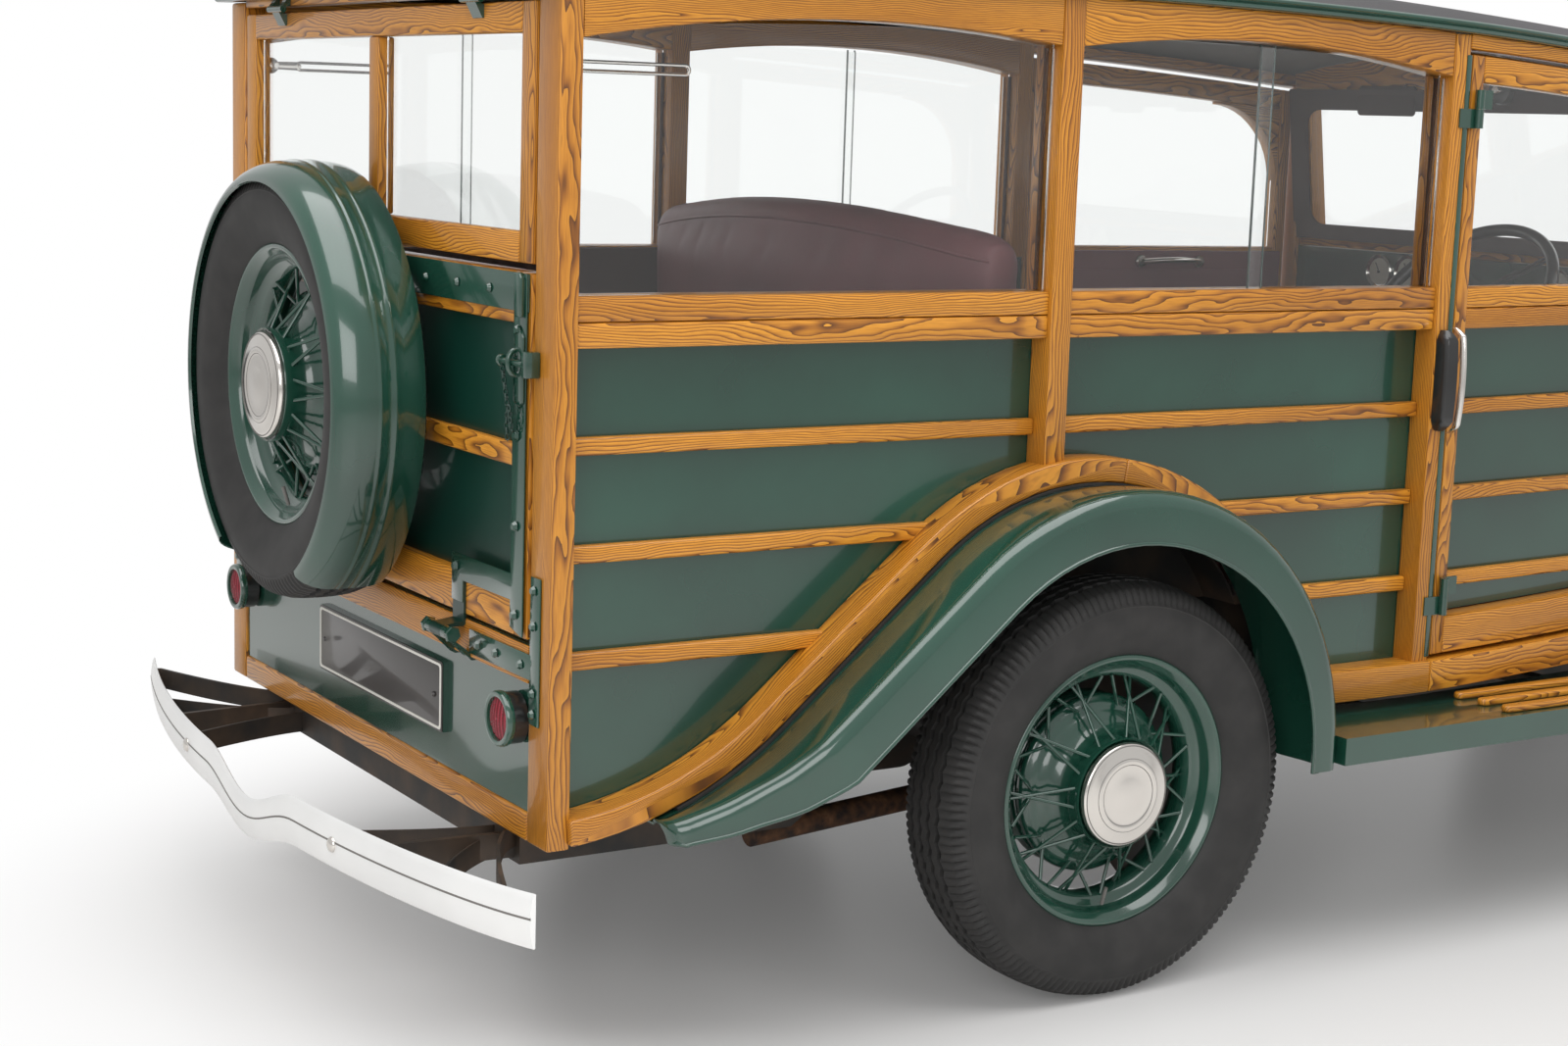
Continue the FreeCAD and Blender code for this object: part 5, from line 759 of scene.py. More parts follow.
# %% Spokes round the axle
def spin_tree():
    """Tree that turns copies of its geometry about the Y axis."""
    tree, start, (line, place, turn, index, share, angle, axis) = open_tree(
        "copies_round_axle", (("Count", "Int"),), (
            "GeometryNodeMeshLine", "GeometryNodeInstanceOnPoints", "GeometryNodeRotateInstances",
            "GeometryNodeInputIndex", "ShaderNodeMath", "ShaderNodeMath", "ShaderNodeCombineXYZ"))
    line.inputs["Offset"].default_value = (0, 0, 0)
    share.operation, angle.operation = "DIVIDE", "MULTIPLY"
    angle.inputs[1].default_value = 2 * math.pi
    turn.inputs["Local Space"].default_value = False
    wired(tree, ((start, "Count", line, "Count"), (line, "Mesh", place, "Points"),
                 (start, "Geometry", place, "Instance"), (place, "Instances", turn, "Instances"),
                 (index, "Index", share, 0), (start, "Count", share, 1), (share, "Value", angle, 0),
                 (angle, "Value", axis, "Y"), (axis, "Vector", turn, "Rotation")))
    return close_tree(tree, start, turn)


pair = Form()
for lean_angle in (20, -20):
    a, b = math.radians(lean_angle * 0.3), math.radians(lean_angle)
    hub_end = (88 * math.sin(a), 60, 88 * math.cos(a))
    rim_end = (194 * math.sin(b), -6, 194 * math.cos(b))
    pair.tube([hub_end, rim_end], 3.2, 8)
    c = math.radians(18 + lean_angle * 0.75)
    d = math.radians(18 + lean_angle * 0.1)
    pair.tube([(140 * math.sin(d), -2, 140 * math.cos(d)), (196 * math.sin(c), 12, 196 * math.cos(c))], 3.2, 8)
spokes = repeated(pair, spin_tree(), {"Count": 10}, green)
print("spokes:", len(spokes.faces), "faces from", len(pair.faces))

# %% [markdown]
# Rim, hub shell, drum and cap are turned from their half sections, as they were spun or
# turned in the works. The rim's deep step and the shell's shoulders are what the eye reads, so
# the sections have many points there and few elsewhere.

# %% Rims, hubs and caps
def wheel_form(drum=True):
    """Wheel about the origin, its outer side towards +Y; slots: paint, bright metal, dark grey with painted groove
    shade.
    """
    form = Form()
    form.turned([(234, 55), (238, 53.5), (240, 50), (239, 46), (234, 46), (229, 42), (224, 40), (221, 34), (220, 20),
                 (216, 14), (206, 12), (202, 8), (199, 0), (197, -14), (203, -26), (214, -32), (222, -40), (230, -46),
                 (238, -47), (240, -52), (236, -55), (231, -53), (226, -48), (216, -40), (204, -36), (194, -28),
                 (190, -14), (192, 2), (196, 12), (202, 17), (211, 20), (215, 26), (216, 36), (220, 44), (227, 49),
                 (230, 54)], (0, 0, 0), steps=120)
    form.turned([(0, 60), (86, 60), (93, 69), (96, 72), (97.5, 68), (96, 58), (95, 44), (98, 30), (106, 19),
                 (118, 11), (131, 6), (133, 3), (137, 2), (148, -3), (150, -6), (154, -7), (158, -12), (159, -19),
                 (156, -24), (127, -32), (24.5, -32), (24.5, 50), (0, 50)], (0, 0, 0), steps=96)
    if drum:
        form.turned([(127, -18), (138, -20), (142, -26), (144, -34), (152, -36), (156, -42), (157, -60), (152, -64),
                     (152, -76), (60, -76), (60, -34), (127, -32)], (0, 0, 0), steps=96)
    form.turned([(90.5, 70), (90.5, 78), (88, 81), (80, 83), (66, 84.5), (62, 86.5), (56, 87), (53, 85.5), (50, 85),
                 (30, 87.5), (12, 89.2), (0, 89.6), (0, 76), (84, 70)], (0, 0, 0), steps=96, slot=1)
    # Thin dark grey rings on the cap are painted shade in its grooves.
    for r, a in ((53.6, 85.5), (64, 85.0), (86, 81.8)):
        form.turned([(r - 0.9, a), (r - 0.4, a + 0.7), (r + 0.4, a + 0.6), (r + 0.9, a - 0.2)], (0, 0, 0),
                    steps=96, slot=2)
    form.tube([(0, 30 + 2.5 * i, -208 + 8 * i) for i in range(5)], 3.4, 10, slot=2)
    return form.join(spokes)


# %% [markdown]
# A tyre could be turned as well, but its tread isn't round: the grooves run in a zigzag. It is
# a loft of sections round the wheel instead, each with its grooves a little to one side, and
# every third section is notched at the shoulder. All five wheels share the form.


# %% Tyres and the four wheels
def tyre_form(steps=450):
    """Tyre with a zigzag ribbed tread and a notch at every third step of its shoulders."""
    side = [(234, 45), (238, 52), (246, 60), (252, 63.5), (256, 66), (270, 73), (286, 79), (302, 82), (316, 81.5),
            (326, 79.5), (328, 80.2), (330, 79), (338, 76.5), (345, 73.5), (351, 69.5), (355, 66), (358, 62.5)]
    tread = []
    for centre in (-36, -12, 12, 36):
        tread += [(centre - 5.0, 0), (centre - 3.4, 1), (centre + 3.4, 1), (centre + 5.0, 0)]
    profile = [(r, -a, 0) for r, a in side]
    profile += [(None, a, g) for a, g in tread]
    profile += [(r, a, 0) for r, a in side[::-1]]
    rings = []
    for i in range(steps):
        angle = 2 * math.pi * i / steps
        notch = 1 if i % 3 == 0 else 0
        zig = 3.0 * (abs((i * 75 * 2 / steps) % 2 - 1) * 2 - 1)
        ring = []
        for r, a, groove in profile:
            if r is None:
                a += zig
                r = 366.2 - 4.6 * (abs(a) / 58) ** 2.4 - 8 * groove
            elif 337 < r < 359:
                r -= 3.6 * notch
                a -= math.copysign(2.6 * notch, a)
            ring.append((r * math.sin(angle), a, r * math.cos(angle)))
        rings.append(ring)
    return Form().loft(rings, round_trip=True)


def placed(form, x, y, z, flip=False):
    """Wheel set on its axle; flip turns its face to the car's right."""
    if flip:
        return form.moved(lambda p: (x - p.x, y - p.y, z + p.z))
    return form.moved(lambda p: (x + p.x, y + p.y, z + p.z))


wheel, tyre = wheel_form(), tyre_form()
for end, x, half in (("rear", 0, TRACK_REAR / 2), ("front", WHEELBASE, TRACK_FRONT / 2)):
    for side, sign in (("left", 1), ("right", -1)):
        body = f"wheel_{end}_{side}"
        placed(wheel, x, sign * half, TYRE_RADIUS, sign < 0).piece(
            f"{body}_wire", body, [green, chrome, dark_grey_and_groove_shade], "wheel_paint", [f"{end}_wheel_{side}"], sharp=50)
        placed(tyre, x, sign * half, TYRE_RADIUS, sign < 0).piece(
            f"{body}_tyre", body, rubber, "tyre_rubber", [f"{end}_tyre_{side}"], sharp=30)
print("wheels:", len(wheel.faces), "faces, tyres:", len(tyre.faces))

# %% [markdown]
# The spare rides on the gate with its cap to the rear, under a steel band that covers the
# tread and the inner shoulder. The band is rolled with two beads and is open at the foot, so
# its section is lofted along most of a circle. A turned ring would close the gap.

# %% Spare wheel and its cover
SPARE = (REAR - 20 - 82.5, 43.0, 1015.0)


def on_gate(form):
    """Wheel set on the gate, its cap to the rear."""
    return form.moved(lambda p: (SPARE[0] - p.y, SPARE[1] + p.x, SPARE[2] + p.z))


on_gate(wheel_form(drum=False)).piece("spare_wire", "tailgate", [green, chrome, dark_grey_and_groove_shade], "wheel_paint",
                                      ["spare_wheel"], sharp=50)
on_gate(tyre).piece("spare_tyre_rubber", "tailgate", rubber, "tyre_rubber", ["spare_tyre"], sharp=30)
band_outer = [(343, -86.5), (345, -90), (351, -89), (357.5, -84), (363.5, -77), (368.5, -68.5), (372.6, -59),
              (375.6, -48.5), (377.4, -37), (378, -25), (378.2, -21), (379.6, -18), (378.2, -15), (378.2, 5),
              (379.6, 8), (378.2, 11), (377.8, 24), (377, 36), (375.6, 46), (373.6, 54), (371, 60)]
section = band_outer + [(r - 3.4, a) for r, a in band_outer[::-1]]
FOOT_GAP = 32.0
rings = []
for i in range(101):
    # the band's open foot faces down, so the angle starts from there
    angle = math.radians(FOOT_GAP + (360 - 2 * FOOT_GAP) * i / 100)
    rings.append([(r * math.sin(angle + math.pi), -a, r * math.cos(angle + math.pi)) for r, a in section])
band = Form().loft(rings)
on_gate(band).piece("spare_band", "tailgate", green, "body_green", ["spare_cover"], sharp=60)
print("spare band:", len(band.faces), "faces")


# %% [markdown]
# A fender is one sheet pressed over a buck: a flat inner edge under the timber, a crowned
# middle, a rolled shoulder and a lip that turns down to a wired bead. A subdivided cage could
# give the crown, but not the crisp roll, so one section is written down and lofted.


# %% Section of a fender
def sheet_ring(base, normal, y_in, y_out, lip, flat):
    """Section of a fender: outer skin, beaded lip, and the skin's inner side."""
    edge, crown, sheet = 26.0, 9.0, 4.0
    middle, swell = (y_in + flat + y_out - edge) / 2, crown * 0.8
    lip = max(lip, edge + 8)
    outer = [(y_in, 0), (y_in + flat - 4, 0), (y_in + flat + 4, 1.4), ((y_in + flat + middle) / 2, swell * 0.66),
             (middle, swell), ((middle + y_out - edge) / 2, crown * 0.97)]
    turns = [math.radians(90 * i / 7) for i in range(8)]
    outer += [(y_out - edge + edge * math.sin(t), crown - edge + edge * math.cos(t)) for t in turns]
    foot = crown - lip
    bead = [(y_out + 3.6 * math.sin(t), foot + 3.6 * math.cos(t)) for t in np.radians(range(0, 271, 45))]
    r = edge - sheet
    inner = [(y_out - edge + r * math.sin(t), crown - edge + r * math.cos(t)) for t in turns[::-1]]
    inner += [(middle, swell - sheet), (y_in + flat, -sheet), (y_in, -sheet)]
    return [(base[0] + normal[0] * h, y, base[1] + normal[1] * h) for y, h in outer + bead + inner]


def steer_normal(angle):
    """Direction away from the wheel at an angle from the top."""
    turn = math.radians(angle)
    return (-math.sin(turn), math.cos(turn))


def smooth(stops, place):
    """Value of a list of stops at a place, eased between them."""
    for (x0, a), (x1, b) in zip(stops, stops[1:]):
        if place <= x1:
            t = (place - x0) / (x1 - x0)
            return a + (b - a) * (t * t * (3 - 2 * t) * 0.3 + t * 0.7)
    return stops[-1][1]


# %% [markdown]
# The section is carried over the rear wheel and drawn thin towards the tail, where it ends
# in a rounded tip. At the front it runs on down into the running board. Its outer edge and
# the depth of its lip are eased between a few stops.

# %% Fenders
OUT = 851.0
inner_edge, flat_part, drop = PANEL + 0.3, 69.0, -5.0
rings = []
foot = on_arch(-90, drop)
for share in (0, 0.06, 0.5):
    y_out, lip = (OUT, 65) if share else (OUT - 10, 44)
    rings.append(sheet_ring((foot[0], 370 + (foot[1] - 370) * share), steer_normal(-90),
                            inner_edge, y_out, lip, flat_part))
for i in range(27):
    angle = -90 + (ARCH_END + 90) * i / 26
    rings.append(sheet_ring(on_arch(angle, drop), steer_normal(angle),
                            inner_edge, OUT, 65 + 22 * min(2 * i / 26, 1), flat_part))
start, stop = on_arch(ARCH_END, drop), on_tail(ARCH_END, drop)
for i in range(1, 8):
    share = i / 8
    rings.append(sheet_ring((start[0] + (stop[0] - start[0]) * share, start[1] + (stop[1] - start[1]) * share),
                            steer_normal(ARCH_END), inner_edge, OUT, 87, flat_part))
width = [(0.46, 772), (0.66, 804), (0.86, 835), (1.0, 851)]
lips = [(0.46, 38), (0.66, 54), (0.86, 75), (1.0, 87)]
shares = [1.0 - 0.54 * i / 16 for i in range(17)]
tip = [(share, smooth(width, share), smooth(lips, share), flat_part) for share in shares]
tip += [(share, y_out, 34, flat_part - 8) for share, y_out in ((0.445, 766), (0.435, 757), (0.43, 744))]
for share, y_out, lip, flat_width in tip:
    angle = ARCH_END * share
    rings.append(sheet_ring(on_tail(angle, drop), steer_normal(angle), inner_edge, y_out, lip, flat_width))
rear_fender = Form().loft(rings)
rear_fenders = Form().join(rear_fender, rear_fender.mirrored())
rear_fenders.piece("fenders_rear", "body", green, "body_green", ["rear_fenders"], sharp=50)


def on_front(angle, offset=0.0):
    """Point on the round of the front fender, the angle running from the top to the rear."""
    turn, radius = math.radians(angle), FRONT_ARCH_RADIUS + offset
    return (WHEELBASE - radius * math.sin(turn), FRONT_ARCH_Z + radius * math.cos(turn))


APRON_SIDE = 434
rings = []
for i in range(27):
    angle = -100 + (FRONT_ARCH_END + 100) * i / 26
    out = OUT * smooth([(-100, 0.97), (-75, 0.99), (-45, 1.0), (FRONT_ARCH_END, 1.0)], angle)
    rings.append(sheet_ring(on_front(angle), steer_normal(angle), APRON_SIDE, out, 87, 0))
slope = math.radians(FRONT_ARCH_END)
start = on_front(FRONT_ARCH_END)
length = (start[1] - BOARD_TOP) / math.sin(slope)
stop = (start[0] - length * math.cos(slope), BOARD_TOP)
spread = narrowed(PANEL + 62, stop[0]) - APRON_SIDE
for i in range(1, 15):
    share = i / 14
    y_in = APRON_SIDE + spread * smooth([(0, 0), (0.35, 0.2), (0.7, 0.6), (1.0, 1.0)], share)
    rings.append(sheet_ring((start[0] + (stop[0] - start[0]) * share, start[1] + (stop[1] - start[1]) * share),
                            steer_normal(FRONT_ARCH_END), y_in, OUT, 87 - 37 * share, 0))
front_fender = Form().loft(rings)
print("fenders:", len(rear_fender.faces), "and", len(front_fender.faces), "faces")

# %% [markdown]
# The front fenders share their node with the inner aprons, so the new skin carries a copy of
# the plain apron's plate, bent from the fender down to the frame rail.

# %% Front fenders with their aprons
skin = []
for i in range(25):
    x, top = on_front(-75 + 150 * i / 24, -5)
    column = [(APRON_SIDE, max(top, 550)), (APRON_SIDE, 549), (391, 538), (346, 526.5)]
    back = [(x, y - 4, z - 2) for y, z in column[:0:-1]] + [(x, column[0][0] - 4, column[0][1])]
    skin.append([(x, y, z) for y, z in column] + back)
apron = Form().loft(skin[::-1])
both_front = Form().join(front_fender, front_fender.mirrored(), apron, apron.mirrored())
both_front.piece("fenders_front", "body", green, "body_green", ["front_fenders"], sharp=50)
print("aprons:", len(apron.faces), "faces each")

# %% [markdown]
# The roof is slats under padding and a stretched pebbled fabric. Its edge is tacked down under
# a double-rounded drip moulding, and inside hangs a pale cloth lining. Fabric that is pulled
# tight has no folds, so it is lofted from arcs that flatten towards both ends.


# %% Roof, lining and drip moulding
ROOF_REAR, ROOF_FRONT = -1068, 1672
rings, lining_rings = [], []
for i in range(45):
    x = ROOF_REAR + (ROOF_FRONT - ROOF_REAR) * i / 44
    half, base = narrowed(HALF, x), drip(x) + 0.3
    ends = min((x - ROOF_REAR) / 60, (ROOF_FRONT - x) / 90, 1.0)
    crown = CANT_RISE - 10 * (1 - ends) ** 2
    top = base + ROOF_RISE - 14 * (1 - ends) ** 2
    arc = []
    for k in range(25):
        y = half * (1 - 2 * k / 24)
        rise = crown * (1 - (y / half) ** 2)
        round_off = 12 * max(abs(y / half) - 0.96, 0) / 0.04
        arc.append((x, y, top + rise - round_off))
    under = [(x, -y, base + 6 + CANT_RISE * (1 - (y / half) ** 2)) for _, y, _ in arc]
    rings.append(arc + under)
    cloth = [(x, y * 0.985, z - 5.7) for _, y, z in under]
    lining_rings.append([(x, y, z + 5) for x, y, z in cloth[::-1]] + cloth)
roof = Form().loft(rings, slot=0)
roof.join(Form().loft(lining_rings, slot=1))
roof.piece("roof_cloth", "body", [cloth_top, lining], "roof_fabric", ["roof"], sharp=50)

moulding = [(0, 0), (7, 0), (11, 1.6), (13, 4.6), (12.4, 8), (9.6, 10.4), (12.6, 12.4), (15.6, 15), (15.8, 18.6),
            (13, 21.4), (8, 22), (0, 22)]
line = [ROOF_REAR + (ROOF_FRONT - ROOF_REAR) * i / 60 for i in range(61)]
side = Form().loft([[(x, narrowed(HALF + 0.3, x) + out, drip(x) + rise) for out, rise in moulding] for x in line])
tail = Form().loft([[(ROOF_REAR - 0.3 - out, y, drip(ROOF_REAR) + rise) for out, rise in moulding]
                    for y in np.linspace(-704, 704, 9)])
gutter = Form().join(side, side.mirrored(), tail)
gutter.piece("drip_beading", "body", green, "body_green", ["drip_moulding"], sharp=40)
print("roof:", len(roof.faces), "faces")

# %% [markdown]
# Both bumpers are spring-steel bars, bowed in plan, dipped in the middle and grooved along
# their length. The bow and the dip are formulas of the place along the bar, so one function
# draws both bars, and the groove follows them as a dark strip of painted shade. Round-headed bolts hold them to flat
# irons.


# %% Bumpers
def bumper(face, direction):
    """Bowed bar with a crowned face; its engraved line is a fine dark strip of painted shade."""
    form = Form()
    stations = [-1 + 2 * i / 96 for i in range(97)]

    def at(share, depth, rise):
        y = share * BUMPER_HALF
        dip = 0.5 + 0.5 * math.cos(math.pi * min(abs(y) / 215, 1))
        low, high = 278 - 36 * dip + 8 * share ** 8, 364 - 50 * dip + 8 * share ** 8
        return (face + direction * (BUMPER_BOW * share * share + depth), y, low + (high - low) * rise)

    crown = [(6.4 * (2 * rise - 1) ** 2, rise) for rise in (i / 14 for i in range(15))]
    crown[0], crown[-1] = (7.4, 0.012), (7.4, 0.988)
    bar = crown + [(9.2, 0.97), (9.2, 0.03)]
    strip = [(-0.5, 0.535), (-0.5, 0.565), (1.2, 0.58), (1.2, 0.52)]
    # Slot 2 is the thin dark strip, painted shade standing for the engraved groove.
    for slot, section in ((0, bar), (2, strip)):
        form.loft([[at(share, depth, rise) for depth, rise in section] for share in stations], slot=slot)
    return form


bars = Form().join(bumper(BUMPER_REAR, 1), bumper(BUMPER_FRONT, -1))
bolts = Form()
for side in (-1, 1):
    for face, direction, y in ((BUMPER_REAR, 1, 354), (BUMPER_FRONT, -1, 380)):
        x = face + direction * (BUMPER_BOW * (y / BUMPER_HALF) ** 2 + 1.5)
        dome = [(0, -8), (6, -7.4), (10.5, -5.4), (13, -2), (13, 2), (0, 2)]
        bolts.turned([(r, direction * a) for r, a in dome], (x, side * y, 320), (1, 0, 0), 28, slot=1)
bars.join(bolts)
irons = Form()
for y0, y1, x1, height in ((470, 640, -1203, 322), (430, 354, -1247, 322), (510, 800, -1168, 346)):
    line = [(-1010 + (x1 + 1010) * t, y0 + (y1 - y0) * (t ** 1.5), height) for t in (i / 12 for i in range(13))]
    irons.loft([[(x - 4, y, z - 19), (x + 4, y - 3, z - 19), (x + 4, y - 3, z + 19), (x - 4, y, z + 19)]
                for x, y, z in line])
irons.join(irons.mirrored())
irons.piece("bumper_irons", "body", chassis_black, "chassis_black", sharp=30)
bars.piece("bumper_bars", "body", [satin_silver, chrome, dark_grey_and_groove_shade], "bumper_metal", ["bumpers"], sharp=50)
print("bumpers:", len(bars.faces), "faces")

# %% [markdown]
# Rivets, screws and bolts sit at places that follow the irons they hold. A second tree takes
# those places as points and sets a turned head on each, with the number of sides, the radius
# and the height as named inputs: six sides make a bolt, sixteen a rivet.


# %% Heads on points
def stud_tree():
    """Tree that sets a bevelled head on every point of its mesh."""
    tree, start, (head, narrow, spots, place) = open_tree("heads_on_points", (
        ("Sides", "Int"), ("Radius", "Float"), ("Height", "Float"), ("Turn", "Vector")), (
        "GeometryNodeMeshCone", "ShaderNodeMath", "GeometryNodeMeshToPoints", "GeometryNodeInstanceOnPoints"))
    narrow.operation = "MULTIPLY"
    narrow.inputs[1].default_value = 0.62
    wired(tree, ((start, "Radius", narrow, 0), (start, "Sides", head, "Vertices"),
                 (narrow, "Value", head, "Radius Top"), (start, "Radius", head, "Radius Bottom"),
                 (start, "Height", head, "Depth"), (start, "Geometry", spots, "Mesh"),
                 (spots, "Points", place, "Points"), (head, "Mesh", place, "Instance"),
                 (start, "Turn", place, "Rotation")))
    return close_tree(tree, start, place)


studder = stud_tree()
REARWARD, UPWARD = (0, -math.pi / 2, 0), (0, 0, 0)


def studs(places, sides=6, radius=7.0, height=5.0, turn=REARWARD, material=None):
    """Heads at places, standing out along the way that turn names."""
    sizes = {"Sides": sides, "Radius": radius, "Height": height, "Turn": turn}
    return repeated(Form().add(places, []), studder, sizes, material or green)


def both_sides(places):
    """Each place and its mirror image."""
    return [(x, side * y, z) for x, y, z in places for side in (-1, 1)]


print("heads:", len(studs([(0, 0, 0)]).faces), "faces each")

# %% [markdown]
# The gate hangs on flat irons. One lies along its top, two run down its edges and turn inward
# over the hinges, each cut from flat bar and held with bolts. The irons are drawn as they
# would be cut, from the outline seen from behind. A staple on the right edge takes a pin
# that hangs on its own short chain.


# %% Gate irons and hinges
def flat(outline, near, thick=3.4, bevel=1.2):
    """Iron cut from flat bar, standing on the tail at a distance from it."""
    return Form().slab(outline, "x", REAR - near - thick, REAR - near, bevel)


irons = Form()
irons.join(flat([(-613, 1187), (613, 1187), (613, 1245.5), (-613, 1245.5)], 0.4))
edge_outline = [(571, 1246), (614, 1246), (614, 690), (571, 700), (571, 742), (397, 742), (397, 706), (355, 706),
                (355, 784), (571, 784)]
edge = flat(edge_outline, 3.9)
lug = flat([(588, 1180), (611, 1180), (611, 1238), (604, 1248), (588, 1248)], 7.4, 9.0, 3.0)
irons.join(edge, edge.mirrored(), lug, lug.mirrored())
irons.join(studs(both_sides([(REAR - 6.2, y, 1216) for y in (120, 240, 360, 480)]), 16, 7.5, 5))
edge_bolts = [(REAR - 9.6, y, z) for y, z in ((592, 1160), (592, 1000), (592, 860), (592, 722), (376, 763))]
irons.join(studs(both_sides(edge_bolts), 6, 8.5, 6))
staple = flat([(582, 1052), (600, 1044), (614, 1052), (614, 1150), (604, 1160), (590, 1160), (582, 1150)],
              7.4, 5.0, 2.0)
irons.join(staple.mirrored())
ring = [(REAR - 16 - 13 * math.cos(t), -598, 1112 + 19 * math.sin(t)) for t in np.radians(range(0, 360, 15))]
irons.tube(ring, 4.2, 10, close=True)
pin = (REAR - 21, -566, 1112)
irons.tube([pin, (REAR - 21, -636, 1112)], 5.2, 14)
irons.turned([(0, 0), (8.5, 0), (9.5, 2), (9.5, 8), (7, 10), (0, 10)], pin, (0, 1, 0), 20)
irons.piece("gate_irons", "tailgate", green, "body_green")

# %% [markdown]
# The pin's chain is a row of oval links along a hanging line. Laying them by hand would take
# a place and a turn for each. A third tree sets one link each `Pitch` along the line and
# turns every second one on edge, so that they thread.


# %% Chain of the gate's pin
def chain_tree():
    """Tree that threads links on a line, every second one turned on edge."""
    tree, start, (line, spots, oval, wire, skin, shape, place, index, odd, quarter, axis, turn) = open_tree(
        "links_on_line", (("Pitch", "Float"), ("Wire", "Float")), (
            "GeometryNodeMeshToCurve", "GeometryNodeCurveToPoints", "GeometryNodeCurvePrimitiveCircle",
            "GeometryNodeCurvePrimitiveCircle", "GeometryNodeCurveToMesh", "GeometryNodeTransform",
            "GeometryNodeInstanceOnPoints", "GeometryNodeInputIndex", "ShaderNodeMath", "ShaderNodeMath",
            "ShaderNodeCombineXYZ", "GeometryNodeRotateInstances"))
    spots.mode = "LENGTH"
    oval.inputs["Resolution"].default_value = 14
    oval.inputs["Radius"].default_value = 5.2
    wire.inputs["Resolution"].default_value = 7
    shape.inputs["Scale"].default_value = (0.62, 1.0, 1.25)
    shape.inputs["Rotation"].default_value = (math.pi / 2, 0, 0)
    odd.operation, quarter.operation = "MODULO", "MULTIPLY"
    odd.inputs[1].default_value = 2
    quarter.inputs[1].default_value = math.pi / 2
    wired(tree, ((start, "Geometry", line, "Mesh"), (line, "Curve", spots, "Curve"),
                 (start, "Pitch", spots, "Length"), (start, "Wire", wire, "Radius"), (oval, "Curve", skin, "Curve"),
                 (wire, "Curve", skin, "Profile Curve"), (skin, "Mesh", shape, "Geometry"),
                 (spots, "Points", place, "Points"), (shape, "Geometry", place, "Instance"),
                 (spots, "Rotation", place, "Rotation"), (place, "Instances", turn, "Instances"),
                 (index, "Index", odd, 0), (odd, "Value", quarter, 0), (quarter, "Value", axis, "Z"),
                 (axis, "Vector", turn, "Rotation")))
    return close_tree(tree, start, turn)


hang = [(REAR - 22, -563, 1108), (REAR - 20, -566, 1085), (REAR - 18, -574, 1050), (REAR - 17, -582, 1024),
        (REAR - 17, -590, 1008), (REAR - 21, -594, 1022), (REAR - 22, -590, 1044), (REAR - 19, -580, 1040),
        (REAR - 17, -572, 1016), (REAR - 17, -576, 994)]
smooth_hang = []
for i in range(len(hang) - 1):
    p0, p1, p2, p3 = (Vector(hang[min(max(i + k, 0), len(hang) - 1)]) for k in (-1, 0, 1, 2))
    for step in range(6):
        t = step / 6
        smooth_hang.append(0.5 * (2 * p1 + (p2 - p0) * t + (2 * p0 - 5 * p1 + 4 * p2 - p3) * t * t
                                  + (3 * p1 - p0 - 3 * p2 + p3) * t ** 3))
chain_line = bpy.data.meshes.new("chain_line")
chain_line.from_pydata([tuple(p) for p in smooth_hang], [(i, i + 1) for i in range(len(smooth_hang) - 1)], [])
chain = grown(chain_line, chain_tree(), {"Pitch": 8.6, "Wire": 1.5}, gate_shade_and_chain_green)
chain.piece("pin_chain", "tailgate", gate_shade_and_chain_green, "body_green", sharp=80)
print("chain:", len(chain.faces), "faces")

# %% [markdown]
# Below the gate a fixed rail of ash carries the hinge feet. Straps up the corner posts and
# out to the hinges tie rail, post and hinge together, and a pair of nuts closes each barrel.

# %% Fixed irons and rail of the tail
tail_rail = Form()
tail_rail.block(REAR - 0.6, REAR + 4.6, -625, 625, 620, 679, 2, "y")
tail_rail.piece("tail_rail", "body", ash, "ash")
fixed = Form()
post_strap = flat([(636, 560), (668, 560), (668, 790), (636, 790)], 0.6)
foot_strap = flat([(418, 628), (640, 628), (640, 668), (418, 668)], 1.0)
fixed.join(post_strap, post_strap.mirrored(), foot_strap, foot_strap.mirrored())
strap_bolts = [(REAR - 6.4, 652, z) for z in (770, 715, 610, 578)] + [(REAR - 6.6, y, 648) for y in (455, 520, 610)]
fixed.join(studs(both_sides(strap_bolts), 6, 8, 5))
barrel_nut = [(0, -5), (12.5, -5), (14, -3), (14, 3), (12.5, 5), (0, 5)]
for side in (-1, 1):
    for y in (330, 422):
        fixed.turned(barrel_nut, (REAR - 35, side * y, 661), (0, 1, 0), 6)
catch = flat([(632, 1092), (652, 1092), (652, 1132), (632, 1132)], 0.4, 24.0, 3.0)
fixed.join(catch.mirrored())
fixed.piece("tail_irons", "body", green, "body_green")

# %% [markdown]
# The plate is a blank pressing: black enamel, a white line round its edge, and a screw at each
# end. The line is a raised strip of its own, because it has to stay sharp from close by.

# %% Blank plate
plain_black, tree, surface = shader("plate_black", (0.035, 0.03, 0.028), 0.42, coat=0.4)
plain_white, tree, surface = shader("plate_line", (0.78, 0.76, 0.70), 0.5)


def rounded(y0, y1, z0, z1, radius, steps=5):
    """Outline with rounded corners."""
    points = []
    for cy, cz, start in ((y1 - radius, z1 - radius, 0), (y0 + radius, z1 - radius, 90),
                          (y0 + radius, z0 + radius, 180), (y1 - radius, z0 + radius, 270)):
        for i in range(steps + 1):
            angle = math.radians(start + 90 * i / steps)
            points.append((cy + radius * math.cos(angle), cz + radius * math.sin(angle)))
    return points


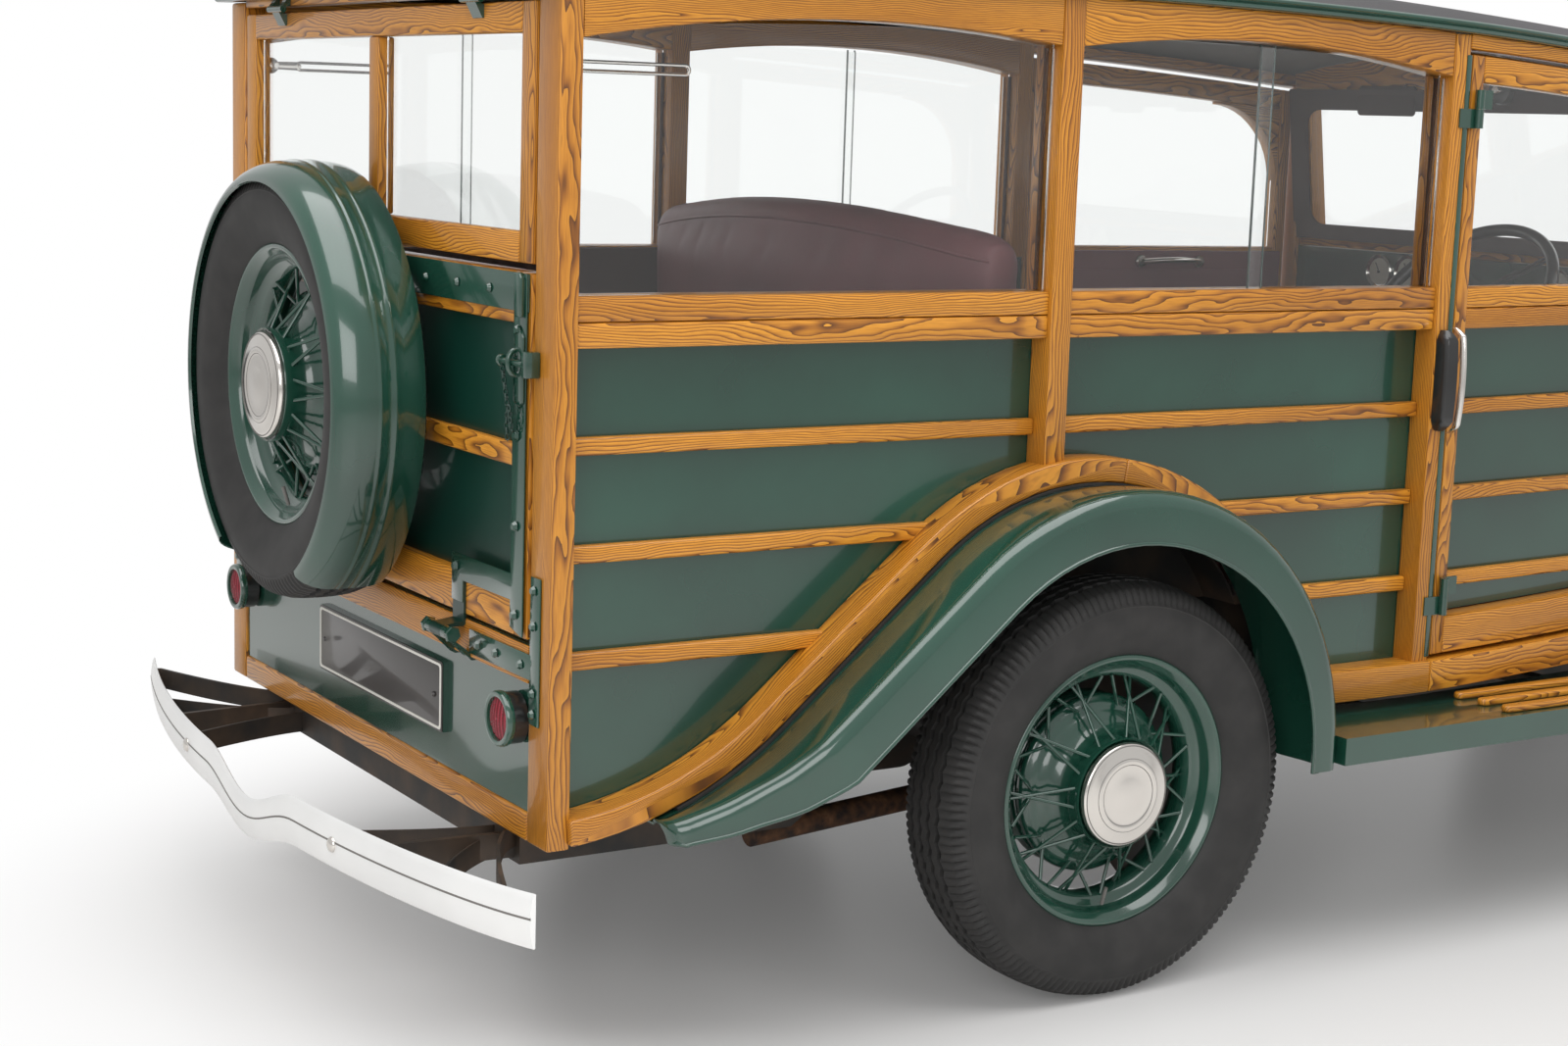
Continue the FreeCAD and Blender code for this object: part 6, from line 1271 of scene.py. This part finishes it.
y0, y1, z0, z1 = -318, 222, 474, 592
plate = Form().slab(rounded(y0, y1, z0, z1, 6), "x", REAR - 5.4, REAR - 3.2, 0.8)
rims = []
for depth, inset in ((5.4, 3.5), (6.6, 4.0), (6.6, 7.5), (5.4, 8.0)):
    rims.append([(REAR - depth, y, z) for y, z in rounded(y0 + inset, y1 - inset, z0 + inset, z1 - inset, 6)])
loops = [[ring[i] for ring in rims] for i in range(len(rims[0]))]
plate.join(Form().loft(loops, slot=1, round_trip=True))
ends = [(REAR - 7, (y0 + y1) / 2 + side * 240, (z0 + z1) / 2) for side in (-1, 1)]
plate.join(studs(ends, 16, 5, 3, material=plain_black))
plate.piece("blank_plate", "body", [plain_black, plain_white], "black_paint")

# %% [markdown]
# Tail lamps are pressed drums with a rolled rim and a ribbed red glass. The headlamps are deep
# bowls with a bright rim and a fluted lens. Bowls and rims are turned. The flutes run straight
# across a round lens, so a lathe can't cut them, and each lens is a disc lifted by a wave.

# %% Lamps
red_glass, tree, surface = shader("red_lens", (0.20, 0.008, 0.016), 0.2, coat=0.3)
surface.inputs["Specular IOR Level"].default_value = 0.3
# Light and dark stripes in the red glass's colour are painted glints on its ribs.
painted_rib_glints = add(tree, "TexWave", {"Scale": 33.0}, {"Vector": object_place(tree)}, bands_direction="Y").outputs["Color"]
tree.links.new(ramp(tree, painted_rib_glints, [(0.3, (0.13, 0.004, 0.010)), (0.8, (0.34, 0.03, 0.05))]),
               surface.inputs["Base Color"])
clear_lens, tree, surface = shader("clear_lens", (0.75, 0.77, 0.76), 0.12, 0.35, coat=1.0)


def lens(centre, axis, radius, bulge, pitch, depth, slot):
    """Domed disc with flutes, faced along the X axis."""
    points, faces = [(centre[0] + axis * bulge, centre[1], centre[2])], []
    turns, levels = 72, 14
    for k in range(1, levels + 1):
        r = radius * k / levels
        for i in range(turns):
            t = 2 * math.pi * i / turns
            y, z = r * math.cos(t), r * math.sin(t)
            flute = depth * math.cos(2 * math.pi * y / pitch) if k < levels else 0
            dome = bulge * (1 - (r / radius) ** 2)
            points.append((centre[0] + axis * (dome + flute), centre[1] + y, centre[2] + z))
    for i in range(turns):
        j = (i + 1) % turns
        faces.append((0, 1 + i, 1 + j))
        for k in range(levels - 1):
            a, b = 1 + k * turns, 1 + (k + 1) * turns
            faces.append((a + i, b + i, b + j, a + j))
    return Form().take(raw_mesh(points, faces), None, slot)


lamps = Form()
for side in (-1, 1):
    centre = (REAR - 0.3, side * 590, 561)
    lamps.turned([(0, 0), (41, 0), (41, -24), (0, -24)], centre, (1, 0, 0), 72, slot=4)
    lamps.turned([(41.5, -23), (43.5, -24), (44.3, -28), (44, -33), (42, -36), (38, -37), (34.5, -35.5),
                  (33.6, -31), (33.6, -24)], centre, (1, 0, 0), 72)
    lamps.join(lens((centre[0] - 30, centre[1], centre[2]), -1, 34.2, 5.5, 9.5, 1.5, 1))
    lamps.join(studs([(centre[0] - 31, centre[1] + across, centre[2]) for across in (41, -41)], 8, 2.6, 5))
    bowl = (WHEELBASE + 195, side * 340, 925)
    lamps.turned([(0, 84), (94, 84), (104, 82), (105, 66), (104, 58), (101, 40), (95, 10), (84, -25), (68, -58),
                  (48, -80), (26, -92), (0, -95)], bowl, (1, 0, 0), 72)
    lamps.turned([(96, 84), (99, 91), (104, 93), (107.5, 90), (108, 84), (105, 80), (96, 80)], bowl, (1, 0, 0), 72,
                 slot=2)
    lamps.join(lens((bowl[0] + 84, bowl[1], bowl[2]), 1, 97, 16, 13, 0.9, 3))
    foot = [bowl, (bowl[0] - 30, side * 393, 850), (bowl[0] - 47, side * 447, 822)]
    lamps.tube(foot, 12, 16)
lamps.piece("lamp_shells", "body", [green, red_glass, chrome, clear_lens, black], "lamp_metal", ["lamps"])
print("lamps:", len(lamps.faces), "faces")

# %% [markdown]
# Each lock post carries a turn signal: an enamelled box with rounded ends that lies over the
# post, and the folded arm in its bright bowed frame. Both are lofts whose section shrinks
# and draws in over the last few steps, which rounds the ends.

# %% Turn signals
signals = Form()
box_side = [(772, 700), (772, 716), (778, 724), (800, 726), (806, 718), (806, 700)]
rings = []
for i in range(21):
    share = i / 20
    shrink = 1 - 0.55 * max(abs(2 * share - 1) - 0.84, 0) / 0.16
    bow = 5 * (1 - (2 * share - 1) ** 2)
    rings.append([(789 + (x - 789) * shrink, 697.4 + (y - 700) * shrink + (bow if y > 701 else 0), 951 + 188 * share)
                  for x, y in box_side])
signals.loft(rings)
arm_side = ((805, -4), (806, 2), (809, 5), (813, 5), (816, 2), (816, -4))
rings = []
for i in range(31):
    share = i / 30
    bow = 9 * (1 - (2 * share - 1) ** 2) - 16 * max(abs(2 * share - 1) - 0.86, 0) / 0.14
    rings.append([(x, 724 + bow + y, 946 + 198 * share) for x, y in arm_side])
signals.loft(rings, slot=1)
signals.join(signals.mirrored())
signals.piece("turn_signals", "body", [black, chrome], "black_paint", ["signals"])
print("signals:", len(signals.faces), "faces")

# %% [markdown]
# Two slotted stays hold the window up. Each is bar steel, doubled back on itself so that the
# pivot screw can slide between the legs. A round bar on a closed path shows that better than
# a flat plate with a slot cut in it.

# %% Window stays
stays = Form()
x0, x1, height, middle_y = REAR + 34.3, REAR + 284.3, 1556, 579
bends = [(7 * math.sin(t), 7 * math.cos(t)) for t in np.radians(range(18, 180, 18))]
run = [(x0 + 62 + (x1 - x0 - 72) * i / 12, height - 7) for i in range(13)]
back = [(x, 2 * height - z) for x, z in run[::-1]]
run += [(x1 - 10 + out, height - rise) for out, rise in bends] + back
run += [(x0 + 62 - out, height + rise) for out, rise in bends]
bar = Form().tube([(x, middle_y, z) for x, z in run], 3.0, 8, close=True)
bar.slab([(x0 + 4, height - 7), (x0 + 58, height - 8), (x0 + 64, height), (x0 + 58, height + 8), (x0 + 4, height + 7),
          (x0 + 0.5, height)], "y", middle_y - 2, middle_y + 2, 0.8)
stays.join(bar, bar.mirrored())
stays.piece("stay_arms", "flap_stays", chrome, "bright_metal", ["flap_stays"])
bosses = Form()
knob = [(0, 4), (9, 4), (13, 6), (15, 10), (15, 26), (0, 26)]
screw = [(0, -8), (5, -8), (6.5, -6), (6.5, -4.5), (0, -4.5)]
for side in (-1, 1):
    bosses.turned(knob, (x0 + 12, side * 590, height), (0, side, 0), 28)
    bosses.turned(screw, (x0 + 12, side * middle_y, height), (0, side, 0), 16, slot=1)
bosses.piece("stay_bosses", "body", [black, chrome], "black_paint")
print("stays ready")

# %% [markdown]
# The benches are spring cases in maroon hide, and sculpted pads rarely look as if something
# pressed from inside. Each pad starts a little small, is remeshed into even faces and blown
# up by a short cloth simulation, so its faces crown and its edges pull in between the
# corners. A cap holds every point near its start, and a flat seat stays flat.


# %% Padding
def puff(form, name, body, replaces=(), voxel=12.0, cap=22.0, floor_height=None):
    """Pad blown up by the cloth solver."""
    item = form.piece(name, body, leather, "seat_leather", replaces, sharp=70)
    even = item.modifiers.new("even", "REMESH")
    even.mode, even.voxel_size = "VOXEL", voxel / 1000
    graph = bpy.context.evaluated_depsgraph_get()
    mesh = bpy.data.meshes.new_from_object(item.evaluated_get(graph))
    item.modifiers.remove(even)
    item.data = mesh
    start = np.array([v.co[:] for v in mesh.vertices])
    cloth = item.modifiers.new("swell", "CLOTH")
    cloth.settings.use_pressure = True
    cloth.settings.uniform_pressure_force = 4
    cloth.settings.quality = 4
    cloth.settings.effector_weights.gravity = 0
    cloth.collision_settings.use_collision = False
    cloth.point_cache.frame_start, cloth.point_cache.frame_end = 1, 20
    scene = bpy.context.scene
    for frame_number in range(1, 21):
        scene.frame_set(frame_number)
    swollen = item.evaluated_get(bpy.context.evaluated_depsgraph_get()).data
    end = np.array([v.co[:] for v in swollen.vertices])
    item.modifiers.remove(cloth)
    scene.frame_set(1)
    shift = end - start
    length = np.maximum(np.linalg.norm(shift, axis=1, keepdims=True), 1e-9)
    shift *= np.minimum(length, cap / 1000) / length
    points = start + shift
    if floor_height is not None:
        points[:, 2] = np.maximum(points[:, 2], floor_height / 1000)
    mesh.vertices.foreach_set("co", points.astype(np.float32).ravel())
    mesh.polygons.foreach_set("use_smooth", [True] * len(mesh.polygons))
    if not mesh.materials:
        mesh.materials.append(leather)
    mesh.update()
    smoothing = item.modifiers.new("smooth", "SUBSURF")
    smoothing.levels = smoothing.render_levels = 1
    return item


def skin_line(item, line, direction, radius):
    """Piping laid on a pad along a line, found by looking at the pad from outside."""
    graph = bpy.context.evaluated_depsgraph_get()
    solid = item.evaluated_get(graph)
    path = []
    for point in line:
        found, place = solid.ray_cast(Vector(row(point)), Vector(direction))[:2]
        if found:
            path.append((place.x * 1000 - SHIFT, place.y * 1000, place.z * 1000))
    return Form().tube(path, radius, 8)


# %% [markdown]
# The rear back is curved in plan and has steps over the wheelhouses, so it is lofted from
# sections across its width. The other pads start as blocks with wide rounded edges. Piping
# lies on the finished hide: rays cast at a pad find where it has come to rest.

# %% Benches and their piping
BACK_HALF = 594
rings = []
for i in range(41):
    share = -1 + 2 * i / 40
    y = BACK_HALF * share
    rim = min((i + 0.4) / 2.4, (40.4 - i) / 2.4, 1.0)
    pinch = 1 - math.sqrt(max(1 - (1 - rim) ** 2, 0))
    forward = 74 * share ** 2
    top_z = 1362 - 48 * share ** 2 - 34 * pinch
    low_z = 672 + (240 if abs(y) > 462 else 0) + 24 * pinch
    x0, x1 = -250 + forward + 26 * pinch, -150 + forward * 0.8 - 26 * pinch
    r = min(40, (x1 - x0) / 2.05)
    ring = [(x1 - 6, y, low_z), (x1, y, low_z + 8), (x1, y, top_z - r)]
    ring += [((x0 + x1) / 2 + (x1 - x0) / 2 * math.cos(t), y, top_z - r + r * math.sin(t))
             for t in np.radians(range(15, 180, 15))]
    ring += [(x0, y, top_z - r), (x0, y, low_z + 8), (x0 + 6, y, low_z)]
    rings.append(ring)
rear_pad = puff(Form().loft(rings), "rear_back_pad", "body", ["rear_seat"], 13, 20)
rear_cushion = Form().block(-118, 388, -470, 470, 716, 826, 38, segments=5)
rear_cushion_pad = puff(rear_cushion, "rear_cushion_pad", "body", ["rear_seat"], 13, 20, 706)
outline = fan((526, 1085), (0, 1122), (-526, 1085), 24) + [(-526, 666), (526, 666)]
front_back = Form().slab(outline, "x", 766, 838, 30, segments=5)
puff(front_back, "front_back_pad", "body", ["front_seat"], 13, 18)
front_cushion = Form().block(862, 1278, -526, 526, 650, 768, 36, segments=5)
front_cushion_pad = puff(front_cushion, "front_cushion_pad", "body", ["front_seat"], 13, 20, 640)
piping = Form()
seam = [(-700, y, 1304 - 48 * (y / BACK_HALF) ** 2) for y in np.linspace(-575, 575, 80)]
piping.join(skin_line(rear_pad, seam, (1, 0, 0), 2.6))
crest = [(-166 + 60 * (y / BACK_HALF) ** 2, y, 1700) for y in np.linspace(-575, 575, 70)]
piping.join(skin_line(rear_pad, crest, (0, 0, -1), 2.2))
for pad, half, above, places in ((rear_cushion_pad, 440, 1100, (-60, 330)),
                                 (front_cushion_pad, 495, 1050, (905, 1230))):
    for x in places:
        crest = [(x, y, above) for y in np.linspace(-half, half, 50)]
        piping.join(skin_line(pad, crest, (0, 0, -1), 2.4))
piping.piece("seat_piping", "body", leather, "seat_leather", sharp=80)
plinths = Form()
plinths.block(-126, 372, -476, 476, 655.6, 704, 4)
plinths.block(852, 1194, -538, 538, 504.4, 634, 6)
plinths.piece("seat_plinths", "body", leather, "seat_leather")
print("pads ready:", "blown up")

# %% [markdown]
# Inside, the doors and the quarters are lined with boards covered in hide, with a bright pull
# on each door. They are seen through glass and from a distance, so boards with soft edges and
# a bent handle are enough.

# %% Linings and pulls
brown_board, tree, surface = shader("brown_lining", (0.075, 0.045, 0.038), 0.6)
bump(tree, surface, noise(tree, 300.0, 3.0), 0.2, 0.0006)
dial_face, tree, surface = shader("dial_cream", (0.62, 0.60, 0.52), 0.4, coat=0.5)


def door_card():
    """Hide-covered board on the inside of the left door, with its pull."""
    form = Form()
    low = [(x, sill(x) + 84) for x in (852 + 700 * i / 8 for i in range(9))]
    form.slab([(852, 1208)] + low + [(1552, 1208)], "y", 619, 631.5, 4, segments=3)
    form.slab([(878, 1165), (878, 1000), (1526, 1000), (1526, 1165)], "y", 615.5, 619.5, 3, segments=3)
    swell = [math.sin(math.pi * i / 16) for i in range(17)]
    form.tube([(1142 + 10 * i, 611 - 22 * out, 1183 + 5 * out) for i, out in enumerate(swell)], 6.5, 12, slot=1)
    for x in (1138, 1306):
        form.turned([(0, 8), (15, 8), (15, 3), (12, 0), (0, -1)], (x, 611, 1183), (0, 1, 0), 24, slot=1)
    form.turned([(0, 8), (20, 8), (20, 4), (16, 1), (7, 0), (6, -14), (0, -14)], (1440, 611, 1080), (0, 1, 0), 24,
                slot=1)
    form.tube([(1440, 600, 1080), (1410, 596, 1070), (1352, 594, 1052)], 4.5, 10, slot=1)
    return swing(form)


card = door_card()
card.piece("door_card_left", "door_left", [leather, chrome], "seat_leather")
card.mirrored().piece("door_card_right", "door_right", [leather, chrome], "seat_leather")
quarters = Form()
for x0, x1 in ((REAR + 44, -133), (-85, 766)):
    quarters.block(x0, x1, 606, 619.6, 902, 1214, 4, segments=3)
quarters.join(quarters.mirrored())
quarters.piece("quarter_linings", "body", brown_board, "seat_leather")
print("linings:", len(card.faces) + len(quarters.faces), "faces")

# %% [markdown]
# The instrument board is painted steel with dials in bright bezels. Above it hang a visor, a
# mirror and the wiper's motor. All are turned or cut from plain outlines, and one piece holds
# them with a material slot for each finish.

# %% Dials and small fittings
fittings = Form()
for y, z in ((286, 1178), (195, 1182), (-250, 1180), (-345, 1186)):
    fittings.turned([(0, 0), (30, 0), (33, -2), (38, -6), (40, -4), (40, 2), (0, 2)], (1597, y, z), (1, 0, 0), 48)
    fittings.turned([(0, -1), (31, -1), (31, -1.6), (0, -1.6)], (1597, y, z), (1, 0, 0), 48, slot=1)
    fittings.tube([(1595, y, z), (1594.6, y + 12, z + 20)], 1.1, 6, slot=2)
    fittings.turned([(0, -1), (4, -1), (4, -4), (0, -4.6)], (1597, y, z), (1, 0, 0), 16, slot=2)
for y in (60, 0, -60, 120):
    fittings.turned([(0, 2), (6, 2), (6, -10), (11, -12), (11, -18), (8, -20), (0, -20)], (1597, y, 1160),
                    (1, 0, 0), 20)
fittings.slab([(y, z) for y, z in rounded(165, 345, 1538, 1606, 10)], "x", 1548, 1556, 3, slot=3)
fittings.tube([(1552, 200, 1606), (1575, 200, 1622)], 4, 8)
fittings.turned([(0, -38), (30, -38), (34, -30), (34, 22), (26, 30), (0, 30)], (1572, -98, 1600), (1, 0, 0), 28,
                slot=2)
fittings.block(1550, 1586, -152, -60, 1586, 1622, 8, slot=2, segments=3)
fittings.turned([(0, -52), (8, -52), (11, -46), (11, -36), (0, -36)], (1572, -98, 1600), (1, 0, 0), 20)
fittings.slab(rounded(-82, 82, 1532, 1580, 16), "x", 1500, 1508, 3, slot=2)
fittings.tube([(1508, 0, 1568), (1560, 0, 1606)], 4, 8)
fittings.piece("cabin_fittings", "body", [chrome, dial_face, black, brown_board], "bright_metal")
print("fittings:", len(fittings.faces), "faces")

# %% [markdown]
# The steering wheel has a thick hard-rubber rim on four arms of sprung wire round a low boss.
# It is drawn straight in its leaning place, from three axes: along the column, up the wheel
# and across it. So it needs no turning afterwards.

# %% Steering wheel
lean = math.radians(42)
axis = Vector((-math.cos(lean), 0, math.sin(lean)))
rise = Vector((axis.z, 0, -axis.x))
level = axis.cross(rise)
hub_place, wheel_radius = Vector((1190, -345, 1150)), 211
wheel_rim = Form()
circle = [hub_place + (rise * math.cos(t) + level * math.sin(t)) * wheel_radius
          for t in (2 * math.pi * i / 120 for i in range(120))]
wheel_rim.tube(circle, 12.6, 20, close=True)
wheel_rim.turned([(0, 17), (22, 15), (32, 9), (33, 0), (31, -12), (0, -13)], tuple(hub_place), tuple(axis), 40)
for arm in range(4):
    for side in (-1, 1):
        t = math.pi / 4 + math.pi / 2 * arm
        out = rise * math.cos(t) + level * math.sin(t)
        across = axis.cross(out) * (7 * side)
        wheel_rim.tube([hub_place + out * 24 + across, hub_place + out * 110 + across + axis * 3,
                        hub_place + out * (wheel_radius - 8) + across * 0.8], 3.2, 10)
wheel_rim.turned([(0, 17), (13, 17), (15, 19), (13, 22), (0, 23)], tuple(hub_place), tuple(axis), 28, slot=1)
wheel_rim.piece("steering_rim", "steering_wheel", [black, chrome], "wheel_rim_black", ["steering_wheel"])
print("steering wheel:", len(wheel_rim.faces), "faces")

# %% [markdown]
# The running boards are steel trays with three ash treads, planed round on top and at both
# ends, and held with small bright screws. Each tread is one slab with a half circle at either
# end, and the screws' places follow from the treads' own rows.

# %% Treads on the running boards
treads = Form()
tread_rear, tread_front, half = 888.0, 2031.0, 12.0
rows = [822 - 60 * k for k in range(3)]
rounding = [(half * math.sin(t), half * math.cos(t)) for t in np.radians(range(0, 181, 20))]
for y in rows:
    nose = [(tread_rear + half - out, y - across) for out, across in rounding]
    tail = [(tread_front - half + out, y + across) for out, across in rounding]
    treads.slab(nose + tail, "z", 428.3, 441.3, 4.5, "x", segments=4)
treads.join(treads.mirrored())
screws = [(x, side * y, 441.6) for x in (930, 1200, 1470, 1740, 2000) for y in rows for side in (-1, 1)]
treads.join(studs(screws, 14, 3.2, 1.0, UPWARD, chrome))
treads.piece("board_treads", "body", ash, "ash", ["board_strips"])
print("treads:", len(treads.faces), "faces")

# %% [markdown]
# Side windows are sheets of plate glass in brown cloth channels with a bright bead outside.
# Where one sheet slides past another, their ground edges show as upright lines. The
# windscreen's sheet shares their node, so it is made here too.

# %% Side panes
pane_edge, tree, surface = shader("ground_edge", (0.10, 0.14, 0.13), 0.3, coat=1.0)
panes, edges = Form(), Form()


def pane(x0, x1, y):
    """Sheet of glass between two stations, its top bowed like the rail above."""
    top = [(x, drip(x) - 60) for x in (x0 + (x1 - x0) * i / 12 for i in range(13))]
    panes.slab([(x0, BELT_TOP + 0.4), (x1, BELT_TOP + 0.4)] + top[::-1], "y", y - 2.5, y + 2.5, 0)


rear_bay, front_bay = [(x0 + 0.5, x1 - 0.5) for x0, x1 in bays]
for side, (x0, x1), lap in ((1, rear_bay, 24), (-1, rear_bay, 0), (1, front_bay, 24), (-1, front_bay, 24)):
    middle_x = (x0 + x1) / 2
    if lap:
        pane(x0, middle_x + lap / 2, side * 669.5)
        pane(middle_x - lap / 2, x1, side * 660.5)
        for x, y in ((middle_x + lap / 2, side * 669.5), (middle_x - lap / 2, side * 660.5)):
            edges.block(x - 0.6, x + 0.9, y - 2.6, y + 2.6, BELT_TOP + 1, drip(middle_x) - 56, 0)
    else:
        pane(x0, x1, side * 669.5)
    for x in (x0, x1 - 6):
        for slot, near, far in ((1, 650, 656), (2, 673.6, 677.6)):
            y0, y1 = sorted((side * near, side * far))
            edges.block(x, x + 6, y0, y1, BELT_TOP + 1, drip(x) - 84, 1, slot=slot)
windscreen = Form().slab([(-535, 1262), (535, 1262), (535, 1566), (-535, 1566)], "x", 1619.5, 1624.5, 0)
panes.join(leaning(windscreen))
panes.piece("side_panes", "body", glass, "window_glass", ["fixed_glass"], sharp=30)
edges.piece("pane_edges", "body", [pane_edge, brown_board, chrome], "window_glass", sharp=30)
print("pane edges ready")

# %% [markdown]
# A black sheet inward of each rear wheel is painted shade, standing for the dark underside seen through the
# spokes, and the windscreen is bordered inside by a lining with rounded corners. A painted strip covers the joint
# between each lock post and its door.

# %% Painted shade sheets and screen lining
# Black sheets inward of the rear wheels: painted shade seen through the spokes.
shade_sheets = Form()
arc = [(math.cos(t), math.sin(t)) for t in (math.radians(-50 + 125 * i / 24) for i in range(25))]
outline = [(r * x, TYRE_RADIUS + r * z) for r, line in ((350, arc), (98, arc[::-1])) for x, z in line]
shade_sheets.slab(outline, "y", 556, 559, 1)
shade_sheets.join(shade_sheets.mirrored())
shade_sheets.piece("painted_shade_sheets", "body", chassis_black, "chassis_black", sharp=40)


def rounded_frame(half, low, high, radius):
    """Closed line of a rectangle with rounded corners, 40 points."""
    line = []
    for sy, sz, start in ((1, 1, 0), (-1, 1, 90), (-1, -1, 180), (1, -1, 270)):
        cy, cz = sy * (half - radius), (high if sz > 0 else low) - sz * radius
        turns = np.radians(range(start, start + 100, 10))
        line += [(cy + radius * math.cos(t), cz + radius * math.sin(t)) for t in turns]
    return line


inner_line, outer_line = rounded_frame(522, 1279, 1549, 42), rounded_frame(575, 1243, 1597, 6)
sections = []
for (ay, az), (by, bz) in zip(inner_line, outer_line):
    shoulder = (1592, ay + (by - ay) * 0.1, az + (bz - az) * 0.1)
    sections.append([(1596, ay, az), shoulder, (1588, by, bz), (1598, by, bz)])
border = Form().loft(sections, round_trip=True)
strips = Form().block(799, 810.5, 690, 698.8, 517, 1642, 1.5)
strips.join(strips.mirrored())
strips.piece("post_strips", "body", green, "body_green")
leaning(border).piece("screen_lining", "body", brown_board, "seat_leather", sharp=50)
print("shields and screen lining ready")

# %% [markdown]
# The plain solids that stay as they are still need a finish. Each one takes the material
# that its slot in the record names, so a new solid is dressed without a line of its own.

# %% Finishes of the solids that show
finishes = {
    "chassis_black": chassis_black, "engine_iron": chassis_black, "exhaust_steel": rust, "floor_board": chassis_black,
    "ash": ash, "body_green": green, "roof_fabric": cloth_top, "window_glass": glass, "black_paint": black,
    "wheel_rim_black": black, "grille_metal": chrome, "bead_rubber": rubber, "lamp_metal": green,
    "bumper_metal": satin_silver, "seat_leather": leather, "wheel_paint": green, "tyre_rubber": rubber,
    "bright_metal": chrome,
}
slots = {part["node"]: part["material_slot"] for part in frame["record"]["subparts"]}
for name, item in frame["nodes"].items():
    item.data.materials.clear()
    item.data.materials.append(finishes[slots[name]])
# The gate panel takes the darker green copy instead of its slot's finish: painted shade on the panel behind the spare
# wheel.
frame["nodes"]["tailgate_panel"].data.materials[0] = gate_shade_and_chain_green
print("finishes on", len(slots), "solids")

# %% [markdown]
# A photographic studio: a pale floor that meets the white backdrop, one broad soft light over
# the car, and a weaker one from the camera's side. Soft light leaves long, calm reflections.


# %% Floor, backdrop and lights
def seen_rays(tree):
    """Light path node, and 1 for rays from the camera or through glass."""
    ray = add(tree, "LightPath")
    seen = add(tree, "Math", links={0: ray.outputs["Is Camera Ray"], 1: ray.outputs["Is Transmission Ray"]},
               operation="MAXIMUM")
    return ray, seen.outputs[0]


floor_mesh = bpy.data.meshes.new("studio_floor")
floor_mesh.from_pydata([(-40, -40, 0), (40, -40, 0), (40, 40, 0), (-40, 40, 0)], [], [(0, 1, 2, 3)])
floor = bpy.data.objects.new("studio_floor", floor_mesh)
bpy.context.scene.collection.objects.link(floor)
pale, tree, surface = shader("pale_floor", (0.8, 0.79, 0.78), 0.3)
seen = seen_rays(tree)[1]
away = add(tree, "VectorMath", links={0: mapped(tree, object_place(tree), (0.8, 1.28, 1.0))}, operation="LENGTH")
far = add(tree, "MapRange", {"From Min": 1.7, "From Max": 2.45, "To Min": 0.08}, {"Value": away.outputs["Value"]},
          interpolation_type="SMOOTHSTEP")
fade = add(tree, "Math", links={0: seen, 1: far.outputs["Result"]}, operation="MULTIPLY")
white = add(tree, "Emission", {"Color": (1, 1, 1, 1), "Strength": 1.0})
blend = add(tree, "MixShader", links={0: fade.outputs[0], 1: surface.outputs[0], 2: white.outputs[0]})
tree.links.new(blend.outputs[0], tree.nodes["Material Output"].inputs["Surface"])
floor_mesh.materials.append(pale)
bpy.context.scene.view_settings.view_transform = "Standard"
world = bpy.data.worlds.new("studio")
bpy.context.scene.world = world
world.use_nodes = True
tree = world.node_tree
sky = tree.nodes["Background"]
sky.inputs["Color"].default_value = (1, 1, 1, 1)
ray, seen = seen_rays(tree)
plain = add(tree, "MapRange", {"To Min": 0.64, "To Max": 0.7}, {"Value": ray.outputs["Is Glossy Ray"]})
level = add(tree, "MapRange", {"To Max": 1.0}, {"Value": seen, "To Min": plain.outputs["Result"]})
tree.links.new(level.outputs["Result"], sky.inputs["Strength"])


def softbox(name, place, target, size, power):
    """Rectangular soft light that faces its target."""
    lamp = bpy.data.lights.new(name, "AREA")
    lamp.shape, lamp.size, lamp.size_y, lamp.energy = "RECTANGLE", size[0], size[1], power
    item = bpy.data.objects.new(name, lamp)
    bpy.context.scene.collection.objects.link(item)
    item.location = place
    item.rotation_mode = "QUATERNION"
    item.rotation_quaternion = (Vector(target) - Vector(place)).to_track_quat("-Z", "Y")


softbox("overhead", (-1.5, -1.0, 5.2), (-1.0, 0, 0.6), (6, 5), 270)
softbox("camera_side", (-5.5, -5.5, 3.2), (-1.0, 0, 0.8), (4, 3), 120)
